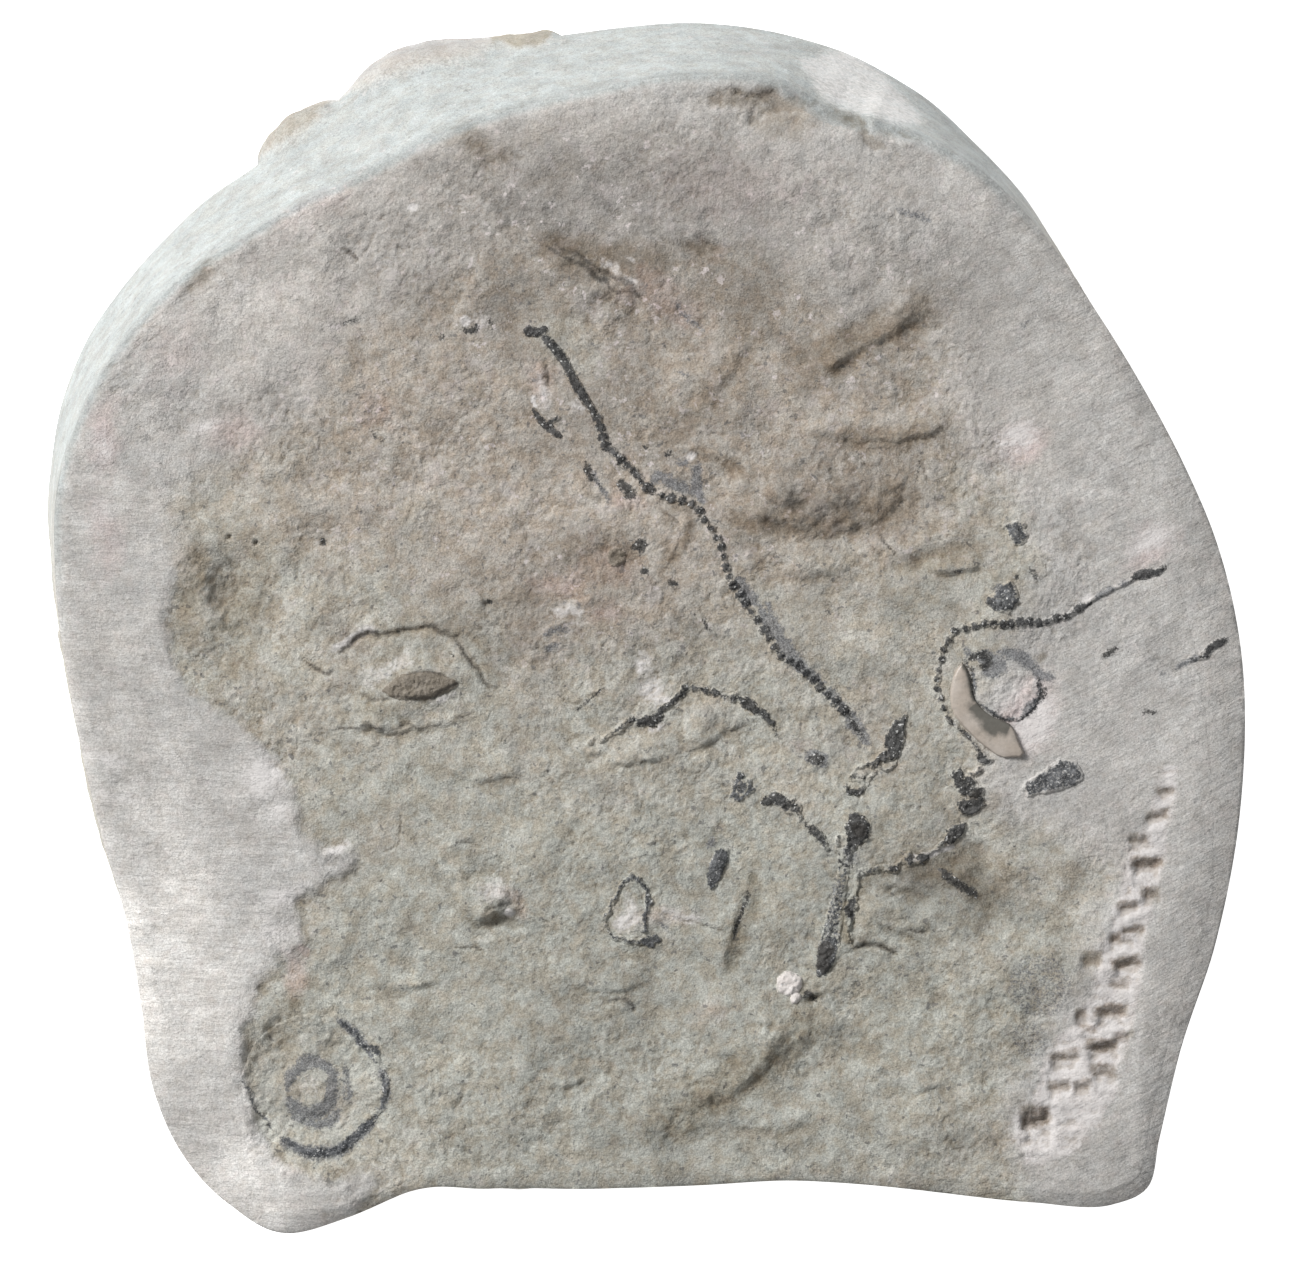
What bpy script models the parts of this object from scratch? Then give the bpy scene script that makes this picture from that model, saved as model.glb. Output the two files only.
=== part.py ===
"""A crinoid fossil on its trimmed slab of pale mudstone.

The slab lies on its flat back. +Z is out of the fossil face, +Y towards the slab's arched end,
and the origin is under the middle of the slab, on the surface it rests on. Lengths are written in
millimetres and turned into metres where an object is made.
"""

import math

import bmesh
import bpy
import numpy as np
from mathutils import Matrix, Vector
from mathutils.bvhtree import BVHTree

MM = 0.001

# Driving sizes of the slab
THICKNESS = 20.0
FACE_CELLS = 30
EDGE_CROWDING = 0.62
WALL_ROWS = ((0.34, 0.22), (0.66, 0.72), (0.86, 1.0), (1.0, 0.82))
FOOT_ROW = 2
HOLLOW_DEPTH = 1.1
HOLLOW_BANK = 1.6
GAP = 0.3
WELD = 0.001
CURVE_STEPS = 12

# Round the rim, anticlockwise from +X: bearing, radius of the face's edge, width and drop of its
# chamfer, and how far the foot of the side stands out beyond the face's edge.
RIM = (
    (0, 42.3, 3.0, 1.7, 0.4),
    (9, 41.1, 2.7, 1.5, 0.4),
    (17, 40.2, 2.2, 1.2, 0.5),
    (26, 39.5, 1.5, 0.8, 0.5),
    (36, 39.4, 1.0, 0.5, 0.7),
    (47, 40.2, 1.0, 0.5, 1.6),
    (56, 40.6, 1.0, 0.5, 2.4),
    (64, 40.1, 1.4, 0.7, 4.1),
    (70, 39.5, 2.0, 1.1, 5.3),
    (77, 40.3, 1.0, 0.5, 4.5),
    (86, 39.7, 0.8, 0.4, 4.9),
    (97, 38.7, 0.8, 0.4, 5.3),
    (106, 38.4, 0.8, 0.4, 5.8),
    (114, 38.3, 0.8, 0.4, 6.8),
    (122, 38.3, 0.8, 0.4, 6.3),
    (130, 39.4, 0.8, 0.4, 5.2),
    (137, 40.4, 0.8, 0.4, 4.8),
    (143, 41.7, 0.8, 0.4, 4.0),
    (150, 42.6, 0.8, 0.4, 3.5),
    (158, 43.2, 0.8, 0.4, 2.7),
    (166, 43.3, 0.8, 0.4, 1.8),
    (175, 42.4, 0.9, 0.5, 1.3),
    (187, 41.4, 1.0, 0.6, 1.0),
    (200, 41.6, 1.2, 0.7, 1.0),
    (210, 42.8, 1.4, 0.8, 0.8),
    (217, 45.0, 1.6, 1.0, 0.6),
    (223, 47.8, 2.0, 1.2, 0.4),
    (229, 49.9, 2.4, 1.6, 0.2),
    (234, 50.5, 2.8, 2.0, 0.0),
    (239.5, 50.0, 3.0, 2.2, 0.0),
    (243, 47.2, 3.0, 2.2, 0.2),
    (247, 43.7, 2.6, 2.0, 0.4),
    (254, 41.6, 2.4, 1.8, 0.6),
    (264, 40.1, 2.6, 2.0, 0.4),
    (275, 39.8, 3.0, 2.2, 0.4),
    (286, 41.0, 2.6, 1.8, 0.4),
    (296, 44.7, 2.4, 1.6, 0.2),
    (304, 49.4, 2.2, 1.4, 0.0),
    (309, 52.6, 2.0, 1.4, 0.0),
    (312, 53.3, 2.2, 1.5, 0.0),
    (315, 52.2, 2.6, 1.6, 0.2),
    (321, 49.1, 3.0, 1.8, 0.4),
    (331, 46.3, 3.0, 1.8, 0.5),
    (343, 44.2, 3.0, 1.8, 0.5),
)

# Rounded lobes of unworked stone low on the arched side: bearing, half-width in degrees, bulge
FOOT_LOBES = ((125.5, 6.5, 1.3), (113.0, 6.5, 1.2), (104.0, 3.5, 0.8))

# The natural parting round the fossil, a little below the filed margin
HOLLOW = (
    (-34.4, 8.9), (-33.0, 5.0), (-32.6, 0.7), (-31.9, -4.3), (-28.7, -6.8), (-26.4, -10.0),
    (-23.9, -13.2), (-21.2, -15.4), (-21.5, -17.2), (-24.8, -18.2), (-25.1, -22.9), (-27.8, -24.5),
    (-29.2, -30.8), (-27.5, -35.0), (-23.3, -38.0), (-20.1, -42.5), (27.0, -43.5), (27.4, -38.2),
    (26.7, -34.3), (28.1, -30.0), (31.0, -25.0), (33.4, -19.5), (28.5, -15.4), (25.2, -11.8),
    (24.2, -9.7), (21.3, -5.4), (21.7, -0.2), (25.2, 1.2), (26.7, 5.0), (22.8, 13.5), (20.6, 23.5),
    (16.7, 21.4), (8.1, 27.1), (-0.5, 24.6), (-8.0, 28.4), (-12.2, 26.0), (-12.6, 20.5),
    (-11.9, 7.8), (-17.6, 2.8), (-22.6, 6.0), (-28.3, 8.2),
)

# Ledges: the ground left of the path climbs to it over the run and drops at it.
# path, height, run
LEDGES = (
    (((-7.0, 27.9), (-8.9, 28.7), (-11.4, 27.0), (-12.8, 22.5)), 0.8, 5.0),
    (((4.5, 21.0), (0.4, 23.2), (-3.3, 25.2), (-6.5, 27.5)), 0.7, 4.0),
    (((9.7, 18.2), (13.6, 19.3), (17.0, 21.6), (20.7, 23.8)), 0.7, 4.5),
    (((3.0, 13.1), (6.6, 12.0), (8.9, 11.2)), 0.5, 3.0),
    (((11.3, 14.2), (14.5, 13.8), (18.1, 13.5), (20.3, 14.3), (23.2, 14.1)), 0.6, 3.5),
    (((6.6, 8.9), (11.7, 7.9), (14.6, 7.6), (17.2, 9.0), (18.1, 11.6)), 1.0, 4.5),
    (((-21.9, -7.2), (-18.8, -7.0), (-15.8, -6.9), (-11.6, -5.9)), 0.8, 3.0),
    (((0.6, -34.0), (6.0, -32.7), (9.2, -29.7), (11.0, -29.2), (11.8, -26.1)), 1.1, 4.5),
    (((-10.5, -19.8), (-9.6, -20.4), (-8.8, -19.3)), 0.6, 2.5),
    (((7.3, -24.5), (6.6, -20.8), (7.4, -17.0)), 0.4, 2.5),
    (((3.3, -8.3), (5.0, -7.4), (7.3, -6.4)), 0.5, 2.0),
    (((-8.7, -1.6), (-8.0, -0.4), (-6.2, 0.6)), 0.5, 2.0),
    (((20.5, -17.0), (22.0, -17.8), (24.2, -19.5)), 0.6, 2.5),
)

# Swells (+) and dips (-): centre, half-lengths along and across, turn in degrees, height
SWELLS = (
    ((-16.8, -3.7), (6.8, 3.4), 6, 0.9),
    ((-5.5, 24.5), (5.0, 2.6), -32, 0.5),
    ((12.2, 10.9), (6.2, 2.6), 0, 0.6),
    ((4.3, -6.3), (3.4, 1.7), 14, 0.6),
    ((-28.5, 3.4), (3.2, 5.6), 8, -0.9),
    ((-23.8, -32.4), (6.4, 6.0), 0, -0.5),
    ((6.2, -24.0), (7.0, 4.0), 25, 0.4),
    ((14.0, -22.0), (2.0, 5.0), -12, 0.4),
    ((22.4, -18.6), (3.2, 1.8), -30, -0.6),
    ((24.5, -22.5), (5.0, 4.0), 20, 0.5),
    ((-11.3, -19.0), (2.6, 1.8), 20, 0.5),
    ((-7.0, -28.5), (6.0, 4.0), 30, 0.4),
    ((18.5, 2.6), (6.0, 3.0), 20, 0.3),
    ((-35.5, 25.0), (3.0, 2.0), 40, -0.3),
    ((10.5, 35.5), (6.5, 1.6), -12, -0.4),
    ((15.4, 39.2), (3.4, 2.6), -25, -0.7),
)

# Gouge marks down the right-hand bank of the hollow: centre, half-lengths, turn, depth
GOUGES = (
    ((35.1, -16.4), (1.5, 0.7), 4, 0.7),
    ((34.6, -21.3), (1.4, 0.6), 8, 0.7),
    ((33.6, -23.6), (1.4, 0.8), 6, 0.9),
    ((32.6, -26.9), (1.6, 0.8), 8, 0.9),
    ((32.2, -29.4), (1.8, 0.9), 12, 1.0),
    ((31.6, -31.4), (1.4, 0.7), 4, 0.8),
    ((29.2, -30.4), (1.3, 0.6), 10, 0.7),
    ((27.7, -35.2), (1.9, 1.1), 2, 1.0),
    ((27.3, -37.2), (1.2, 0.7), 0, 0.6),
)

# Rough grain of the natural parting: size of the lumps and their height
GRAIN = ((9.0, 0.42), (4.5, 0.30), (2.2, 0.20))
GRAIN_SEED = 7
NOISE_SIDE = 64

# The crinoid. Arms are strings of beads: a route, the bead's radius and the spacing of the beads.
BEAD_PITCH = 0.74
BEAD_WAIST = 0.62
BEAD_SECTION = ((-1.0, -0.1), (-0.62, 0.72), (0.62, 0.72), (1.0, -0.1), (0.0, -0.9))
PIECE_SECTION = (
    (-1.0, -0.1), (-0.8, 0.45), (-0.3, 0.75), (0.3, 0.75), (0.8, 0.45), (1.0, -0.1), (0.0, -0.9),
)
BED_SECTION = ((-1.0, 3.0), (1.0, 3.0), (0.75, -1.0), (-0.75, -1.0))
BED_STEP = 1.6
LONG_ARM = (
    (15.7, -7.9), (14.2, -5.5), (12.5, -4.2), (11.0, -2.7), (9.5, -1.8), (8.4, 0.0), (7.2, 1.7),
    (6.3, 3.0), (5.5, 5.0), (5.2, 6.2), (4.2, 7.9), (3.1, 9.0), (1.3, 9.5), (0.0, 10.2),
    (-1.3, 11.7), (-2.8, 13.1), (-3.5, 14.6), (-4.4, 16.4), (-5.3, 17.8), (-6.0, 19.4),
    (-7.2, 20.7), (-8.6, 21.4),
)
LEFT_ARM = (
    (9.2, -7.4), (8.7, -6.1), (7.5, -5.3), (6.3, -4.8), (4.9, -4.5), (3.5, -4.2), (2.4, -4.5),
    (1.1, -5.6), (0.2, -6.6), (-1.0, -6.5), (-2.5, -7.2), (-4.2, -8.0),
)
LOWER_ARM = ((8.3, -12.2), (9.5, -12.6), (11.0, -13.3), (12.0, -14.3), (12.7, -15.4))
RIGHT_ARM = (
    (24.1, -9.5), (23.1, -7.9), (22.4, -7.3), (21.6, -6.5), (21.1, -5.7), (20.8, -4.8),
    (20.7, -3.9), (20.8, -2.8), (21.0, -1.7), (21.4, -0.9), (22.1, -0.2), (22.9, 0.1),
    (24.2, 0.4), (26.0, 0.5), (27.8, 0.7), (29.4, 0.8), (30.1, 0.8), (31.0, 1.5), (32.2, 2.2),
    (33.8, 3.2), (35.0, 3.9), (35.6, 4.1), (37.0, 4.8),
)
# Stout pieces: route points with the radius at each
RIGHT_ARM_ROOT = (
    (16.0, -16.8, 0.30), (16.9, -16.5, 0.42), (17.7, -16.3, 0.30), (18.6, -16.2, 0.45),
    (19.6, -16.1, 0.30), (20.7, -15.6, 0.36), (21.4, -15.1, 0.45), (22.0, -14.4, 0.75),
    (22.5, -13.6, 0.42), (22.8, -12.8, 0.80), (22.9, -11.9, 0.50), (22.9, -11.0, 0.85),
    (23.2, -10.2, 0.40),
)
STEM = (
    (12.5, -25.0, 0.62), (12.65, -24.0, 0.88), (12.9, -22.9, 0.74), (13.2, -21.6, 0.60),
    (13.5, -20.4, 0.58), (13.8, -19.2, 0.60), (14.0, -18.2, 0.56), (14.2, -17.4, 0.50),
)
CUP = (
    (14.3, -16.7, 0.50), (14.5, -15.8, 0.80), (14.7, -15.0, 0.66), (15.0, -14.0, 1.02),
    (15.1, -13.2, 0.70),
)
CUP_PLATES = ((15.1, -12.3, 0.45), (14.8, -11.4, 0.74), (15.2, -10.5, 0.60), (15.9, -9.8, 0.66))
SIDE_PLATE = (
    (16.9, -9.3, 0.42), (17.2, -8.6, 0.72), (17.6, -7.8, 0.86), (17.9, -7.0, 0.66),
    (18.1, -6.4, 0.36),
)
V_FRAGMENT = ((-8.0, 15.5, 0.28), (-7.3, 14.6, 0.40), (-6.5, 14.0, 0.46))
RIM_FRAGMENT = ((37.8, -2.8, 0.26), (39.2, -1.9, 0.36), (40.2, -1.0, 0.44), (41.0, -0.5, 0.34))
ROUND_SIDES = 8
ROUND_RINGS = 5
PLATE_HALF_THICK = 0.35

# Loose plates and grains of shell: name, centre, half-lengths along and across, turn, stand
LOOSE_PLATES = (
    ("loose_plate_left", (5.4, -16.7), (1.75, 0.95), 72, 0.28),
    ("loose_plate_top", (6.7, -11.4), (0.95, 0.80), 60, 0.24),
    ("loose_plate_right", (25.5, 2.1), (1.15, 1.05), 30, 0.28),
    ("loose_plate_upper", (26.3, 6.7), (0.90, 0.70), -20, 0.22),
    ("loose_plate_far", (28.9, -10.4), (2.35, 1.05), 14, 0.24),
    ("lens_shell", (-16.4, -3.9), (3.1, 0.95), 9, 0.42),
    ("pale_grain", (10.3, -25.7), (0.90, 0.78), 80, 0.45),
    ("round_grain", (-2.0, 5.3), (0.62, 0.58), 0, 0.26),
)

# Stem discs seen end on: radius and height along the turned section, from the middle out
LARGE_DISC_AT = (-23.8, -32.5)
LARGE_DISC = ((0.0, 0.05), (1.5, 0.05), (1.7, 0.26), (2.5, 0.26), (2.8, 0.0), (4.2, 0.0),
              (4.45, 0.28), (5.0, 0.28), (5.15, 0.0))
SMALL_DISC_AT = (25.85, -4.45)
SMALL_DISC = ((0.0, 0.18), (1.3, 0.14), (1.8, 0.20), (2.05, 0.12), (2.15, -0.05))
DISC_ROOT = 0.9
DISC_STEPS = 18

# The curved shell sliver beside the small disc: centre line and half-width
SHARD_LINE = (
    (22.65, -2.6, 0.16), (22.45, -3.5, 0.58), (22.5, -4.5, 0.74), (22.8, -5.5, 0.80),
    (23.5, -6.45, 0.82), (24.35, -7.3, 0.92), (25.2, -8.15, 1.0), (25.9, -8.8, 0.8),
)
SHARD_STAND = 0.12
SHARD_ROOT = 0.55

TEARDROP_LINE = (
    (-1.0, -17.3), (-0.2, -18.4), (0.0, -19.9), (-0.1, -21.3), (-1.0, -22.0), (-2.1, -21.8),
    (-2.8, -20.9), (-2.4, -19.6), (-1.6, -18.2),
)
TEARDROP_RADIUS = 0.24

STONE = (0.40, 0.385, 0.345)
DARK_CALCITE = (0.045, 0.046, 0.047)
GREY_CALCITE = (0.13, 0.13, 0.135)
BROWN_CALCITE = (0.21, 0.17, 0.135)
PALE_CALCITE = (0.66, 0.60, 0.56)
SHELL = (0.43, 0.35, 0.28)


def smooth(low, high, value):
    """0 below low, 1 above high and an S between them."""
    t = np.clip((value - low) / (high - low), 0.0, 1.0)
    return t * t * (3.0 - 2.0 * t)


def path_distance(x, y, path):
    """Distance to a path, with its sign: positive on the path's left."""
    nearest = np.full(x.shape, np.inf)
    signed = np.zeros(x.shape)
    for (ax, ay), (bx, by) in zip(path, path[1:]):
        dx, dy = bx - ax, by - ay
        along = np.clip(((x - ax) * dx + (y - ay) * dy) / (dx * dx + dy * dy), 0.0, 1.0)
        gap = np.hypot(x - ax - along * dx, y - ay - along * dy)
        side = np.where(dx * (y - ay) - dy * (x - ax) >= 0.0, 1.0, -1.0)
        closer = gap < nearest
        nearest = np.where(closer, gap, nearest)
        signed = np.where(closer, side * gap, signed)
    return signed


def inside(x, y, outline):
    """Whether each point lies inside a closed outline."""
    odd = np.zeros(x.shape, bool)
    for (ax, ay), (bx, by) in zip(outline, outline[1:] + outline[:1]):
        if ay != by:
            crosses = (ay > y) != (by > y)
            odd ^= crosses & (x < (bx - ax) * (y - ay) / (by - ay) + ax)
    return odd


def lumps(x, y, size, seed):
    """Smooth random heights from -1 to 1, repeating beyond the slab."""
    lattice = np.random.default_rng(seed).uniform(-1.0, 1.0, (NOISE_SIDE, NOISE_SIDE))
    u, v = x / size, y / size
    i, j = np.floor(u).astype(int), np.floor(v).astype(int)
    fu, fv = smooth(0.0, 1.0, u - i), smooth(0.0, 1.0, v - j)
    i0, j0 = i % NOISE_SIDE, j % NOISE_SIDE
    i1, j1 = (i + 1) % NOISE_SIDE, (j + 1) % NOISE_SIDE
    low = lattice[i0, j0] * (1 - fu) + lattice[i1, j0] * fu
    high = lattice[i0, j1] * (1 - fu) + lattice[i1, j1] * fu
    return low * (1 - fv) + high * fv


def hollow_share(x, y):
    """1 on the natural parting, 0 on the filed margin."""
    edge = np.abs(path_distance(x, y, HOLLOW + HOLLOW[:1]))
    signed = np.where(inside(x, y, HOLLOW), edge, -edge)
    return smooth(-0.4, HOLLOW_BANK, signed)


def oval_share(x, y, centre, halves, turn):
    """1 at the middle of an oval, falling to 0 at its edge."""
    a = math.radians(turn)
    dx, dy = x - centre[0], y - centre[1]
    along = (dx * math.cos(a) + dy * math.sin(a)) / halves[0]
    across = (dy * math.cos(a) - dx * math.sin(a)) / halves[1]
    return smooth(0.0, 1.0, 1.0 - np.hypot(along, across))


def ledge_height(signed, height, run):
    """Ground that climbs to a ledge from its left and drops at it."""
    return np.where(signed > 0.0, height * smooth(0.0, 1.0, 1.0 - signed / run), 0.0)


def face_height(x, y):
    """Height of the fossil face above the slab's back, without the chamfer round it."""
    natural = hollow_share(x, y)
    z = THICKNESS - HOLLOW_DEPTH * natural
    for number, (size, height) in enumerate(GRAIN):
        z = z + height * (0.12 + 0.88 * natural) * lumps(x, y, size, GRAIN_SEED + number)
    for path, height, run in LEDGES:
        z = z + ledge_height(path_distance(x, y, path), height, run)
    for centre, halves, turn, height in SWELLS:
        z = z + height * oval_share(x, y, centre, halves, turn)
    for centre, halves, turn, depth in GOUGES:
        z = z - depth * oval_share(x, y, centre, halves, turn)
    return z


def rim_at(bearing, column):
    """One column of RIM at any bearing, on a smooth closed curve through the stations."""
    degrees = np.degrees(bearing) % 360.0
    at = np.array([row[0] for row in RIM])
    values = np.array([row[column] for row in RIM])
    at = np.concatenate([at[-2:] - 360.0, at, at[:3] + 360.0])
    values = np.concatenate([values[-2:], values, values[:3]])
    slope = np.gradient(values, at)
    i = np.clip(np.searchsorted(at, degrees, side="right") - 1, 0, len(at) - 2)
    span = at[i + 1] - at[i]
    t = (degrees - at[i]) / span
    return (
        (2 * t**3 - 3 * t**2 + 1) * values[i]
        + (t**3 - 2 * t**2 + t) * span * slope[i]
        + (3 * t**2 - 2 * t**3) * values[i + 1]
        + (t**3 - t**2) * span * slope[i + 1]
    )


def lobe_bulge(bearing):
    """How far the unworked lobes low on the side stand out."""
    degrees = np.degrees(bearing) % 360.0
    bulge = np.zeros(bearing.shape)
    for centre, half, height in FOOT_LOBES:
        across = np.clip(np.abs(degrees - centre) / half, 0.0, 1.0)
        bulge = np.maximum(bulge, height * (1.0 - across**2))
    return bulge


def crowded(t):
    """Spreads grid lines from -1 to 1 so that they lie closer towards the rim."""
    return (1.0 - EDGE_CROWDING) * t + EDGE_CROWDING * np.sin(t * math.pi / 2.0)


def slab_mesh():
    """The slab: a grid pulled out to the rim for the face, side rows below it and a flat back."""
    bm = bmesh.new()
    bmesh.ops.create_grid(bm, x_segments=FACE_CELLS, y_segments=FACE_CELLS, size=1.0)
    flat = np.array([v.co[:2] for v in bm.verts])
    u, v = crowded(flat[:, 0]), crowded(flat[:, 1])
    disc_x, disc_y = u * np.sqrt(1.0 - v * v / 2.0), v * np.sqrt(1.0 - u * u / 2.0)
    share, bearing = np.hypot(disc_x, disc_y), np.arctan2(disc_y, disc_x)
    radius = rim_at(bearing, 1)
    x, y = share * radius * np.cos(bearing), share * radius * np.sin(bearing)
    inset = radius * (1.0 - share)
    width, drop = rim_at(bearing, 2), rim_at(bearing, 3)
    z = face_height(x, y) - drop * np.clip(1.0 - inset / width, 0.0, 1.0) ** 1.5
    for vert, co in zip(bm.verts, np.stack([x, y, z], axis=1) * MM):
        vert.co = co
    border = [e for e in bm.edges if e.is_boundary]
    top = {vert.index: vert.co.copy() for e in border for vert in e.verts}
    order = sorted(top, key=lambda n: math.atan2(top[n].y, top[n].x))
    bearings = np.array([math.atan2(top[n].y, top[n].x) for n in order])
    flare = rim_at(bearings, 4)
    bulge = lobe_bulge(bearings)
    edge_radius = np.array([math.hypot(top[n].x, top[n].y) for n in order]) / MM
    edge_height = np.array([top[n].z for n in order]) / MM
    for row, (down, out) in enumerate(WALL_ROWS):
        made = bmesh.ops.extrude_edge_only(bm, edges=border)["geom"]
        border = [g for g in made if isinstance(g, bmesh.types.BMEdge)]
        ring = sorted(
            {vert for e in border for vert in e.verts},
            key=lambda vert: math.atan2(vert.co.y, vert.co.x),
        )
        reach = edge_radius + flare * out + bulge * (row >= FOOT_ROW) * out
        for vert, angle, r, h in zip(ring, bearings, reach, edge_height):
            vert.co = Vector((r * math.cos(angle), r * math.sin(angle), h * (1.0 - down))) * MM
    bmesh.ops.contextual_create(bm, geom=border)
    bmesh.ops.triangulate(bm, faces=[f for f in bm.faces if len(f.verts) == 4])
    bmesh.ops.recalc_face_normals(bm, faces=bm.faces)
    mesh = bpy.data.meshes.new("matrix_slab")
    bm.to_mesh(mesh)
    bm.free()
    return mesh


def material(name, colour, roughness):
    """A plain finish for one part."""
    made = bpy.data.materials.new(name)
    made.use_nodes = True
    shader = made.node_tree.nodes["Principled BSDF"]
    shader.inputs["Base Color"].default_value = (*colour, 1.0)
    shader.inputs["Roughness"].default_value = roughness
    shader.inputs["Metallic"].default_value = 0.0
    return made


class Ground:
    """Heights of the slab's faceted face, for seating the fossils."""

    def __init__(self, slab):
        self.tree = BVHTree.FromPolygons(
            [v.co for v in slab.data.vertices], [p.vertices for p in slab.data.polygons]
        )

    def height(self, x, y):
        """Height in millimetres under a point of the face."""
        hit = self.tree.ray_cast(Vector((x, y, 2 * THICKNESS)) * MM, Vector((0, 0, -1)))[0]
        return hit.z / MM


def smooth_route(points, step):
    """Points a step apart along a smooth curve through the given points."""
    points = [np.array(p, float) for p in points]
    padded = [2 * points[0] - points[1], *points, 2 * points[-1] - points[-2]]
    fine = []
    for a, b, c, d in zip(padded, padded[1:], padded[2:], padded[3:]):
        for t in np.linspace(0.0, 1.0, CURVE_STEPS, endpoint=False):
            fine.append(
                0.5 * (2 * b + (c - a) * t + (2 * a - 5 * b + 4 * c - d) * t * t
                       + (3 * b - a - 3 * c + d) * t**3)
            )
    fine = np.array([*fine, points[-1]])
    lengths = np.concatenate([[0.0], np.cumsum(np.linalg.norm(np.diff(fine, axis=0), axis=1))])
    count = max(2, round(lengths[-1] / step) + 1)
    at = np.linspace(0.0, lengths[-1], count)
    return np.stack([np.interp(at, lengths, fine[:, k]) for k in range(fine.shape[1])], axis=1)


def poly_curve(name, points, closed):
    """A curve object of straight runs through points in millimetres, in no collection yet."""
    curve = bpy.data.curves.new(name, "CURVE")
    curve.dimensions = "3D"
    spline = curve.splines.new("POLY")
    spline.points.add(len(points) - 1)
    spline.use_cyclic_u = closed
    for place, point in zip(spline.points, points):
        place.co = (*(Vector(point).to_3d() * MM), 1.0)
    return bpy.data.objects.new(name, curve)


def solid_from(name, drawn):
    """The closed mesh that a curve object makes. The curve is removed."""
    bpy.context.scene.collection.objects.link(drawn)
    graph = bpy.context.evaluated_depsgraph_get()
    mesh = bpy.data.meshes.new_from_object(drawn.evaluated_get(graph))
    bpy.data.objects.remove(drawn)
    bm = bmesh.new()
    bm.from_mesh(mesh)
    bmesh.ops.remove_doubles(bm, verts=bm.verts, dist=WELD * MM)
    bmesh.ops.triangulate(bm, faces=bm.faces)
    bmesh.ops.recalc_face_normals(bm, faces=bm.faces)
    bm.to_mesh(mesh)
    bm.free()
    mesh.name = name
    return bpy.data.objects.new(name, mesh)


def bar_object(name, points, radii, section, closed=False):
    """A bar of the given section along points in millimetres, scaled by a radius at each."""
    drawn = poly_curve(name + "_line", points, closed)
    drawn.data.twist_mode = "Z_UP"
    drawn.data.bevel_mode = "OBJECT"
    drawn.data.bevel_object = poly_curve(name + "_section", section, True)
    drawn.data.use_fill_caps = not closed
    for place, radius in zip(drawn.data.splines[0].points, radii):
        place.radius = radius
    made = solid_from(name, drawn)
    bpy.data.objects.remove(bpy.data.objects[name + "_section"])
    return made


def bed_object(name, stations, ground, step=BED_STEP, closed=False):
    """The cutter for a piece's bed: a trough one gap larger, past both of its ends."""
    fine = smooth_route(stations, 0.25)
    flat = smooth_route(stations, step)
    for station in flat:
        near = np.linalg.norm(fine[:, :2] - station[:2], axis=1) < step
        station[2] = fine[near, 2].max()
    if closed:
        flat = flat[:-1]
    else:
        for end, inner in ((0, 1), (-1, -2)):
            out = flat[end, :2] - flat[inner, :2]
            flat[end, :2] += out * GAP / np.linalg.norm(out)
    points = [(x, y, ground.height(x, y)) for x, y, _ in flat]
    return bar_object(name + "_bed", points, flat[:, 2] + GAP, BED_SECTION, closed)


def beaded_arm(name, route, radius, ground):
    """An arm of the crinoid, as beads strung at an even pitch, and the cutter for its bed."""
    stations = [(x, y, radius) for x, y in route]
    flat = smooth_route(stations, BEAD_PITCH / 2.0)
    points = [(x, y, ground.height(x, y)) for x, y, _ in flat]
    radii = [radius * (1.0 if n % 2 else BEAD_WAIST) for n in range(len(points))]
    return bar_object(name, points, radii, BEAD_SECTION), bed_object(name, stations, ground)


def stout_piece(name, stations, ground):
    """A thick, knobbly piece through stations of x, y and radius, and the cutter for its bed."""
    fine = smooth_route(stations, 0.5)
    points = [(x, y, ground.height(x, y)) for x, y, _ in fine]
    made = bar_object(name, points, fine[:, 2], PIECE_SECTION)
    return made, bed_object(name, stations, ground, 1.1)


def ring_piece(name, outline, radius, ground):
    """A closed ring of shell and the cutter for its bed."""
    stations = [(x, y, radius) for x, y in outline + outline[:1]]
    flat = smooth_route(stations, 0.8)[:-1]
    points = [(x, y, ground.height(x, y)) for x, y, _ in flat]
    made = bar_object(name, points, flat[:, 2], BEAD_SECTION, True)
    return made, bed_object(name, stations, ground, 0.8, True)


def turned_object(name, profile, at, z):
    """A solid turned round a vertical axis from a profile of radius and height, in millimetres."""
    bm = bmesh.new()
    verts = [bm.verts.new((r * MM, 0.0, h * MM)) for r, h in profile]
    for a, b in zip(verts, verts[1:]):
        bm.edges.new((a, b))
    mesh = bpy.data.meshes.new(name)
    bm.to_mesh(mesh)
    bm.free()
    made = bpy.data.objects.new(name, mesh)
    made.location = Vector((*at, z)) * MM
    screw = made.modifiers.new("turn", "SCREW")
    screw.steps = screw.render_steps = DISC_STEPS
    screw.use_merge_vertices = True
    screw.merge_threshold = 0.00001
    return made


def stem_disc(name, section, at, ground):
    """A round stem plate seen end on, and the cutter for its bed."""
    z = ground.height(*at)
    rim = section[-1][0]
    profile = [*section, (rim, -DISC_ROOT), (0.0, -DISC_ROOT)]
    bed = [(0.0, 2.0), (rim + GAP, 2.0), (rim + GAP, -DISC_ROOT - GAP), (0.0, -DISC_ROOT - GAP)]
    return turned_object(name, profile, at, z), turned_object(name + "_bed", bed, at, z)


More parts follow.
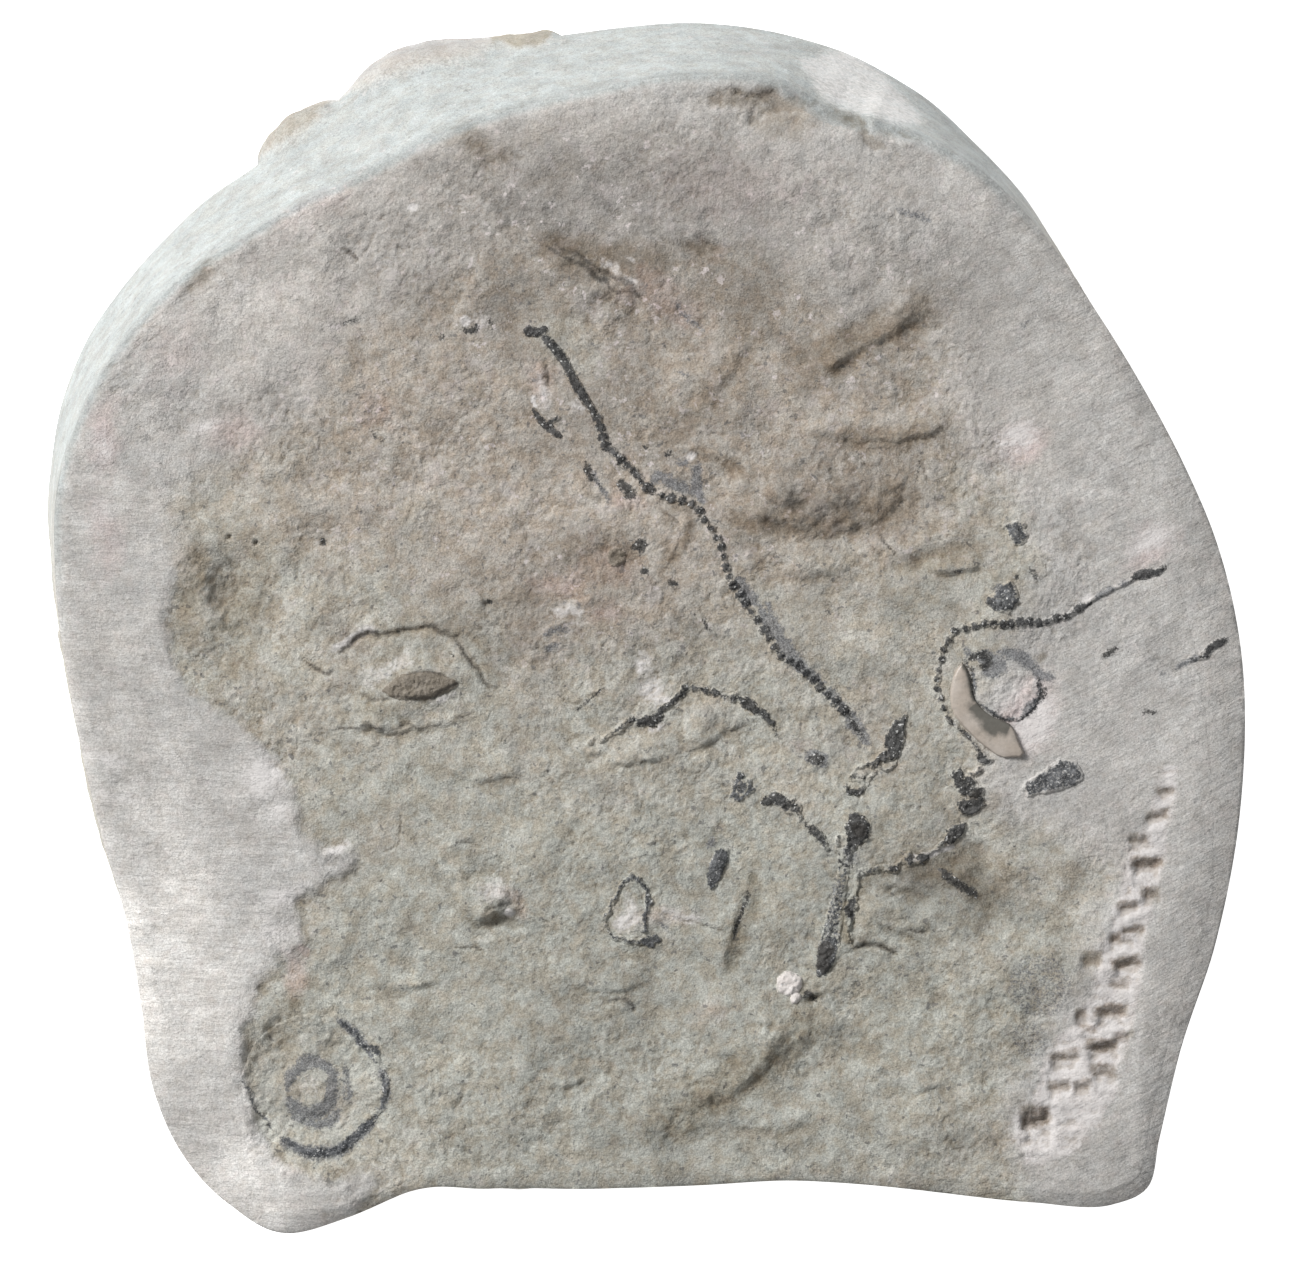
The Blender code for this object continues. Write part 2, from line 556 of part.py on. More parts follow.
def oval_stone(name, centre, halves, turn, stand, grow, ground):
    """A lens-shaped plate part sunk in the stone: a flattened ball."""
    bm = bmesh.new()
    bmesh.ops.create_uvsphere(bm, u_segments=ROUND_SIDES, v_segments=ROUND_RINGS, radius=MM)
    mesh = bpy.data.meshes.new(name)
    bm.to_mesh(mesh)
    bm.free()
    half_thick = max(stand, PLATE_HALF_THICK)
    reach = (halves[0] + grow, halves[1] + grow, half_thick + grow)
    mesh.transform(Matrix.Diagonal((*reach, 1.0)))
    made = bpy.data.objects.new(name, mesh)
    made.location = Vector((*centre, ground.height(*centre) + stand - half_thick)) * MM
    made.rotation_euler.z = math.radians(turn)
    return made


def shard_object(name, grow, top, ground):
    """The curved sliver of shell: a flat crescent of even thickness."""
    stations = smooth_route(SHARD_LINE, 0.9)
    line, half = stations[:, :2], stations[:, 2] + grow
    ahead = np.gradient(line, axis=0)
    ahead /= np.linalg.norm(ahead, axis=1)[:, None]
    across = np.stack([-ahead[:, 1], ahead[:, 0]], axis=1)
    line[0] -= ahead[0] * grow
    line[-1] += ahead[-1] * grow
    outline = [*(line + across * half[:, None]), *(line - across * half[:, None])[::-1]]
    drawn = poly_curve(name + "_outline", outline, True)
    drawn.data.dimensions = "2D"
    drawn.data.fill_mode = "BOTH"
    thickness = top + SHARD_ROOT + grow
    drawn.data.extrude = thickness / 2.0 * MM
    made = solid_from(name, drawn)
    made.location.z = (ground.height(*SHARD_LINE[3][:2]) + top - thickness / 2.0) * MM
    return made


def cut(body, cutter, name):
    """Takes the cutter out of the body."""
    boolean = body.modifiers.new(name, "BOOLEAN")
    boolean.operation = "DIFFERENCE"
    boolean.solver = "EXACT"
    boolean.object = cutter


def finish(made, finish_material, sharp=40):
    """Gives a part its finish, and soft shading up to the angle where its edges stay sharp."""
    made.data.materials.clear()
    made.data.materials.append(finish_material)
    made.data.shade_smooth()
    made.data.set_sharp_from_angle(angle=math.radians(sharp))


def main():
    """Builds the slab, then every fossil with its bed cut in the slab."""
    for old in list(bpy.data.objects):
        bpy.data.objects.remove(old)
    model = bpy.data.collections.new("crinoid_fossil")
    tools = bpy.data.collections.new("bed_cutters")
    for collection in (model, tools):
        bpy.context.scene.collection.children.link(collection)

    slab = bpy.data.objects.new("matrix_slab", slab_mesh())
    model.objects.link(slab)
    finish(slab, material("mudstone", STONE, 0.92), 35)
    ground = Ground(slab)

    dark = material("dark_calcite", DARK_CALCITE, 0.55)
    grey = material("grey_calcite", GREY_CALCITE, 0.6)
    brown = material("brown_calcite", BROWN_CALCITE, 0.6)
    pale = material("pale_calcite", PALE_CALCITE, 0.6)
    shell = material("shell", SHELL, 0.35)

    pieces = [
        (beaded_arm("long_arm", LONG_ARM, 0.36, ground), dark),
        (beaded_arm("left_arm", LEFT_ARM, 0.34, ground), dark),
        (beaded_arm("lower_arm", LOWER_ARM, 0.36, ground), dark),
        (beaded_arm("right_arm", RIGHT_ARM, 0.28, ground), dark),
        (stout_piece("right_arm_root", RIGHT_ARM_ROOT, ground), dark),
        (stout_piece("stem", STEM, ground), grey),
        (stout_piece("cup", CUP, ground), dark),
        (stout_piece("cup_plates", CUP_PLATES, ground), dark),
        (stout_piece("side_plate", SIDE_PLATE, ground), dark),
        (stout_piece("arm_fragment_left", V_FRAGMENT, ground), dark),
        (stout_piece("arm_fragment_rim", RIM_FRAGMENT, ground), dark),
        (stem_disc("stem_disc_large", LARGE_DISC, LARGE_DISC_AT, ground), grey),
        (stem_disc("stem_disc_small", SMALL_DISC, SMALL_DISC_AT, ground), grey),
    ]
    finishes = {"lens_shell": brown, "pale_grain": pale, "round_grain": brown}
    for name, centre, halves, turn, stand in LOOSE_PLATES:
        stone = oval_stone(name, centre, halves, turn, stand, 0.0, ground)
        bed = oval_stone(name + "_bed", centre, halves, turn, stand, GAP, ground)
        pieces.append(((stone, bed), finishes.get(name, grey)))
    pieces.append((ring_piece("teardrop_shell", TEARDROP_LINE, TEARDROP_RADIUS, ground), grey))
    shard = shard_object("shell_shard", 0.0, SHARD_STAND, ground)
    pieces.append(((shard, shard_object("shell_shard_bed", GAP, 2.0, ground)), shell))

    for (fossil, bed), coat in pieces:
        model.objects.link(fossil)
        tools.objects.link(bed)
        bed.hide_render = True
        bed.display_type = "WIRE"
        finish(fossil, coat)
        cut(slab, bed, fossil.name + "_bed")

    corners = np.array([v.co[:2] for v in slab.data.vertices])
    middle = (corners.min(axis=0) + corners.max(axis=0)) / 2.0
    for made in [*model.objects, *tools.objects]:
        made.location -= Vector((*middle, 0.0))


main()
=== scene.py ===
"""Looks of a crinoid fossil bedded in a trimmed slab of pale mudstone.

Every place on the slab's face is given on its plan, in millimetres, with +x to the right, +y to
the arched end and the working centre in the middle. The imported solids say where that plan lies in
the part's frame. The slab is one dense mesh whose relief and markings follow the same named lines
and ovals. Each fossil is its own finer patch of calcite or shell that lies in that relief and
carries the same markings, so that stone and fossil meet in a ragged edge.
"""

import logging
import math
from dataclasses import dataclass, replace
from enum import Enum

import bpy
import numpy as np
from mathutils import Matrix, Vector


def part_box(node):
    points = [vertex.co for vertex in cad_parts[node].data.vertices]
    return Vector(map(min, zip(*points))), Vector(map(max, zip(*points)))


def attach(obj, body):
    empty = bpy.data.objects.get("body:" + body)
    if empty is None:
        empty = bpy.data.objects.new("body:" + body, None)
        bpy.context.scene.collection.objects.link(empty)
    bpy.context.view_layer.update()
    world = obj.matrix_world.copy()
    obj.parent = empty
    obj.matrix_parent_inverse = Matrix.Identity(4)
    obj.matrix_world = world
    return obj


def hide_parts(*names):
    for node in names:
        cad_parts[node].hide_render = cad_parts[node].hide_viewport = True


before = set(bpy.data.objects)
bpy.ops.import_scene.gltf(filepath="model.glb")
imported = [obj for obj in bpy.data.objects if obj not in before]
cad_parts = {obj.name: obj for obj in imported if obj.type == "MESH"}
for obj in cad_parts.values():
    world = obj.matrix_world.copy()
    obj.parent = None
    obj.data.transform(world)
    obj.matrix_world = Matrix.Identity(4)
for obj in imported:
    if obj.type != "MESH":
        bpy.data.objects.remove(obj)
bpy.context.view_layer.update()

log = logging.getLogger("crinoid_fossil")

MM = 0.001
Point = tuple[float, float]
Colour = tuple[float, float, float]
Array = np.ndarray


class Slot(Enum):
    """Material slots of the record."""

    MUDSTONE = "mudstone"
    DARK_CALCITE = "dark_calcite"
    GREY_CALCITE = "grey_calcite"
    BROWN_CALCITE = "brown_calcite"
    PALE_CALCITE = "pale_calcite"
    SHELL = "shell"


class Mark(Enum):
    """Kinds of marking that the stone carries, each stored on its mesh as one value a point."""

    NATURAL = "natural"
    FILED = "filed"
    # Cracks and the blackest calcite, with painted shade on the faces of the tool's cuts
    CRACK_AND_SHADE = "crack"
    # Brown stains, with painted shade on the cuts' faces and on the shell sliver
    STAIN_AND_SHADE = "stain"
    FILM = "film"
    GREY = "grey"
    PALE = "pale"
    PINK = "pink"
    TONE = "tone"
    WARM = "warm"
    GROUND_SIDE = "ground_side"
    FOOT = "foot"
    # How far a place lies below the ground round it, used to paint shade into hollows
    CAVITY = "cavity"
    ACROSS = "across"
    ALONG = "along"


# --- Plan geometry: lines, ovals, outlines and smooth noise ---


def smooth(low: float, high: float, value: Array) -> Array:
    """An S-shaped step.

    Args:
        low: Value where the step leaves 0.
        high: Value where it reaches 1.
        value: Where it is read.

    Returns:
        0 below low, 1 above high and a smooth rise between.
    """
    t = np.clip((value - low) / (high - low), 0.0, 1.0)
    return t * t * (3.0 - 2.0 * t)


def smooth_route(points: tuple, step: float) -> Array:
    """Points a step apart along a smooth curve through the given ones.

    Args:
        points: Rows of numbers, the first two of them the place on the plan.
        step: Spacing wanted along the curve, in millimetres.

    Returns:
        An array with one row per point and as many columns as the rows given.
    """
    rows = [np.array(p, float) for p in points]
    padded = [2 * rows[0] - rows[1], *rows, 2 * rows[-1] - rows[-2]]
    fine = []
    for a, b, c, d in zip(padded, padded[1:], padded[2:], padded[3:]):
        for t in np.linspace(0.0, 1.0, 10, endpoint=False):
            square = (2 * a - 5 * b + 4 * c - d) * t * t
            cube = (3 * b - a - 3 * c + d) * t**3
            fine.append(0.5 * (2 * b + (c - a) * t + square + cube))
    fine = np.array([*fine, rows[-1]])
    runs = np.linalg.norm(np.diff(fine[:, :2], axis=0), axis=1)
    along = np.concatenate([[0.0], np.cumsum(runs)])
    count = max(2, round(along[-1] / step) + 1)
    at = np.linspace(0.0, along[-1], count)
    return np.stack([np.interp(at, along, column) for column in fine.T], axis=1)


@dataclass(frozen=True)
class Line:
    """A line on the plan, drawn smoothly through a few points.

    Attributes:
        points: Places it passes, in millimetres.
        width: Half-width of what follows it.
        strength: How strong that is, or how high or deep.
        run: How far a ledge's back slope runs, where the line is a ledge.
    """

    points: tuple[Point, ...]
    width: float = 0.3
    strength: float = 1.0
    run: float = 3.0

    def near(self, x: Array, y: Array, reach: float) -> tuple[Array, Array, Array, Array]:
        """Finds the points near the line.

        Args:
            x, y: Places on the plan.
            reach: How far from the line still counts.

        Returns:
            Indices of the near points, their distance, their side of the line (positive on its
            left) and the share of the line's length where each is nearest.
        """
        route = smooth_route(self.points, 0.5)
        low, high = route.min(axis=0) - reach, route.max(axis=0) + reach
        box = (x >= low[0]) & (x <= high[0]) & (y >= low[1]) & (y <= high[1])
        index = np.flatnonzero(box)
        px, py = x[index], y[index]
        best = np.full(len(index), np.inf)
        side = np.ones(len(index))
        share = np.zeros(len(index))
        for number, (start, end) in enumerate(zip(route, route[1:])):
            dx, dy = end - start
            span = dx * dx + dy * dy
            along = np.clip(((px - start[0]) * dx + (py - start[1]) * dy) / span, 0.0, 1.0)
            gap = np.hypot(px - start[0] - along * dx, py - start[1] - along * dy)
            closer = gap < best
            turn = dx * (py - start[1]) - dy * (px - start[0])
            best = np.where(closer, gap, best)
            side = np.where(closer, np.where(turn >= 0.0, 1.0, -1.0), side)
            share = np.where(closer, (number + along) / (len(route) - 1), share)
        kept = best < reach
        return index[kept], best[kept], side[kept], share[kept]


@dataclass(frozen=True)
class Oval:
    """An oval on the plan.

    Attributes:
        centre: Its middle, in millimetres.
        halves: Half its length and half its width.
        turn: Degrees its length is turned from +x.
        strength: How strong, high or deep what fills it is.
        flat: Share of it that is level before its edge falls away.
    """

    centre: Point
    halves: Point
    turn: float = 0.0
    strength: float = 1.0
    flat: float = 0.0

    def reach(self, x: Array, y: Array) -> tuple[Array, Array]:
        """Places along and across the oval, as shares of its halves."""
        a = math.radians(self.turn)
        dx, dy = x - self.centre[0], y - self.centre[1]
        along = (dx * math.cos(a) + dy * math.sin(a)) / self.halves[0]
        across = (dy * math.cos(a) - dx * math.sin(a)) / self.halves[1]
        return along, across

    def share(self, x: Array, y: Array) -> Array:
        """Fullness at each place: 1 in the middle and 0 from the edge outwards."""
        return smooth(0.0, 1.0 - self.flat, 1.0 - np.hypot(*self.reach(x, y)))

    def inside(self, x: Array, y: Array) -> Array:
        """Rough distance in from the edge, in millimetres, negative outside."""
        return (1.0 - np.hypot(*self.reach(x, y))) * min(self.halves)


class Noise:
    """Smooth seeded noise on the plan."""

    SIDE = 128

    def __init__(self, seed: int) -> None:
        """Draws the lattice that the noise is read from."""
        self.table = np.random.default_rng(seed).uniform(-1.0, 1.0, (self.SIDE, self.SIDE))

    def at(self, x: Array, y: Array, size: float, turn: float = 0.0) -> Array:
        """One layer of noise.

        Args:
            x, y: Places on the plan.
            size: Size of its lumps in millimetres.
            turn: Degrees its lattice is turned.

        Returns:
            Values from -1 to 1.
        """
        a = math.radians(turn)
        u = (x * math.cos(a) + y * math.sin(a)) / size + 11.3
        v = (y * math.cos(a) - x * math.sin(a)) / size + 5.7
        i, j = np.floor(u).astype(int), np.floor(v).astype(int)
        fu, fv = smooth(0.0, 1.0, u - i), smooth(0.0, 1.0, v - j)
        i0, j0 = i % self.SIDE, j % self.SIDE
        i1, j1 = (i + 1) % self.SIDE, (j + 1) % self.SIDE
        low = self.table[i0, j0] * (1 - fu) + self.table[i1, j0] * fu
        high = self.table[i0, j1] * (1 - fu) + self.table[i1, j1] * fu
        return low * (1 - fv) + high * fv

    def layered(self, x: Array, y: Array, size: float, layers: int) -> Array:
        """Several layers, each half the size and half the height of the last."""
        total = np.zeros(x.shape)
        for layer in range(layers):
            total += self.at(x, y, size / 2.03**layer, 31.0 + 37.0 * layer) * 0.55**layer
        return total


@dataclass(frozen=True)
class Outline:
    """A closed outline on the plan."""

    points: tuple[Point, ...]
    strength: float = 1.0
    bank: float = 1.0

    def inside(self, x: Array, y: Array) -> Array:
        """Distance to the outline, positive inside it and negative outside."""
        route = smooth_route(self.points + self.points[:1], 0.6)
        best = np.full(x.shape, np.inf)
        odd = np.zeros(x.shape, bool)
        for (ax, ay), (bx, by) in zip(route, route[1:]):
            dx, dy = bx - ax, by - ay
            along = np.clip(((x - ax) * dx + (y - ay) * dy) / (dx * dx + dy * dy), 0.0, 1.0)
            best = np.minimum(best, np.hypot(x - ax - along * dx, y - ay - along * dy))
            if ay != by:
                odd ^= ((ay > y) != (by > y)) & (x < dx * (y - ay) / dy + ax)
        return np.where(odd, best, -best)

    def share(self, x: Array, y: Array) -> Array:
        """Fullness: 1 from its bank's width inside the outline and 0 outside it."""
        low = np.array(self.points).min(axis=0) - 1.0
        high = np.array(self.points).max(axis=0) + 1.0
        box = (x >= low[0]) & (x <= high[0]) & (y >= low[1]) & (y <= high[1])
        total = np.zeros(x.shape)
        total[box] = smooth(-0.3 * self.bank, self.bank, self.inside(x[box], y[box]))
        return total


def pairs(*numbers: float) -> tuple[Point, ...]:
    """Points from the x and y of each in turn."""
    return tuple(zip(numbers[::2], numbers[1::2]))


def lines(*rows: tuple[float, ...], sizes: int = 2) -> tuple[Line, ...]:
    """Lines from rows of width, strength, for ledges their run, and then the points' x and y."""
    return tuple(Line(pairs(*row[sizes:]), *row[:sizes]) for row in rows)


def ovals(*rows: tuple[float, ...]) -> tuple[Oval, ...]:
    """Ovals from rows of the middle's x and y, the two halves, turn, strength and flat."""
    return tuple(Oval(row[:2], row[2:4], *row[4:]) for row in rows)


# --- The slab's rim and relief ---


@dataclass(frozen=True)
class RimStation:
    """The slab's edge at one bearing.

    Attributes:
        bearing: Degrees anticlockwise from +x.
        radius: Distance of the face's edge from the working centre.
        width: Width of the worn edge, in from the face's edge.
        drop: Drop of the worn edge.
        flare: How far the foot of the side stands out beyond the face's edge.
    """

    bearing: float
    radius: float
    width: float
    drop: float
    flare: float


RIM_STATIONS = tuple(RimStation(*row) for row in (
    (0, 42.3, 3.2, 0.6, 0.4), (9, 41.2, 2.7, 0.55, 0.4), (17, 40.2, 2.2, 0.5, 0.5),
    (26, 39.5, 1.5, 0.6, 0.5), (36, 39.4, 1, 0.4, 0.7), (47, 40.2, 1, 0.5, 1.6), (56, 40.6, 1, 0.5, 2.4),
    (64, 40.1, 1.4, 0.7, 4.1), (70, 39.5, 2, 1.1, 5.3), (77, 40.3, 1, 0.5, 4.5),
    (86, 39.7, 0.8, 0.4, 4.9), (97, 38.7, 0.8, 0.4, 5.3), (106, 38.4, 0.8, 0.4, 5.8),
    (114, 38.3, 0.8, 0.4, 6.8), (122, 38.3, 0.8, 0.4, 6.3), (130, 39.4, 0.8, 0.4, 5.2),
    (137, 40.4, 0.8, 0.4, 4.8), (143, 41.7, 0.8, 0.4, 4), (150, 42.6, 0.8, 0.4, 3.5),
    (158, 43.2, 0.8, 0.4, 2.7), (166, 43.3, 0.8, 0.4, 1.8), (175, 42.4, 0.9, 0.4, 1.3),
    (187, 41.4, 1, 0.4, 1), (200, 41.6, 1.2, 0.5, 1), (210, 42.8, 1.4, 0.6, 0.8),
    (217, 45.2, 1.6, 0.5, 0.6), (223, 48.2, 2, 0.5, 0.4), (229, 50.2, 2.4, 0.6, 0.2),
    (234, 50.8, 2.4, 0.7, 0), (239.5, 50.1, 2, 0.6, 0), (243, 47.2, 1.6, 0.5, 0.2),
    (247, 43.7, 1, 0.3, 0.4), (254, 41.6, 1, 0.3, 0.6), (264, 40.2, 1, 0.3, 0.4),
    (275, 39.9, 1, 0.3, 0.4), (286, 41, 1, 0.3, 0.4), (296, 44.6, 1.2, 0.35, 0.2),
    (304, 49.4, 1.4, 0.4, 0), (309, 52.9, 1.4, 0.5, 0), (312, 53.6, 1.6, 0.5, 0),
    (315, 51.8, 2.4, 0.6, 0.2), (321, 48.9, 3.4, 0.7, 0.4), (331, 46.5, 3.6, 0.7, 0.5),
    (343, 44.4, 3.6, 0.7, 0.5),
))


@dataclass(frozen=True)
class Rim:
    """The slab's outline all the way round."""

    stations: tuple[RimStation, ...] = RIM_STATIONS

    def read(self, bearing: Array, name: str) -> Array:
        """Reads one size round the rim.

        Args:
            bearing: Angles from +x, in radians.
            name: The size's name in RimStation.

        Returns:
            The size at each bearing, on a smooth closed curve through the stations.
        """
        degrees = np.degrees(bearing) % 360.0
        at = np.array([station.bearing for station in self.stations])
        values = np.array([getattr(station, name) for station in self.stations])
        at = np.concatenate([at[-2:] - 360.0, at, at[:3] + 360.0])
        values = np.concatenate([values[-2:], values, values[:3]])
        slope = np.gradient(values, at)
        i = np.clip(np.searchsorted(at, degrees, side="right") - 1, 0, len(at) - 2)
        span = at[i + 1] - at[i]
        t = (degrees - at[i]) / span
        start = (2 * t**3 - 3 * t**2 + 1) * values[i] + (t**3 - 2 * t**2 + t) * span * slope[i]
        end = (3 * t**2 - 2 * t**3) * values[i + 1] + (t**3 - t**2) * span * slope[i + 1]
        return start + end

    def inset(self, x: Array, y: Array) -> tuple[Array, Array]:
        """Distance in from the face's edge, and the drop of the worn edge there."""
        bearing = np.arctan2(y, x)
        inset = self.read(bearing, "radius") - np.hypot(x, y)
        worn = np.clip(1.0 - inset / self.read(bearing, "width"), 0.0, 1.0)
        return inset, self.read(bearing, "drop") * worn**1.6


# The natural parting; outside it the margin is filed
PARTING = Outline(pairs(
    -34.4, 8.2, -34.2, 2.1, -33, -4.3, -30.8, -5.9, -28.7, -6.5, -27, -8.6, -26.2, -11.5, -25.5, -14.5,
    -23.5, -15.5, -21.2, -16.2, -21.7, -17.3, -24.6, -18.5, -24.8, -19.7, -24.3, -21.1, -25.3, -22.5,
    -27.5, -22.9, -28.8, -26.5, -29.2, -30, -28.6, -33.6, -27.5, -35.8, -25.8, -37.9, -23.3, -39.7,
    -20.1, -40.4, -19.9, -45.2, 26.3, -45.2, 27.4, -37.9, 26.7, -34.3, 28.5, -30.8, 30.6, -26.5,
    32.8, -21.5, 33.8, -17.9, 33.7, -16.1, 31.3, -15, 27.4, -13.3, 26, -12.2, 25.3, -9.7, 24.6, -5,
    26.5, -0.8, 29, 3.9, 28.5, 7.1, 26.7, 10, 23.5, 13.5, 22.4, 16.4, 21.7, 21.4, 20.6, 24.3, 16.7, 22.5,
    12.4, 24.3, 8.1, 27.8, 3.8, 28.5, -0.5, 27.8, -6.2, 29.3, -11.9, 28.5, -17.6, 23.5, -22.6, 20.7,
    -24.8, 15.7, -29, 12.8, -32.6, 10.7
))

# Ledges: the ground on the line's left is higher and slopes back over the run.
LEDGES = lines(
    (0.35, 0.22, 4, -7.2, 28, -9, 28.6, -10.5, 27.8, -11.6, 27.1, -12, 25.7, -12.9, 23.7, -13.7, 22.1,
     -14.5, 20.8),
    (0.3, 0.5, 3.5, -0.5, 24.1, -1.8, 24.4, -2.5, 24.8, -3.3, 25.2, -3.9, 25.8, -4.8, 26.4, -5.8, 27,
     -7, 28),
    (0.8, 0.42, 4, 12, 18, 13.1, 19.1, 14.5, 20, 16.1, 20.8, 17.8, 21.7, 19.2, 22.7, 20.6, 23.7),
    (0.3, 0.22, 2.5, 1.8, 12.9, 3.1, 13, 4.2, 12.6, 5.4, 12.2, 6.7, 11.5, 8.5, 11.3),
    (0.4, 0.32, 3, 10.4, 13.9, 12, 14.1, 13.2, 13.8, 14.9, 13.8, 16.1, 13.7, 17.4, 13.5, 18.5, 13.7,
     20.2, 14.2, 23, 14.1),
    (1, 0.6, 4.5, 5.6, 9.3, 6.5, 8.9, 7.8, 8.4, 9.2, 8.2, 10.6, 8, 12.2, 7.7, 14, 7.7, 15.2, 7.9,
     16.2, 8.4, 17, 9.1, 17.8, 10.3, 18.2, 11.8),
    (0.35, 0.42, 2.6, -21.9, -7, -20.5, -7, -19.6, -6.8, -18.3, -7.2, -16.8, -6.6, -15.8, -7, -14, -6.5,
     -12.6, -6.1, -11.5, -5.9),
    (0.9, 0.42, 4, 1.6, -34.2, 4.7, -33.2, 6.2, -32.7, 7.4, -31.5, 8.5, -30.3, 9.5, -29.6, 11, -29.3,
     11.4, -28.2, 11.4, -27, 11.8, -26.1),
    (0.3, 0.4, 2, -12.4, -19.6, -11.6, -20.6, -10.5, -19.9, -9.6, -20.4, -8.8, -19.3),
    (0.6, 0.3, 2.6, 5.8, -24.8, 6.1, -23.2, 6.5, -21.5, 7, -20, 7.4, -18.6, 7.7, -17),
    (0.4, 0.32, 2, 2.1, -8, 3.2, -8.2, 4.9, -7.7, 6.3, -7, 7.2, -6.3),
    (0.3, -0.24, 2, -8.7, -1.5, -8.2, -0.6, -7.2, 0.1, -6.2, 0.5, -5.1, 0.5),
    (0.4, 0.35, 2.4, 21.2, -17.3, 21.9, -17.8, 22.6, -18.2, 23.2, -18.8, 23.8, -19.7),
    (0.25, -0.22, 2, -6, 1.2, -5.3, 2, -4.4, 2.1, -3.5, 2.1),
    (0.25, -0.3, 1.8, -3, -26.5, -2.5, -26.2, -1.8, -26.2, -1.2, -26.6, -1, -27.3),
    (1, 0.25, 4, -0.2, 15, 1.7, 15.5, 3.8, 16.4, 5.6, 18.5, 6.8, 20.3, 8.1, 21.2),
    (0.3, 0.2, 1.6, 1, 8.9, 1.8, 8.5, 2.5, 7.7, 2.3, 6.4, 1.8, 5.3, 1.2, 4.4),
    (0.3, 0.25, 2, 12.6, -24.9, 13.4, -23.6, 14.2, -22.8, 15.6, -22.4),
    (0.35, 0.28, 2.4, 14.8, -20.4, 16.6, -20.9, 18.8, -21.6, 20.4, -22.6),
    (0.35, 0.25, 2.2, 15.2, -17.6, 16.6, -18.2, 18.6, -18.4, 20.6, -18.9),
    (0.5, 0.34, 2.6, 18.6, 5.9, 20.4, 4.7, 22.2, 4.3, 24.2, 4.9),
    (0.5, 0.26, 2.6, 9, 4.6, 11, 4, 13, 4.2, 15, 3.5), (0.5, 0.28, 2.4, 4.4, -34.9, 8, -35.6, 12, -35),
    (0.4, 0.24, 2.4, -15, -9.5, -12, -10.6, -8.5, -10.2),
    (0.4, 0.24, 2.2, -21, -25, -17.5, -25.6, -14.5, -24.8),
    (0.35, 0.22, 2, -6.5, -24.6, -3, -25.6, 0.6, -24.9),
    (0.4, 0.28, 2.4, -10, -31, -6.5, -32.4, -3.5, -31.6),
    (0.4, 0.28, 2.4, 15.5, -31, 18.5, -32.6, 22, -32), (0.3, 0.22, 2, 9, -9, 10.8, -10.2, 12.6, -10),
    (0.3, 0.24, 2, -3.5, -8.9, -1.2, -9.4, 1.4, -9), (0.3, 0.26, 1.8, -5.6, -8, -4, -8.6, -2, -8.2),
    (0.35, 0.35, 2, 21, 33.5, 16, 36.4, 12, 37.8, 9.5, 39.4),
    (0.3, 0.3, 1.8, 11.2, 36.8, 9, 37.2, 7.4, 38, 5, 38.6),
    sizes=3,
)

# Swells (positive) and dips of the face
SWELLS = ovals(
    (-16.8, -3.7, 7, 3.7, 6, 0.62, 0.2), (-4.5, 24, 6, 3, -32, 0.25), (12.4, 10.7, 6.2, 2.8, 0, 0.4),
    (4.3, -6.4, 3.2, 1.5, 14, 0.38), (-28.6, 2.6, 3.2, 6.6, 8, -0.62, 0.1),
    (-30.2, 1.2, 2.2, 7, 4, -0.34), (-24, 6.6, 5, 1.4, -8, -0.22),
    (-23.8, -32.4, 6.6, 6.2, 0, -0.42, 0.3), (-25.8, -29, 2.6, 3.4, -20, -0.42),
    (6.2, -28.5, 6.5, 3.6, 25, 0.25), (17.2, -21, 3.2, 3.6, 0, 0.4), (21.6, -20.6, 2.8, 2.2, -20, 0.4),
    (23.4, -17, 3.6, 2.2, -20, -0.45), (-11.6, -19, 2.6, 1.7, 30, 0.55, 0.3),
    (-10.6, -20.6, 2.2, 0.8, 10, -0.3), (-7, -28.5, 7, 4, 30, 0.25), (18.5, 3.2, 5.4, 2.6, 20, 0.25),
    (20.8, 5.6, 4.2, 1.6, 15, -0.35), (-32, 25.2, 2.6, 1.4, 40, -0.35),
    (-12.2, 34.2, 3.6, 1.8, -20, -0.28), (8.5, 37.4, 5, 1.4, -12, -0.5, 0.2),
    (14.6, 35.6, 3.6, 1, -25, -0.4, 0.2), (15.4, 38.8, 3.6, 2.6, -25, -0.75), (-2, 5, 3.6, 2.4, 0, -0.25),
    (15, -29, 5, 4, 15, -0.35), (20, -35.5, 5, 3, 0, 0.25), (-14, -30, 5, 6, 0, -0.2),
    (25, -25, 4, 5, -20, 0.2), (2.5, -37, 7, 2.6, 0, -0.25), (4, 27.6, 3.4, 1.4, -20, -0.3),
    (-19.5, 14.5, 2, 4, 30, -0.18),
)

# Grooves and hair lines that are cut into the ground
GROOVES = lines(
    (0.35, 0.2, 7.7, -17, 7.4, -18.6, 7, -20, 6.5, -21.5, 6.1, -23.2, 5.6, -24.8),
    (0.2, 0.25, -21.9, -1.8, -20.8, -0.8, -20, -0.3, -19.2, -0.5, -17.6, -0.2, -15.5, 0, -13.7, -0.5,
     -12.6, -1.9, -11.8, -3.2, -11.2, -4.3, -10.6, -4.5),
    (0.15, 0.2, 15, -22.6, 15.6, -22.4, 16.5, -22.6, 17.2, -22.8, 17.9, -23.2),
    (0.25, 0.2, 14.5, -19.5, 14.8, -20.8, 14.8, -21.8, 14.8, -22.6),
    (0.25, 0.2, -7, 28, -5.8, 27, -3.9, 25.8, -2.5, 24.8, -0.5, 24.1),
)

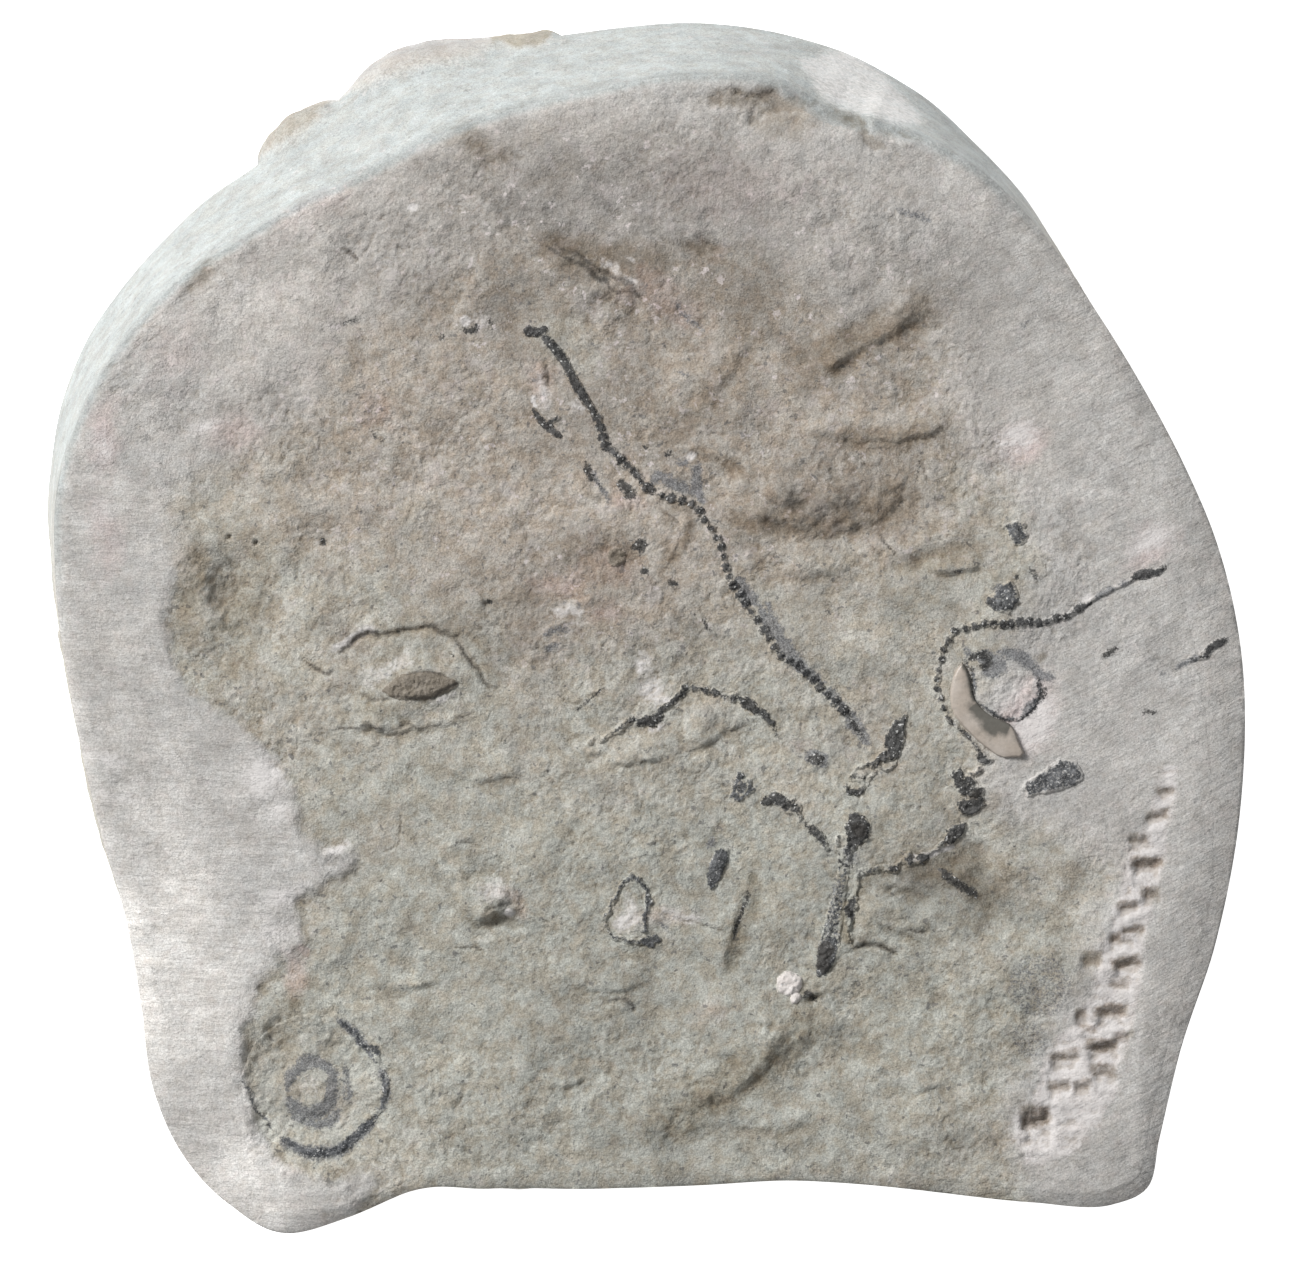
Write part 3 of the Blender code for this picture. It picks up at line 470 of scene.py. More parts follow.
# Cuts of a flat tool down the right-hand bank: each drops steeply and runs back up
GOUGES = ovals(
    (36.5, -13.2, 1.03, 0.48, 5, 0.25), (35.7, -16.6, 1.31, 0.58, 5, 0.43),
    (34.8, -21.4, 1.03, 0.48, 5, 0.29), (33.5, -21.9, 0.53, 0.55, 5, 0.33),
    (34.3, -22.2, 0.6, 0.37, 5, 0.19), (34.3, -23.8, 1.24, 0.62, 5, 0.46),
    (31.8, -23.4, 0.89, 0.62, 5, 0.28), (33.2, -27.3, 1.39, 0.62, 5, 0.46),
    (31.1, -27.4, 0.53, 0.55, 5, 0.29), (32.6, -29.7, 1.39, 0.62, 5, 0.46),
    (34, -29, 0.81, 0.41, 5, 0.21), (29.9, -30.5, 1.31, 0.55, 5, 0.29), (32.6, -31.5, 1.1, 0.62, 5, 0.3),
    (27.8, -34.8, 1.31, 1.05, 5, 0.59), (36, -18.8, 0.81, 0.48, 5, 0.27),
    (33.8, -25.2, 0.96, 0.44, 5, 0.23), (35.2, -14.9, 0.89, 0.44, 5, 0.23),
    (37.1, -11.5, 0.74, 0.44, 5, 0.22), (31.7, -28.6, 0.74, 0.41, 5, 0.21),
    (34.4, -19.7, 0.81, 0.44, 5, 0.24), (29.5, -32.5, 0.96, 0.48, 5, 0.24),
    (31.1, -32.5, 0.67, 0.48, 5, 0.25),
)

# Small sharp pits
PITS = ovals(
    (-23, 6.2, 0.4, 0.34, 0, 0.25, 0.3), (-27.9, 6.2, 0.3, 0.25, 0, 0.3, 0.3),
    (-29.8, 6.6, 0.3, 0.25, 0, 0.3, 0.3), (-11.4, 1.8, 0.4, 0.35, 0, 0.3, 0.3),
    (12, -26.4, 0.9, 0.42, 15, 0.45, 0.2),
)

# Where tools have left the face smooth
FILED_AREAS = (
    Outline(pairs(
        -50, 12, -36, 11, -33.6, 4, -32.4, -4, -27.6, -7, -26, -14, -22, -16.6, -24.8, -19, -28, -23,
        -30, -30, -28, -37, -22, -41, -26, -52, -50, -40
    ), 1, 0.8),
    Outline(pairs(
        22, 26, 24, 15, 28, 10, 31, 5, 29.6, 0, 26, -4, 25.6, -10, 27, -12.6, 34, -16, 34, -20, 28, -32,
        30, -46, 60, -46, 60, 30, 30, 40
    ), 0.85, 2.5),
    Outline(pairs(
        -26, 30, -14, 33, -4, 34, 4, 34.4, 10, 33, 18, 29, 24, 26, 30, 40, 0, 52, -30, 46
    ), 0.45, 3),
)

# The strip where the tool's cuts lie
CUT_STRIP = Outline(pairs(
    36.7, -9.9, 36.1, -12.2, 35.2, -14.3, 34.2, -16.1, 33.5, -19.3, 32.7, -21.5, 31.8, -24.7, 30.5, -27.9,
    28.5, -29.9, 27.8, -32.3, 27.2, -34, 25.7, -34.9, 26.1, -36.5, 27.4, -38.5, 29.5, -37.9, 31.3, -36.6,
    33.1, -34.5, 33.8, -32.2, 34.4, -29.3, 35.1, -26.5, 35.7, -23.6, 36.1, -21.1, 36.7, -18.6,
    37.2, -15.8, 37.8, -12.2, 38.1, -9.9
), 1, 0.7)


class Relief:
    """Heights of the slab's fossil face."""

    THICKNESS = 20.0
    PARTING_DEPTH = 0.16
    LEFT_DEPTH = 0.28
    SOFT_BANK = (-0.8, 2.6)
    CRISP_BANK = (-0.3, 0.8)
    RAGGED = 0.20
    STRAY = 0.75
    FLATTENED = 0.86
    WAVE, SMALL_WAVE = 0.26, 0.17
    LUMP, GRAIN, FLAKE = 0.115, 0.036, 0.13
    HAIR_LINE = 0.09
    STRIP_DROP, STRIP_ROUGH = 0.05, 0.09

    def __init__(self) -> None:
        """Draws the noises that roughen the face."""
        self.rim = Rim()
        self.broad = Noise(7)
        self.lumpy = Noise(8)
        self.flaky = Noise(9)
        self.fine = Noise(10)
        self.wander = Noise(11)

    def left(self, x: Array, y: Array) -> Array:
        """1 along the lower left, where the parting's edge is a crisp step."""
        return smooth(-14.0, -22.0, x) * smooth(7.0, 1.0, y)

    def warped(self, x: Array, y: Array) -> tuple[Array, Array]:
        """Places moved a little, so that what is drawn at them gets ragged edges."""
        wx = x + self.RAGGED * self.wander.layered(x, y, 1.2, 3)
        return wx, y + self.RAGGED * self.wander.layered(y, x, 1.4, 3)

    def strayed(self, x: Array, y: Array) -> tuple[Array, Array]:
        """Places moved further, for the borders of broad areas."""
        wx = x + self.STRAY * self.wander.layered(x, y, 3.4, 5)
        return wx, y + self.STRAY * self.wander.layered(y, x, 3.9, 5)

    def natural(self, x: Array, y: Array) -> Array:
        """1 on the natural parting and 0 on the margin outside it."""
        depth = PARTING.inside(*self.strayed(x, y))
        left = self.left(x, y)
        return smooth(*self.SOFT_BANK, depth) * (1.0 - left) + smooth(*self.CRISP_BANK, depth) * left

    def filed(self, x: Array, y: Array) -> Array:
        """How smooth the tools have left each place."""
        total = np.zeros(x.shape)
        wx, wy = self.strayed(x, y)
        for area in FILED_AREAS:
            total = np.maximum(total, area.strength * area.share(wx, wy))
        return total

    def ledges(self, x: Array, y: Array) -> Array:
        """Height that the ledges add."""
        total = np.zeros(x.shape)
        broken = 0.72 + 0.5 * self.lumpy.layered(x, y, 1.5, 2)
        for line in LEDGES:
            index, gap, side, share = line.near(x, y, line.run)
            signed = gap * side * math.copysign(1.0, line.strength)
            window = smooth(0.0, 0.22, share) * smooth(0.0, 0.22, 1.0 - share)
            riser = smooth(-line.width, 0.0, signed)
            back = smooth(0.0, 1.0, 1.0 - np.clip(signed, 0.0, None) / line.run)
            height = abs(line.strength) * window * riser * back * broken[index]
            total[index] = np.maximum(total[index], height)
        return total

    def flakes(self, x: Array, y: Array) -> Array:
        """Thin overlapping flakes, as small steps that follow the contours of a noise."""
        contour = 3.6 * self.flaky.layered(x, y, 5.0, 5) + 0.12 * x - 0.2 * y
        whole = np.floor(contour)
        patches = 0.35 + 0.65 * smooth(-0.3, 0.3, self.lumpy.at(x, y, 7.0, 70))
        small = 5.2 * self.fine.layered(x, y, 2.6, 4) + 0.3 * x + 0.1 * y
        step = np.floor(small)
        thin = step + smooth(0.0, 0.3, small - step) - small
        return patches * (whole + smooth(0.0, 0.14, contour - whole) - contour) + 0.42 * thin

    def height(self, x: Array, y: Array, natural: Array, filed: Array) -> Array:
        """Height of the face above the back, in millimetres, without the worn edge.

        Args:
            x, y: Places on the plan.
            natural: Their share of natural parting.
            filed: How smooth the tools have left them.

        Returns:
            Heights in millimetres.
        """
        wx, wy = self.warped(x, y)
        left = self.left(x, y)
        deep = self.PARTING_DEPTH * (1.0 - left) + self.LEFT_DEPTH * left
        rough = 1.0 - self.FLATTENED * filed
        z = self.THICKNESS - deep * natural
        waves = self.WAVE * self.broad.at(x, y, 9.0) + self.SMALL_WAVE * self.broad.at(x, y, 4.4, 40)
        z = z + rough * waves
        z = z + rough * self.LUMP * self.lumpy.layered(x, y, 2.6, 2)
        z = z + (0.25 + 0.75 * rough) * self.GRAIN * self.fine.layered(x, y, 0.9, 3)
        z = z + rough * self.FLAKE * self.flakes(x, y)
        z = z + self.ledges(wx, wy)
        far_x, far_y = self.strayed(x, y)
        for swell in SWELLS:
            z = z + swell.strength * swell.share(far_x, far_y)
        for crack in CRACK_LINES:
            index, gap, _, _ = crack.near(wx, wy, 0.6)
            depth = self.HAIR_LINE * crack.strength
            z[index] -= depth * np.exp(-((gap / (crack.width + 0.06)) ** 2))
        for groove in GROOVES:
            index, gap, _, share = groove.near(wx, wy, 3.0 * groove.width)
            window = smooth(0.0, 0.12, share) * smooth(0.0, 0.12, 1.0 - share)
            z[index] -= groove.strength * window * np.exp(-((gap / groove.width) ** 2))
        strip = CUT_STRIP.share(wx, wy)
        torn = self.STRIP_ROUGH * self.fine.layered(0.6 * x, 1.7 * y, 1.0, 3)
        z = z - strip * (self.STRIP_DROP + torn)
        for gouge in GOUGES:
            z = z - self.gouge_depth(gouge, x, y)
        for pit in PITS:
            z = z - pit.strength * pit.share(x, y)
        return z

    def cut_faces(self, x: Array, y: Array) -> Array:
        """1 on the steep, shaded face of each cut."""
        total = np.zeros(x.shape)
        for gouge in GOUGES:
            u, v = gouge.reach(x, y)
            face = smooth(1.1, 0.65, np.abs(u)) * smooth(1.0, 0.5, np.abs(v - 0.05))
            total = np.maximum(total, min(0.86, 1.6 * gouge.strength + 0.25) * face)
        return total

    def gouge_depth(self, gouge: Oval, x: Array, y: Array) -> Array:
        """One cut: a flat that falls from its top edge, then a run back up."""
        u, v = gouge.reach(x, y)
        u = u + 0.25 * self.fine.at(x, y, 0.7)
        down = 0.6 - v + 0.18 * self.wander.at(x, y, 0.6)
        fall = np.clip(down, 0.0, 1.0)
        rise = np.clip((3.0 - down) / 2.0, 0.0, 1.0)
        return gouge.strength * np.minimum(fall, rise) * smooth(1.0, 0.45, np.abs(u))


# --- Markings on the stone ---

CRACK_LINES = lines(
    (0.15, 0.85, -7.1, 27.3, -6.2, 26.8, -5.3, 26.2),
    (0.2, 0.85, -5.3, 26.2, -4.4, 25.8, -3.6, 25.2, -2.9, 24.8),
    (0.13, 0.85, -2.9, 24.8, -2.2, 24.2, -1.5, 24.2, -0.5, 23.8),
    (0.14, 1, -21.9, -1.6, -21, -0.8, -20.3, -0.3, -19.7, -0.1, -19.1, -0.5),
    (0.11, 0.8, -19, -0.2, -18.2, -0.3, -17.2, 0, -16.2, 0.1),
    (0.07, 1, -16.2, 0.2, -15.3, 0.1, -14.6, -0.3, -13.7, -0.5, -13.2, -0.3),
    (0.09, 1, -13.5, -0.8, -13.1, -1.5, -12.8, -2, -12.3, -2.6, -11.9, -2.8, -11.6, -3.6, -11.3, -4.2,
     -10.7, -4.2),
    # Dark lines along the raised lens's lower edge: painted shade of the lens
    (0.12, 0.8, -20.2, -4.5, -19.6, -4.8, -18.8, -4.8, -17.8, -4.8),
    (0.12, 0.85, -17.8, -4.8, -16.8, -5, -15.9, -4.9, -15, -4.6, -14.3, -4.2, -13.6, -3.8, -13, -3.8),
    (0.07, 1, -17, -3.1, -16.2, -3, -15.3, -3, -14.4, -3.2),
    # Dark lines at the foot of the ledge under the lens: partly a crack, partly painted shadow of the ledge
    (0.09, 1, -21.9, -7.2, -21, -7.1, -20, -6.8, -18.8, -7.1),
    (0.07, 1, -18.8, -7.1, -17.9, -7, -17.2, -6.5, -16.8, -6.6, -16.2, -7, -15.5, -7, -14.8, -6.7),
    (0.11, 0.9, -13.9, -6.4, -13.2, -6.1, -12.6, -6),
    (0.17, 0.8, -24.3, -2.2, -23.3, -2.8, -22.5, -3, -22.2, -2.8),
    (0.06, 1, 16.7, 6.8, 17.2, 6, 17.8, 5.2), (0.05, 1, 16.2, 5.8, 16.7, 5.2),
    (0.06, 0.9, 19.7, 11.8, 20, 10.5), (0.11, 1, -7.2, 19.1, -7.2, 18.2, -7, 17.4),
    (0.06, 0.9, -17.6, -13.2, -17.5, -14.3, -17.8, -15.4, -18.7, -15.9),
    (0.1, 1, 15, -22.6, 15.7, -22.4, 16.4, -22.6, 17.1, -22.8, 17.8, -23.1),
    (0.08, 1, 18.5, -21.5, 19.2, -21.5, 20, -21.8),
    (0.05, 0.7, 15.2, -20.5, 16.2, -20.3, 17.5, -20.5, 18.7, -20.8),
    (0.05, 0.9, 1, -20.5, 2.4, -20.6, 3.8, -21, 5.4, -21.5),
    (0.1, 1, -3, -26.5, -2.5, -26.2, -1.8, -26.2, -1.2, -26.7, -1, -27.3),
    (0.12, 0.9, -21.5, 27.2, -21.2, 26.8, -20.6, 26.3), (0.06, 0.9, 14.8, -13, 15.2, -12.5, 15.1, -12),
    (0.07, 0.8, -8.3, -0.8, -8.1, -1.6, -7.6, -1.3), (0.07, 0.6, -3.9, 11.5, -3.3, 11.4),
    (0.07, 0.8, -13.7, -15.2, -12.5, -15.2, -11.8, -15.5),
    (0.11, 0.9, -11.2, -20.2, -10.5, -19.7, -9.6, -19.5),
    (0.1, 0.8, -13.7, -22.8, -12.6, -22.5, -11.8, -22.8),
    (0.08, 0.45, 11.8, 14, 13.8, 13.8, 15.8, 13.7, 18.5, 13.8, 20.8, 14.1, 23.1, 14.1),
    (0.08, 0.45, 3.8, 13, 4.7, 12.7, 5.7, 12.2, 6.8, 11.5, 8.5, 11.4),
    (0.11, 0.7, 1.2, 8.7, 2.2, 7.8, 2.4, 6.8, 2.1, 5.5, 1.5, 4.8, 1.1, 4.2),
)

# Blackest calcite
BLACKS = lines(
    (0.62, 0.95, 12.7, -22.5, 12.6, -23.5, 12.8, -24.5),
    (0.34, 0.34, -6.4, 27.5, -4.4, 26.3, -2.6, 25.3, -0.6, 24.3),
) + ovals(
    (15.1, -14.3, 0.62, 0.7, 10, 0.75), (23.6, -11.9, 0.5, 0.4, 20, 0.75),
)

# Thin dark calcite that is only a stain on the stone
FILMS = lines(
    (0.29, 0.95, -11.9, 21.5, -12.6, 21.3, -13.2, 21.4), (0.18, 0.9, -11.2, 22, -10.9, 21.9),
    (0.18, 0.9, -14.8, 20.8, -14.3, 20.7), (0.21, 0.75, -21.6, 22, -21, 22, -20.6, 21.8),
    (0.14, 0.6, -21, 22.4, -19.9, 22.1), (0.11, 0.6, -24.8, 27.6, -23.5, 27.2, -22.6, 26.7),
    (0.29, 0.85, -4.5, 11.9, -4.1, 11.2, -3.8, 10.8), (0.21, 0.8, -3.5, 10.5, -3.2, 10.1),
    (0.32, 0.95, -1.8, 10.7, -1.4, 10, -1.1, 9.4), (0.21, 0.9, -0.2, 13.1, 0, 12.9),
    (0.18, 0.9, 1.5, 12.5, 1.8, 12.7), (0.36, 0.85, -0.9, 5.8, -0.3, 6.1, -0.4, 5.5),
    (0.29, 0.95, -0.2, 4.5, -0.1, 4.2), (0.43, 0.62, 1.5, 3.5, 2.1, 3.1),
    (0.29, 0.55, 4.2, 0.8, 4.6, -0.3), (0.16, 0.85, -5.1, -5.8, -4.4, -5.2, -3.6, -4.7, -3, -4.2),
    (0.21, 0.75, 8.8, -6.6, 9.1, -7.2, 9.2, -7.8), (0.5, 0.55, 11.5, -9.1, 12.2, -9.5, 12.5, -9.7),
    (0.36, 0.5, 14.2, -5.6, 14.5, -6.5, 15.4, -7.8),
    # The next line, by the ledge at the right arm's root: partly a dark mark, partly painted shadow of the
    # ledge
    (0.32, 1, 21, -17.2, 21.8, -18, 23, -18.6, 23.6, -19.2),
    (0.17, 1, 22.6, -2.2, 23.2, -3, 23.4, -4.5, 23.8, -5.2, 24.5, -5.8, 25.5, -6.3, 26.5, -6.6),
    (0.19, 1, 28.2, -3.7, 28.2, -4.5, 27.9, -5.3, 27.3, -6, 26.7, -6.5),
    (0.36, 0.78, 23, -2.2, 23.8, -1.8, 24.7, -2.2, 24.4, -2.8, 23.7, -2.8),
    (0.32, 0.8, 30.4, 1.4, 31.2, 1.7, 31.7, 1.9), (0.29, 0.85, 32.6, -2, 33.1, -1.5, 33.7, -1.3),
    (0.19, 0.9, 35.5, -5.8, 36.2, -6), (0.19, 0.9, 27.5, 4.5, 27.8, 4, 28, 3.5),
    (0.24, 0.9, 26.2, 3.8, 26.5, 4), (0.19, 0.8, 22.1, 4.2, 22.5, 4),
    (0.32, 0.55, 7.2, -18.6, 7.1, -19.7, 6.5, -21.1, 6.2, -22.2),
    (0.17, 0.8, -28.8, -32, -28.3, -33.6, -27.5, -34.7, -26.5, -35.8),
    (0.36, 0.72, -26.2, -36.2, -24.8, -37.2, -23, -37.5, -21.3, -36.8, -20.1, -35.6, -19.2, -34.5),
    (0.25, 0.72, -18.8, -31.5, -18.6, -32.9, -19, -34.2),
    (0.32, 0.62, -22.2, -28, -20.8, -29, -19.8, -30, -19.2, -30.8),
    (0.29, 0.85, 12.2, -26.6, 11.8, -26.2, 11.3, -25.9), (0.14, 0.6, -10, -35.3, -9.3, -35.5),
    (0.24, 1, -11.4, 1.9, -11.2, 1.7), (0.24, 0.85, -23.2, 6.3, -22.9, 6),
    (0.16, 0.8, -28, 6.3, -27.8, 6), (0.15, 0.75, -29.9, 6.7, -29.6, 6.5),
    (0.21, 0.6, -14.2, -1.8, -13.6, -2), (0.18, 0.5, 35, -1.5, 33.8, -1.2),
    (0.21, 0.6, 19.5, 12.1, 19.4, 11.4, 19.1, 10.8), (0.11, 0.75, -19.6, 14.1, -19, 13.5, -18.6, 13.8),
    (0.11, 0.65, -20.3, 15, -19.6, 14.1),
)

# Paler, blue-grey calcite films
GREYS = lines(
    (0.43, 0.85, 0.2, 10.5, 1.1, 11.1, 2.1, 10.4, 3.1, 9.8),
    (0.43, 0.95, 3.8, 12, 3.6, 11, 3.4, 10, 4, 9), (0.36, 0.7, 2.1, 12, 3.1, 12.1),
    (0.5, 0.8, 6.4, 3.7, 7, 2.7, 7.8, 1.7),
    (0.5, 0.9, 8.1, 1.5, 9, 0.2, 10, -1.2, 11.1, -2.5, 12.5, -3.8),
    (0.25, 0.9, 8.7, 2, 9.2, 0.8, 9.8, -0.3), (0.43, 0.7, 12.7, -4.3, 13.5, -5.2, 14.2, -5.9),
    (0.64, 0.62, 14.2, -6.2, 15, -7, 15.8, -8.2), (0.71, 0.62, 11.4, -8.8, 12.1, -9.3, 12.8, -9.8),
    (0.36, 0.55, -4, 11.5, -3.3, 10.3, -2.5, 9.1),
    (0.5, 0.35, 13.9, -17.9, 13.5, -19.3, 13.1, -21.1, 12.8, -22.2),
    (0.57, 0.35, 14.2, -15.5, 14.7, -16.5, 14.2, -17),
    (0.64, 0.9, 23.5, -1.8, 24.5, -2.2, 25.2, -2.8, 24.2, -3.2),
    (0.5, 0.85, 25.2, -1.6, 26.3, -1.8, 27.4, -2.5, 28.5, -3.3, 29, -3.6),
    (0.5, 0.6, 28.1, -5, 27.4, -5.6, 26.7, -6.2), (0.43, 0.6, 22.4, -1.5, 23.1, -1.8),
    (0.5, 0.8, 24.9, 3, 25.7, 3), (0.36, 0.75, 31.9, 2.1, 32.7, 2.7, 33.5, 3),
    (0.29, 0.8, 34, 3.2, 34.5, 3.6), (0.29, 0.8, 38, -2.8, 38.8, -2.2, 39.5, -2),
    (0.29, 0.5, 36.7, -2.9, 37.2, -3),
    (0.5, 0.85, -25.7, -32.8, -25.4, -31.8, -24.5, -31, -23.5, -30.9, -22.6, -31.6, -22.3, -32.9,
     -22.8, -34, -23.9, -34.5, -25, -34.3, -25.6, -33.6),
    (0.5, 0.6, -25.8, -33.9, -24.8, -34.9, -23.2, -35.2, -21.8, -34.3),
    (0.36, 0.5, -21.9, -30.8, -21.3, -32.2, -21.6, -33.6),
    (0.5, 0.9, -26.2, -36.3, -24.8, -37.2, -23, -37.5, -21.2, -36.9, -19.6, -35.3),
    (0.43, 0.8, -22.2, -27.9, -20.8, -29, -19.6, -30),
    (0.36, 0.8, -18.9, -31.2, -18.5, -32.9, -19, -34.5), (0.5, 0.5, 4.7, -14.9, 4.4, -15.5),
    (0.36, 0.45, 2, 23.5, 3.1, 22.2, 4.2, 21.4), (0.36, 0.45, 2.1, 18.4, 3.1, 18.1),
    (0.43, 0.5, -6.2, -0.8, -7.2, -1.5), (0.36, 0.5, -7.2, -0.4, -6.5, 0.1, -5.6, 0),
    (0.29, 0.3, 26.7, 21.4, 27.4, 22.1, 28.1, 22.4), (0.43, 0.4, 17.8, 30, 19.5, 29.6, 20.6, 29.1),
    (0.36, 0.3, 0.6, -21.1, 1.8, -21.6),
) + ovals(
    (28.1, -25.4, 2.57, 2.43, 0, 0.12), (27.4, -29.3, 1.43, 1.57, 0, 0.08),
)

STAINS = lines(
    (0.6, 0.45, -21.2, -0.6, -18, 0.3, -14.5, 0.1, -12.4, -1.2, -11, -3.8),
    (0.3, 0.8, 1, 8.9, 1.8, 8.5, 2.5, 7.7, 2.3, 6.4, 1.8, 5.3, 1.2, 4.4),
    (1.2, 0.85, 12, 18, 13.1, 19.1, 14.5, 20, 16.1, 20.8, 17.8, 21.7, 20.6, 23.7),
    (1.2, 0.8, 6.5, 8.6, 9.2, 7.9, 12.2, 7.4, 15.2, 7.6, 17, 8.9, 18, 10.6),
    (1.2, 0.5, 9, 9.6, 12, 9.4, 15, 9.6), (0.7, 0.8, 14, 13.4, 16.1, 13.3, 18.5, 13.3, 20.2, 13.9),
    (0.4, 0.6, 3.1, 13, 4.2, 12.6, 5.4, 12.2, 6.7, 11.5, 8.5, 11.3),
    (1.3, 0.5, -0.5, 15, 1.7, 15.5, 3.8, 16.4, 5.6, 18.5, 6.8, 20.3, 8.1, 21.2),
    (0.8, 0.9, -7.2, 28.4, -5.4, 27.2, -3.4, 26.4, -1.2, 26.6, 1, 26.2),
    (0.5, 0.8, 7.7, -17, 7, -20, 6.1, -23.2, 5.6, -24.8),
    (1.2, 0.75, 11, -27, 10.3, -28.6, 8.2, -31, 5.2, -33.4, 1, -35),
    (0.34, 1, 14.5, -19.5, 14.8, -20.8, 14.8, -21.8, 14.8, -22.6),
    # The last line here, by the right arm's root: partly brown stain, partly painted shadow of the ledge
    (0.4, 0.6, 16.1, -17, 15.7, -18, 15.4, -19.2), (1, 0.9, 20.8, -17, 22.6, -18, 24.2, -19.6),
    # The last line here, under the raised lens, is painted shadow
    (0.5, 0.5, 6.3, 7.4, 7.6, 5.4, 8.2, 4.2), (0.35, 0.5, -20.2, -5.2, -17.8, -5.4, -15, -5.2),
) + ovals(
    (-32.4, 2.6, 1.3, 6, 2, 1, 0.2), (-28.9, 1.2, 3.2, 3.4, 6, 0.85), (-28.6, 4.6, 3.6, 3, 0, 0.5),
    # The last oval here and the first on the next row, under the raised lens, are painted shadow
    (-27.8, 6.6, 5.6, 1, -6, 0.6), (-28.6, -2.8, 2.4, 3, 0, 0.65), (-19, -5.5, 1.8, 0.7, 6, 0.95, 0.2),
    (-15.6, -5.4, 3, 0.5, 6, 0.75), (-22.5, 1.6, 2.2, 5, -10, 0.35), (-12.2, 34.4, 3.8, 2.2, -15, 0.85),
    (-6.5, 33, 3.4, 1.6, 10, 0.45), (-8, 36, 3.4, 1.2, 12, 0.45), (-31.9, 25.4, 2.4, 1.6, 40, 0.8),
    (-15.5, 24.2, 4, 2.8, 20, 0.35), (7, 38, 3.4, 1.3, -8, 0.95, 0.2),
    (9.6, 36.4, 3.8, 1.6, -20, 0.85, 0.2), (14.2, 35.8, 3, 0.9, -24, 0.85, 0.2),
    (4, 27.2, 3.2, 1.6, -25, 0.85), (0, 27.6, 2.8, 1, 10, 0.6), (6, 22.6, 5, 4, 0, 0.35),
    (10, 17, 6, 4, 20, 0.35), (21.2, 5.2, 4.4, 2.1, 12, 0.85), (23.8, 5.4, 1.6, 1.4, 0, 0.8),
    (17, 4.6, 3, 1.8, 10, 0.5), (-3.2, 4.4, 5, 3.4, 5, 0.62, 0.2), (-8.5, 1.5, 4, 2.4, 0, 0.4),
    # These two ovals and the first on the next row: partly brown stain, partly painted shadow of the ledge
    (19.6, -17.2, 3.6, 1.9, -8, 0.9, 0.2), (23.6, -18.4, 3.2, 1.6, -14, 0.85),
    (25.2, -17.6, 2, 1.2, -10, 0.7), (20.8, -12.6, 1.4, 1.6, 0, 0.7), (25.5, -12, 0.9, 1.2, -20, 0.7),
    (5, -14.9, 0.9, 1.5, -20, 0.7), (26.8, 3.8, 1.2, 0.8, 0, 0.7), (28.5, -2.3, 0.55, 0.5, 0, 0.9, 0.2),
    (30.6, 6.6, 2.6, 1.6, 30, 0.45), (-22, 13.6, 1.6, 3.4, 20, 0.4), (-17.6, 15.4, 1, 4.4, 35, 0.4),
    (-11.3, -20.6, 2.2, 0.8, 15, 0.75), (-25.2, -25.8, 1.4, 2.8, -10, 0.75),
    (-26.2, -29, 1.9, 3.2, 10, 0.75), (-0.8, -22.6, 2.2, 0.7, 5, 0.85), (16.2, -29.6, 4, 2.6, 10, 0.4),
    (10, -3.2, 2.6, 0.6, -14, 0.3), (7.4, 5.6, 0.9, 0.7, -40, 0.7), (4, 1, 1, 2, 0, 0.25),
    (14.9, -10.6, 0.8, 0.7, 0, 0.7),
)

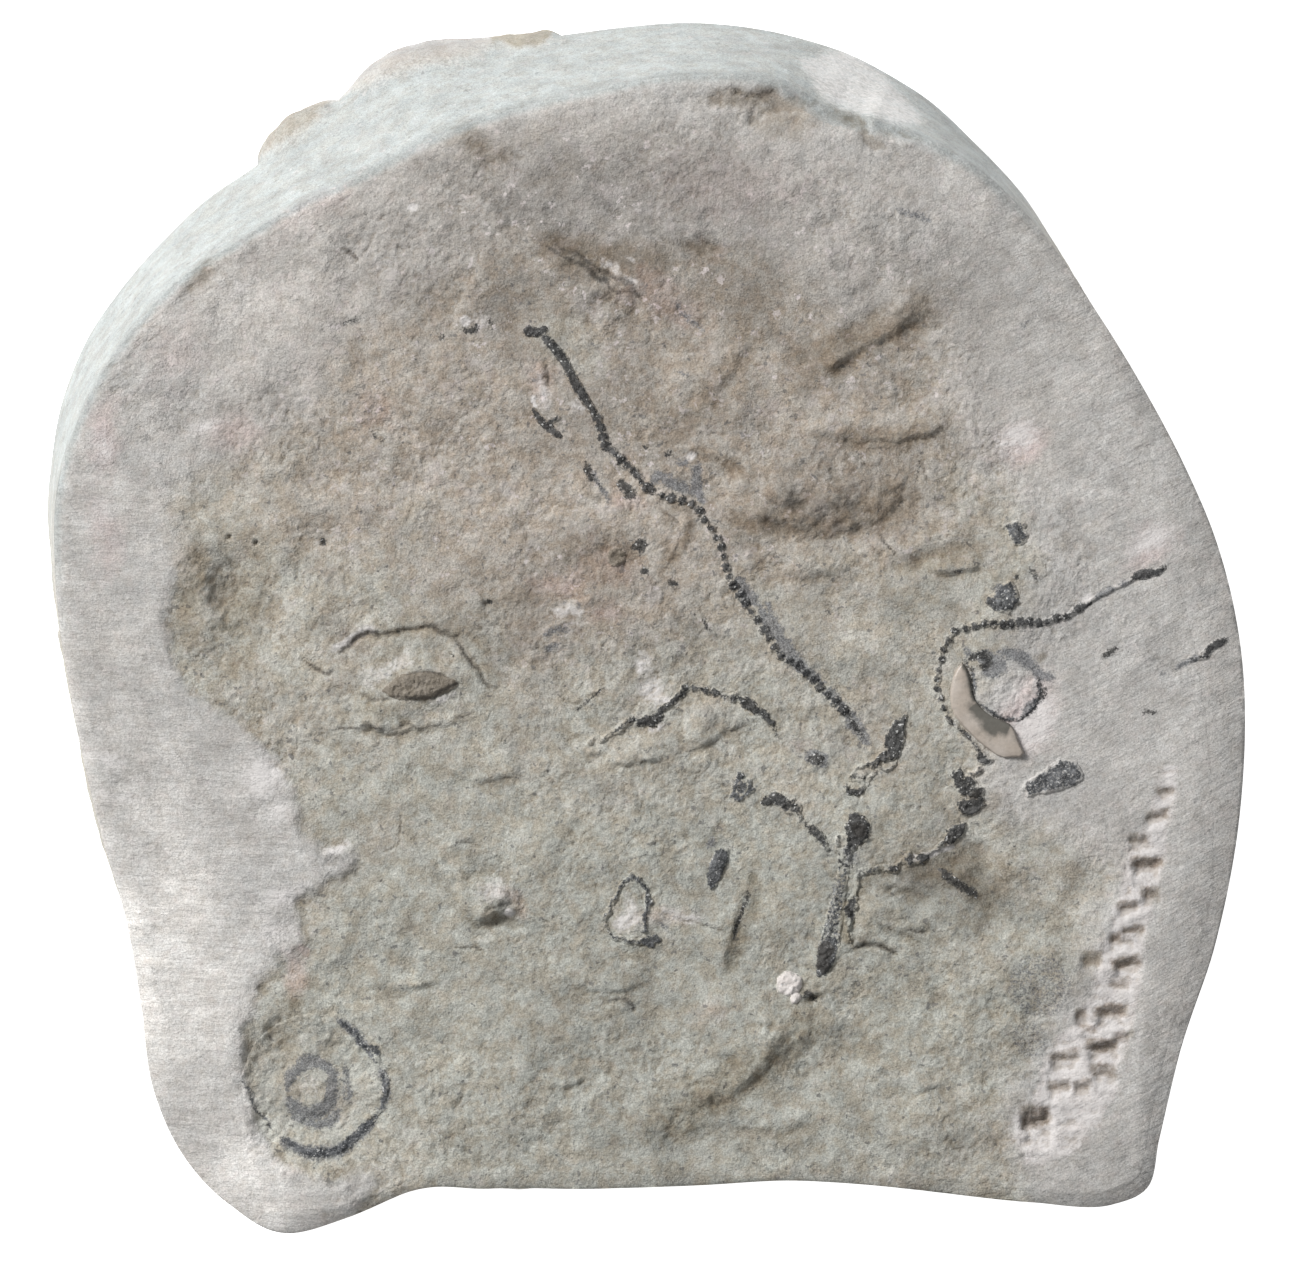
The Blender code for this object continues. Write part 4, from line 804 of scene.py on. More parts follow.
PALES = lines(
    (0.25, 0.7, -22.4, -1.5, -20.5, -0.2, -19.6, 0.1), (0.35, 0.55, -6.8, 1.3, -5.6, 1.5, -4.4, 1.1),
    (0.3, 0.6, 1, -20.2, 3.8, -20.8), (0.7, 0.8, -1.8, -20.4, -1.2, -21.3),
    # The last line here, at the raised lens's upper left, is a painted highlight
    (0.2, 0.8, 18.8, -16.4, 20.4, -15.9, 22, -15.6), (0.3, 0.4, -19.9, -4.2, -16.8, -1.4),
) + ovals(
    (-27.4, -10.6, 2.6, 2.2, 20, 0.85, 0.2), (-26.4, -13, 1.6, 1.6, 20, 0.75),
    (-22, -15.6, 1.8, 0.6, 20, 0.9), (-26, -19.2, 3, 1.4, 10, 0.75), (-26.6, -21.8, 2.4, 1.6, 0, 0.62),
    (-31.6, 14.6, 1.6, 1, 30, 0.7), (-16.7, 30.2, 0.5, 0.4, 0, 1.1, 0.3), (-29, 24.4, 1.2, 0.9, 20, 0.6),
    (0.4, -4.4, 1.9, 1.3, -60, 0.85, 0.2), (-0.2, -2.4, 1, 1.6, 10, 0.8), (1.5, -4.9, 1.2, 0.5, -20, 0.9),
    (0.6, -7.2, 1.2, 0.4, 20, 0.9), (27.6, -6.6, 2.1, 3.2, -24, 0.95, 0.3),
    (25.2, -4.9, 1.6, 1.2, 10, 0.75), (27.9, -3.9, 0.28, 0.6, -10, 1.1, 0.3),
    (26.4, 13.6, 2.6, 2, 25, 0.98), (34.8, -18, 0.7, 0.3, 0, 1, 0.3),
    (33.4, -20, 0.35, 0.5, 10, 0.9, 0.3), (32.4, -26.5, 0.7, 0.25, 0, 1, 0.3),
    (32.2, -32.4, 0.9, 0.3, 0, 1, 0.3), (37.4, -9.9, 0.6, 0.35, 10, 1, 0.3),
    (37.7, -11.1, 0.35, 0.25, 0, 1, 0.3), (36, 6.4, 3.2, 1.3, 25, 0.98),
    (31.4, 2.4, 0.7, 0.5, 30, 1, 0.3), (-38.9, 13, 1.2, 2.2, 0, 0.7), (-7.5, 17, 0.9, 2.4, 15, 0.62),
    (-8.1, 16.2, 0.25, 0.6, 15, 1.2, 0.4), (-5, 15.8, 0.8, 1.4, 20, 0.6),
    (-2.6, 25.9, 1.6, 0.6, -35, 0.72), (-1, 24.7, 1.2, 0.5, -20, 0.72),
    (-4.3, 26.4, 0.8, 0.35, -35, 0.55), (-1, 26.2, 1, 0.35, -20, 0.55), (-13.1, 22, 0.7, 0.6, 20, 1, 0.3),
    # The second and third ovals here, at the raised lens's upper left, are a painted highlight
    (-11.9, 22, 1.2, 0.9, 20, 0.6), (-19.2, -3.1, 1.8, 0.8, 14, 0.52), (-17.6, -2.3, 2.4, 0.5, 8, 0.5),
    (-14.4, -4.9, 1.6, 0.5, 20, 0.7), (-11, -18.6, 2.2, 1.5, 30, 0.55),
    (-9.8, -20.2, 0.6, 0.4, 0, 1, 0.3), (-38.8, -9.2, 3.4, 0.7, -8, 0.7), (-37.6, -12, 3, 0.8, -8, 0.6),
    (3.1, 12.5, 0.6, 0.45, 0, 1, 0.3), (-1.2, -19.9, 0.9, 1.7, 0, 0.7),
    (25.6, -4.7, 1.7, 1.5, 0, 0.72, 0.4), (-24.1, -32.7, 1.3, 1.1, -20, 0.45, 0.3),
) + (
    Outline(pairs(
        10.5, 41.4, 12.4, 37.8, 15.6, 36.4, 18.8, 35.8, 20.4, 36.6, 18.2, 40, 14.6, 43
    ), 0.56, 1.1),
)

PINKS = lines(
    (1, 0.6, -1.6, 25.4, 1.4, 23.6, 3.6, 22.4),
) + ovals(
    (-38.4, 13.6, 2, 3.6, 0, 0.95), (-39, 7, 2, 6, 0, 0.55), (27.6, -6, 2.8, 4, -24, 1, 0.2),
    (26.4, 13.2, 2.8, 2.4, 25, 1, 0.2), (36.4, 6, 3.2, 2.2, 25, 0.8), (-29.2, 13.8, 3, 2.6, 30, 0.7),
    (-20, 15.6, 2.6, 2.6, 20, 0.5), (-7.6, 17.6, 1.6, 3, 10, 0.8), (-6.6, 2.8, 3.6, 1.6, -10, 0.85),
    (-2.8, 4.2, 3.8, 2.6, 0, 0.6), (-3.2, 1.2, 2, 1.4, 0, 0.85), (-1.6, 9.6, 1.8, 1.2, -30, 0.7),
    (-25.6, -24, 1.5, 2.2, 10, 1.2, 0.2), (-24.4, -22.6, 0.8, 0.9, 0, 1.3, 0.2),
    (1.2, -21, 3.6, 1.2, -5, 0.7), (-10.2, -19.2, 1.8, 1.2, -20, 0.9), (4, -27.4, 2.6, 1.4, 20, 0.5),
    (11.2, -8.4, 1.6, 1, 0, 0.5), (-24, 30, 7, 2.4, 32, 0.35), (6, 32, 10, 4, 0, 0.35),
    (-34, 20, 4, 4, 40, 0.35),
)

# Warm, brownish ground (positive) and greenish ground (negative)
WARMS = ovals(
    (-2, 18, 40, 24, 0, 0.75, 0.3), (-4, 3.5, 10, 6, 0, 0.55, 0.2), (-6, 33, 22, 7, 0, 0.35, 0.2),
    (-5.5, 21, 5.5, 4, -40, -0.6, 0.3), (12, 10, 9, 6, 0, 0.3), (0, -26, 34, 20, 0, -0.55, 0.3),
    (-16, -8, 10, 6, 0, -0.15), (20, -18, 7, 5, 0, 0.1),
)

# Broad lighter (positive) and darker areas
TONES = ovals(
    (-34, -24, 7, 13, -10, 0.75, 0.3), (-28.5, -39, 7, 5, -25, 1.1, 0.3), (-9, 3, 12, 6, 0, -0.45),
    (0, 14, 24, 9, 0, -0.25), (12, 9, 9, 6, 0, -0.75), (18, -18.5, 8, 4.5, 0, -0.75),
    (33.5, -26, 5, 14, -10, 0.25, 0.2), (40.5, -6, 3.4, 24, 4, 0.2), (3, 2, 11, 8, 0, -0.25),
    (-18, -2, 8, 5, 0, -0.35), (24, -36, 9, 5, 0, -0.25), (33, -40, 5, 4, 30, -0.4),
    (0, -36, 22, 6, 0, -0.2), (-35.5, -21, 6, 17, -8, 0.6, 0.3), (-16, -38, 8, 4, 0, 0.45),
    (-1, 25, 30, 13, 0, -0.85, 0.2), (-5.5, 21, 5.5, 4, -40, 0.6, 0.3), (22, 20, 10, 13, -30, -0.4),
    (0, 30.5, 20, 5, 0, -0.25), (0, -24, 24, 10, 0, -0.25), (-9, 33, 10, 5, 0, -0.55, 0.2),
    (4, 33.5, 9, 5, 0, -0.5, 0.2), (-29, 15, 9, 8, 0, -0.3, 0.2), (-32, -26, 5, 11, 0, 0.45, 0.2),
    (-27.5, -38, 6, 5, -30, 0.55, 0.3), (4, 20, 9, 5, 0, 0.5, 0.2), (-8.3, -1, 6, 4.5, 0, -0.6, 0.2),
    (12.4, 10.7, 6, 4, 0, -0.4, 0.2), (1, -36, 10, 4, 0, -0.3), (22.4, -19, 6, 5, 0, -0.6, 0.2),
    (-5, -28, 10, 6, 0, -0.4, 0.2), (33, -37, 4, 4, 0, -0.35), (-19, -14, 6, 6, 0, -0.3),
    (-20.5, 2.5, 5, 4, 0, 0.15), (-27, -17, 4, 3, 0, 0.45), (-3, 5, 4, 3, 0, -0.45),
    (22, 26, 9, 7, -30, -0.25), (-4, 33, 20, 5, 0, -0.2), (-33, -30, 4, 8, 0, 0.15),
    (40, 3, 2.6, 22, 6, -0.15),
)


class Markings:
    """Works out every marking's strength on the plan."""

    LEFT_LINES = math.radians(-4.0)
    RIGHT_LINES = math.radians(27.0)
    CRACK_SOFTNESS = 0.34
    FILM_SOFTNESS = 0.5
    FAINTNESS = 0.75
    FULL = 1.1

    def __init__(self, relief: Relief) -> None:
        """Keeps the relief, whose parting the markings follow."""
        self.relief = relief

    def laid(self, marks: tuple, x: Array, y: Array, added: bool = False) -> Array:
        """Lays lines, ovals and outlines over each other.

        Args:
            marks: Lines, ovals and outlines.
            x, y: Places on the plan.
            added: Whether overlapping marks add up, instead of the strongest one showing.

        Returns:
            The strength at each place.
        """
        total = np.zeros(x.shape)
        for mark in marks:
            if isinstance(mark, Line):
                index, gap, _, share = mark.near(x, y, 2.0 * mark.width)
                window = smooth(-0.04, 0.06, share) * smooth(-0.04, 0.06, 1.0 - share)
                value = mark.strength * window * (1.0 - smooth(0.5, 2.0, gap / mark.width))
                total[index] = np.maximum(total[index], value)
                continue
            value = mark.strength * mark.share(x, y)
            total = total + value if added else np.maximum(total, value)
        return total

    def edged(self, marks: tuple, x: Array, y: Array, softness: float) -> Array:
        """Strength of marks with an edge: 0.5 at the edge, more inside and less outside.

        Args:
            marks: Lines and ovals.
            x, y: Places on the plan.
            softness: Distance over which the strength changes by 1, in millimetres.

        Returns:
            The strength at each place.
        """
        total = np.full(x.shape, -1.0)
        for mark in marks:
            faint = self.FAINTNESS * (1.0 - mark.strength)
            if isinstance(mark, Oval):
                value = np.minimum(0.5 + mark.inside(x, y) / softness, self.FULL) - faint
                total = np.maximum(total, value)
                continue
            index, gap, _, share = mark.near(x, y, mark.width + 1.5 * softness)
            taper = np.clip(5.0 * np.minimum(share, 1.0 - share) + 0.45, 0.0, 1.0)
            value = np.minimum(0.5 + (mark.width * taper - gap) / softness, self.FULL) - faint
            total[index] = np.maximum(total[index], value)
        return total

    def values(self, x: Array, y: Array) -> dict[Mark, Array]:
        """Every marking that depends on the plan alone."""
        wx, wy = self.relief.warped(x, y)
        far_x, far_y = self.relief.strayed(x, y)
        turn = smooth(-14.0, 16.0, x)
        angle = self.LEFT_LINES + (self.RIGHT_LINES - self.LEFT_LINES) * turn
        blank = np.zeros(x.shape)
        strip = CUT_STRIP.share(wx, wy)
        # Painted shade on the cuts' steep faces: crack and stain colour laid on, pale taken off
        cuts = self.relief.cut_faces(wx, wy)
        return {
            Mark.NATURAL: self.relief.natural(x, y),
            Mark.FILED: self.relief.filed(x, y),
            Mark.CRACK_AND_SHADE: np.maximum(
                self.edged(CRACK_LINES + BLACKS, wx, wy, self.CRACK_SOFTNESS), 1.6 * cuts - 1.04),
            Mark.STAIN_AND_SHADE: np.maximum(self.laid(STAINS, far_x, far_y), 1.3 * cuts),
            Mark.FILM: self.edged(FILMS, wx, wy, self.FILM_SOFTNESS),
            Mark.GREY: self.edged(GREYS, wx, wy, self.FILM_SOFTNESS),
            Mark.PALE: np.maximum(self.laid(PALES, wx, wy), 0.74 * strip) * (1.0 - 0.8 * cuts),
            Mark.PINK: np.maximum(self.laid(PINKS, far_x, far_y), 0.4 * strip),
            Mark.TONE: self.laid(TONES, far_x, far_y, added=True),
            Mark.WARM: self.laid(WARMS, far_x, far_y, added=True),
            Mark.ACROSS: y * np.cos(angle) - x * np.sin(angle),
            Mark.ALONG: x * np.cos(angle) + y * np.sin(angle),
            Mark.GROUND_SIDE: blank, Mark.FOOT: blank, Mark.CAVITY: blank,
        }


# --- Node pen and shared effects ---

Socket = bpy.types.NodeSocket


class Pen:
    """Draws shader nodes in one tree."""

    def __init__(self, tree: bpy.types.NodeTree, effects: "Effects | None" = None) -> None:
        """Keeps the tree and the groups that it may place."""
        self.tree = tree
        self.effects = effects

    def node(self, kind: str, **settings: object) -> bpy.types.Node:
        """Adds a node and sets its properties."""
        made = self.tree.nodes.new("ShaderNode" + kind)
        for name, value in settings.items():
            setattr(made, name, value)
        return made

    def feed(self, socket: Socket, value: object) -> None:
        """Links a socket to another's output, or gives it a plain value."""
        if isinstance(value, bpy.types.NodeSocket):
            self.tree.links.new(value, socket)
        elif isinstance(value, tuple) and len(value) == 3 and socket.type == "RGBA":
            socket.default_value = (*value, 1.0)
        else:
            socket.default_value = value

    def run(self, kind: str, *values: object, **settings: object) -> Socket:
        """Adds a node, feeds its inputs in order and gives its first output."""
        made = self.node(kind, **settings)
        for socket, value in zip(made.inputs, values):
            self.feed(socket, value)
        return made.outputs[0]

    def math(self, operation: str, a: object, b: object = 0.0, clamp: bool = False) -> Socket:
        """A Math node's output."""
        return self.run("Math", a, b, operation=operation, use_clamp=clamp)

    def scaled(self, value: object, factor: float, offset: float = 0.0) -> Socket:
        """A value times a factor plus an offset."""
        return self.run("Math", value, factor, offset, operation="MULTIPLY_ADD")

    def step(self, value: object, low: float, high: float, start: float = 0.0,
             end: float = 1.0) -> Socket:
        """A smooth step from start to end while value goes from low to high."""
        return self.run("MapRange", value, low, high, start, end, interpolation_type="SMOOTHSTEP")

    def mix(self, share: object, a: object, b: object, blend: str = "MIX") -> Socket:
        """A colour mix's output."""
        made = self.node("Mix", data_type="RGBA", blend_type=blend)
        for number, value in ((0, share), (6, a), (7, b)):
            self.feed(made.inputs[number], value)
        return made.outputs[2]

    def tinted(self, colour: object, tint: object) -> Socket:
        """A colour times a tint."""
        return self.mix(1.0, colour, tint, "MULTIPLY")

    def shade(self, colour: object, factor: object) -> Socket:
        """A colour or place times a factor."""
        made = self.node("VectorMath", operation="SCALE")
        self.feed(made.inputs[0], colour)
        self.feed(made.inputs["Scale"], factor)
        return made.outputs[0]

    def mark(self, mark: Mark) -> Socket:
        """A marking stored on the mesh."""
        return self.node("Attribute", attribute_name=mark.value).outputs["Fac"]

    def place(self) -> Socket:
        """The shaded place, in millimetres."""
        return self.shade(self.node("TexCoord").outputs["Object"], 1.0 / MM)

    def noise(self, vector: object, scale: object, detail: float, roughness: float) -> Socket:
        """Noise from 0 to 1."""
        made = self.node("TexNoise")
        sizes = {"Vector": vector, "Scale": scale, "Detail": detail, "Roughness": roughness}
        for name, value in sizes.items():
            self.feed(made.inputs[name], value)
        return made.outputs["Fac"]

    def patches(self, vector: object, scale: float, detail: float, roughness: float,
                *step: float) -> Socket:
        """Patches of noise, each a smooth step that the last numbers give."""
        return self.step(self.noise(vector, scale, detail, roughness), *step)

    def group(self, tree: bpy.types.NodeTree, **values: object) -> bpy.types.Node:
        """Places a node group and feeds its inputs by name."""
        made = self.node("Group", node_tree=tree)
        for name, value in values.items():
            self.feed(made.inputs[name.capitalize()], value)
        return made

    def ragged(self, mark: Mark, raggedness: float, size: float, softness: float) -> Socket:
        """A marking's mask, with a ragged edge."""
        made = self.group(self.effects.ragged, strength=self.mark(mark), raggedness=raggedness,
                          size=size, softness=softness)
        return made.outputs["Mask"]

    def lines(self, stretch: float) -> Socket:
        """A place to read file lines at: across them, and a little along them."""
        along = self.scaled(self.mark(Mark.ALONG), stretch)
        return self.run("CombineXYZ", self.mark(Mark.ACROSS), along)

    def bump(self, height: object, distance: float) -> Socket:
        """A bumpy surface's normal."""
        made = self.node("Bump")
        self.feed(made.inputs["Distance"], distance)
        self.feed(made.inputs["Height"], height)
        return made.outputs["Normal"]

    def dress(self, values: dict[str, object]) -> None:
        """Feeds the Principled shader's inputs by name."""
        shader = self.tree.nodes["Principled BSDF"]
        for name, value in values.items():
            self.feed(shader.inputs[name], value)


def blank_material(name: str, effects: "Effects | None" = None) -> tuple[bpy.types.Material, Pen]:
    """A new material and its pen."""
    material = bpy.data.materials.new(name)
    material.use_nodes = True
    return material, Pen(material.node_tree, effects)


class Effects:
    """Node groups that several finishes share."""

    def __init__(self) -> None:
        """Builds each group once."""
        self.grain = self.build_grain()
        self.ragged = self.build_ragged()
        self.chips = self.build_chips()

    @staticmethod
    def open_group(name: str, inputs: dict[str, float], outputs: tuple[str, ...]) -> tuple:
        """Starts a group.

        Args:
            name: Its name.
            inputs: Names and default values of its number inputs.
            outputs: Names of its number outputs.

        Returns:
            The tree, its pen, the outputs of its input node and the inputs of its output node.
        """
        tree = bpy.data.node_groups.new(name, "ShaderNodeTree")
        kind = "NodeSocketFloat"
        for label, value in inputs.items():
            tree.interface.new_socket(label, in_out="INPUT", socket_type=kind).default_value = value
        for label in outputs:
            tree.interface.new_socket(label, in_out="OUTPUT", socket_type=kind)
        given, made = tree.nodes.new("NodeGroupInput"), tree.nodes.new("NodeGroupOutput")
        return tree, Pen(tree), given.outputs, made.inputs

    def build_grain(self) -> bpy.types.NodeTree:
        """Grain of fine stone: a height in grains and a fine light and dark speckle, partly painted shade.
        """
        inputs = {"Size": 0.2, "Coarse": 0.5}
        tree, pen, given, made = self.open_group("stone_grain", inputs, ("Height", "Speckle"))
        where = pen.place()
        pitch = pen.math("DIVIDE", 1.0, given["Size"])
        fine = pen.noise(where, pitch, 2.0, 0.65)
        coarse = pen.noise(where, pen.math("MULTIPLY", pitch, 0.33), 3.0, 0.6)
        share = pen.math("MULTIPLY", coarse, given["Coarse"])
        pen.feed(made["Height"], pen.math("ADD", fine, share))
        speck = pen.noise(where, pen.math("MULTIPLY", pitch, 1.5), 1.0, 0.7)
        # Part of the speckle follows the grain's height: darker in its pits, as painted shade
        mixed = pen.math("ADD", pen.scaled(speck, 0.62), pen.scaled(fine, 0.38))
        pen.feed(made["Speckle"], mixed)
        return tree

    def build_ragged(self) -> bpy.types.NodeTree:
        """A mask with a ragged, grainy edge from a soft strength."""
        inputs = {"Strength": 0.0, "Raggedness": 0.6, "Size": 0.3, "Softness": 0.12}
        tree, pen, given, made = self.open_group("ragged_mask", inputs, ("Mask",))
        pitch = pen.math("DIVIDE", 1.0, given["Size"])
        rough = pen.math("SUBTRACT", pen.noise(pen.place(), pitch, 3.0, 0.65), 0.5)
        rough = pen.math("MULTIPLY", rough, given["Raggedness"])
        value = pen.math("ADD", given["Strength"], rough)
        low = pen.math("SUBTRACT", 0.5, given["Softness"])
        width = pen.math("MULTIPLY", given["Softness"], 2.0)
        share = pen.math("DIVIDE", pen.math("SUBTRACT", value, low), width, clamp=True)
        pen.feed(made["Mask"], share)
        return tree

    def build_chips(self) -> bpy.types.NodeTree:
        """Small flat chips at all angles: a height in millimetres for a slope of about 1."""
        tree, pen, given, made = self.open_group("broken_chips", {"Size": 1.0}, ("Height",))
        scaled = pen.shade(pen.place(), pen.math("DIVIDE", 1.0, given["Size"]))
        stray = pen.node("TexNoise")
        cell = pen.node("TexVoronoi")
        sizes = {"Vector": scaled, "Scale": 1.4, "Detail": 3.0}
        for name, value in sizes.items():
            pen.feed(stray.inputs[name], value)
        wide, half = (1.1, 1.1, 1.1), (0.5, 0.5, 0.5)
        bent = pen.run("VectorMath", stray.outputs["Color"], wide, scaled, operation="MULTIPLY_ADD")
        pen.feed(cell.inputs["Vector"], bent)
        pen.feed(cell.inputs["Scale"], 1.0)
        away = pen.run("VectorMath", bent, cell.outputs["Position"], operation="SUBTRACT")
        tilt = pen.run("VectorMath", cell.outputs["Color"], half, operation="SUBTRACT")
        dot = pen.node("VectorMath", operation="DOT_PRODUCT")
        pen.feed(dot.inputs[0], away)
        pen.feed(dot.inputs[1], tilt)
        pen.feed(made["Height"], pen.math("MULTIPLY", dot.outputs["Value"], given["Size"]))
        return tree


# --- Finishes ---


@dataclass(frozen=True)
class StoneFinish:
    """Pale, fine-grained mudstone: stains, films, scrapes, cracks, painted shade and glints.

    Attributes:
        name: The material's name.
        film: Darkest colour of the calcite in or on the stone.
        film_light: Its lightest colour, that of its painted glints and sheen.
        film_gloss: Roughness where it shows.
        flecks: How strongly white flecks show in it.
    """

    name: str = "mudstone"
    film: Colour = (0.018, 0.018, 0.018)
    film_light: Colour = (0.145, 0.140, 0.132)
    film_gloss: float = 0.62
    flecks: float = 0.8

    GREEN_GROUND = (0.404, 0.397, 0.360)
    WARM_GROUND = (0.405, 0.366, 0.328)
    FILED = (0.485, 0.476, 0.472)
    WARM_FILED = (0.485, 0.464, 0.440)
    SIDE = (0.345, 0.364, 0.362)
    # Darker brown at the foot of the side; on the lobes it stands for painted shade
    FOOT = (0.285, 0.266, 0.225)
    PALE_FOOT = (0.375, 0.368, 0.368)
    # Tint of the brown stains, also used for painted shade in hollows and on the cuts' faces
    STAIN_AND_SHADE = (0.585, 0.53, 0.455)
    GREY_FILM = (0.070, 0.076, 0.088)
    GREY_LIGHT = (0.265, 0.270, 0.280)
    PALE = (0.69, 0.665, 0.655)
    PINK = (1.13, 1.00, 1.01)
    # Colour of the cracks, also laid on the cuts' faces as painted shade
    CRACK_AND_SHADE = (0.042, 0.038, 0.034)
    FLECK = (0.62, 0.62, 0.61)
    SPECK = (0.13, 0.13, 0.13)
    BLOTCH = (0.53, 0.49, 0.485)
    TAN = (0.93, 0.885, 0.82)
    BLEACHED = (1.07, 1.105, 1.115)
    CHALK = (0.60, 0.55, 0.545)
    DULL = 0.92
    GRAIN = {"size": 0.17, "coarse": 0.9}

    # Each marking's edge: raggedness, size of its grain and softness
    EDGES = {
        Mark.FOOT: (0.5, 1.2, 0.2), Mark.PINK: (1.0, 0.8, 0.5), Mark.STAIN_AND_SHADE: (1.4, 0.6, 0.5),
        Mark.PALE: (1.3, 0.34, 0.35), Mark.GREY: (1.9, 0.20, 0.24), Mark.FILM: (1.6, 0.20, 0.17),
        Mark.CRACK_AND_SHADE: (1.1, 0.25, 0.3),
    }

    # Patches: the noise's scale, detail and roughness, its step's low and high, start and end
    PATCHY = (0.8, 4.0, 0.65, 0.36, 0.62)
    MOTTLE = (0.42, 4.0, 0.6, 0.30, 0.70, 0.86, 1.12)
    SOWN = (0.30, 2.0, 0.5, 0.44, 0.60)
    CHALKY = (1.5, 3.0, 0.6, 0.595, 0.65)
    SPECKS = (1.9, 2.0, 0.5, 0.665, 0.70)
    BLOTCHED_AREAS = (0.16, 2.0, 0.5, 0.42, 0.60)
    BLOTCHES = (0.7, 4.0, 0.6, 0.50, 0.64)
    STREAKS = (1.1, 4.0, 0.65, 0.3, 0.7, 0.90, 1.09)
    # Patches of painted sheen on the calcite
    SHEEN = (1.3, 2.0, 0.5, 0.48, 0.70, 0.0, 0.5)
    WHITE_FLECKS = (4.2, 1.0, 0.4, 0.66, 0.72)
    CHIPPED = (0.28, 2.0, 0.5, 0.38, 0.64, 0.25, 1.0)

    def material(self, effects: Effects) -> bpy.types.Material:
        """Builds the material."""
        material, pen = blank_material(self.name, effects)
        where = pen.place()
        grain = pen.group(effects.grain, **self.GRAIN).outputs
        colour = self.weathered(pen, self.ground(pen, where, grain["Speckle"]))
        colour, film = self.filmed(pen, where, grain["Speckle"], colour)
        # Cracks, with the painted shade on the cuts' faces
        crack = pen.scaled(self.mask(pen, Mark.CRACK_AND_SHADE), 0.78)
        pen.dress({
            "Base Color": pen.mix(crack, colour, self.CRACK_AND_SHADE),
            "Roughness": pen.scaled(film, self.film_gloss - self.DULL, self.DULL),
            "Specular IOR Level": 0.3,
            "Normal": self.bump(pen, where, grain["Height"]),
        })
        return material

    def mask(self, pen: Pen, mark: Mark) -> Socket:
        """One marking's ragged mask."""
        return pen.ragged(mark, *self.EDGES[mark])

    def ground(self, pen: Pen, where: Socket, speckle: Socket) -> Socket:
        """Colour of the bare stone.

        Args:
            pen: Pen of the material.
            where: The shaded place.
            speckle: The grain's light and dark, partly painted shade in its pits.

        Returns:
            The colour.
        """
        natural, side = pen.mark(Mark.NATURAL), pen.mark(Mark.GROUND_SIDE)
        broad = pen.noise(where, 0.2, 3.0, 0.6)
        warmth = pen.math("ADD", pen.mark(Mark.WARM), pen.scaled(broad, 1.2, -0.30))
        colour = pen.mix(pen.step(warmth, -0.1, 1.0), self.GREEN_GROUND, self.WARM_GROUND)
        filed = pen.math("MAXIMUM", pen.mark(Mark.FILED), pen.math("SUBTRACT", 1.0, natural))
        smoothed = pen.mix(pen.step(warmth, 0.0, 1.1), self.FILED, self.WARM_FILED)
        colour = pen.mix(pen.scaled(filed, 0.75), colour, smoothed)
        colour = pen.mix(side, colour, self.SIDE)
        # Lobes that are not pale take the darker foot colour: painted shade on the lobes
        lobe = pen.mix(pen.mark(Mark.PALE), self.FOOT, self.PALE_FOOT)
        colour = pen.mix(self.mask(pen, Mark.FOOT), colour, lobe)
        colour = pen.shade(colour, pen.scaled(pen.mark(Mark.TONE), 0.30, 1.0))
        tint = pen.mix(pen.patches(where, *self.PATCHY), self.TAN, self.BLEACHED)
        colour = pen.mix(pen.scaled(natural, 0.75, 0.25), colour, pen.tinted(colour, tint))
        calm = pen.math("MAXIMUM", pen.scaled(filed, 0.20), pen.scaled(side, 0.15))
        # The speckle, partly painted shade in the grain's pits, lightens and darkens the colour
        speckled = pen.step(speckle, 0.32, 0.68, 0.76, 1.22)
        both = pen.math("MULTIPLY", pen.patches(where, *self.MOTTLE), speckled)
        eased = pen.math("ADD", pen.math("MULTIPLY", both, pen.scaled(calm, -1.0, 1.0)), calm)
        colour = self.blotched(pen, where, pen.shade(colour, eased))
        sown = pen.math("MULTIPLY", pen.patches(where, *self.SOWN), warmth, clamp=True)
        chalk = pen.math("MULTIPLY", pen.patches(where, *self.CHALKY), sown)
        colour = pen.mix(pen.scaled(chalk, 0.7), colour, self.CHALK)
        fewer = pen.scaled(filed, -0.40, 0.65)
        specks = pen.math("MULTIPLY", pen.patches(where, *self.SPECKS), fewer)
        return pen.mix(specks, colour, self.SPECK)

    def blotched(self, pen: Pen, where: Socket, colour: Socket) -> Socket:
        """Adds the pale pink blotches of the warm ground and the streaks of the filed margin.

        Args:
            pen: Pen of the material.
            where: The shaded place.
            colour: Colour so far.

        Returns:
            The colour with them.
        """
        blotches = pen.patches(where, *self.BLOTCHES)
        blotches = pen.math("MULTIPLY", blotches, pen.patches(where, *self.BLOTCHED_AREAS))
        warm = pen.step(pen.mark(Mark.WARM), -0.2, 0.5, 0.1, 1.0)
        here = pen.math("MULTIPLY", blotches, warm)
        colour = pen.mix(pen.scaled(here, 0.30), colour, self.BLOTCH)
        streaks = pen.patches(pen.lines(0.3), *self.STREAKS)
        return pen.tinted(colour, pen.mix(pen.mark(Mark.FILED), (1.0, 1.0, 1.0), streaks))

    def weathered(self, pen: Pen, colour: Socket) -> Socket:
        """Adds pink places, brown stains, scrapes, and painted shade on the cuts and in hollows."""
        colour = pen.mix(self.mask(pen, Mark.PINK), colour, pen.tinted(colour, self.PINK))
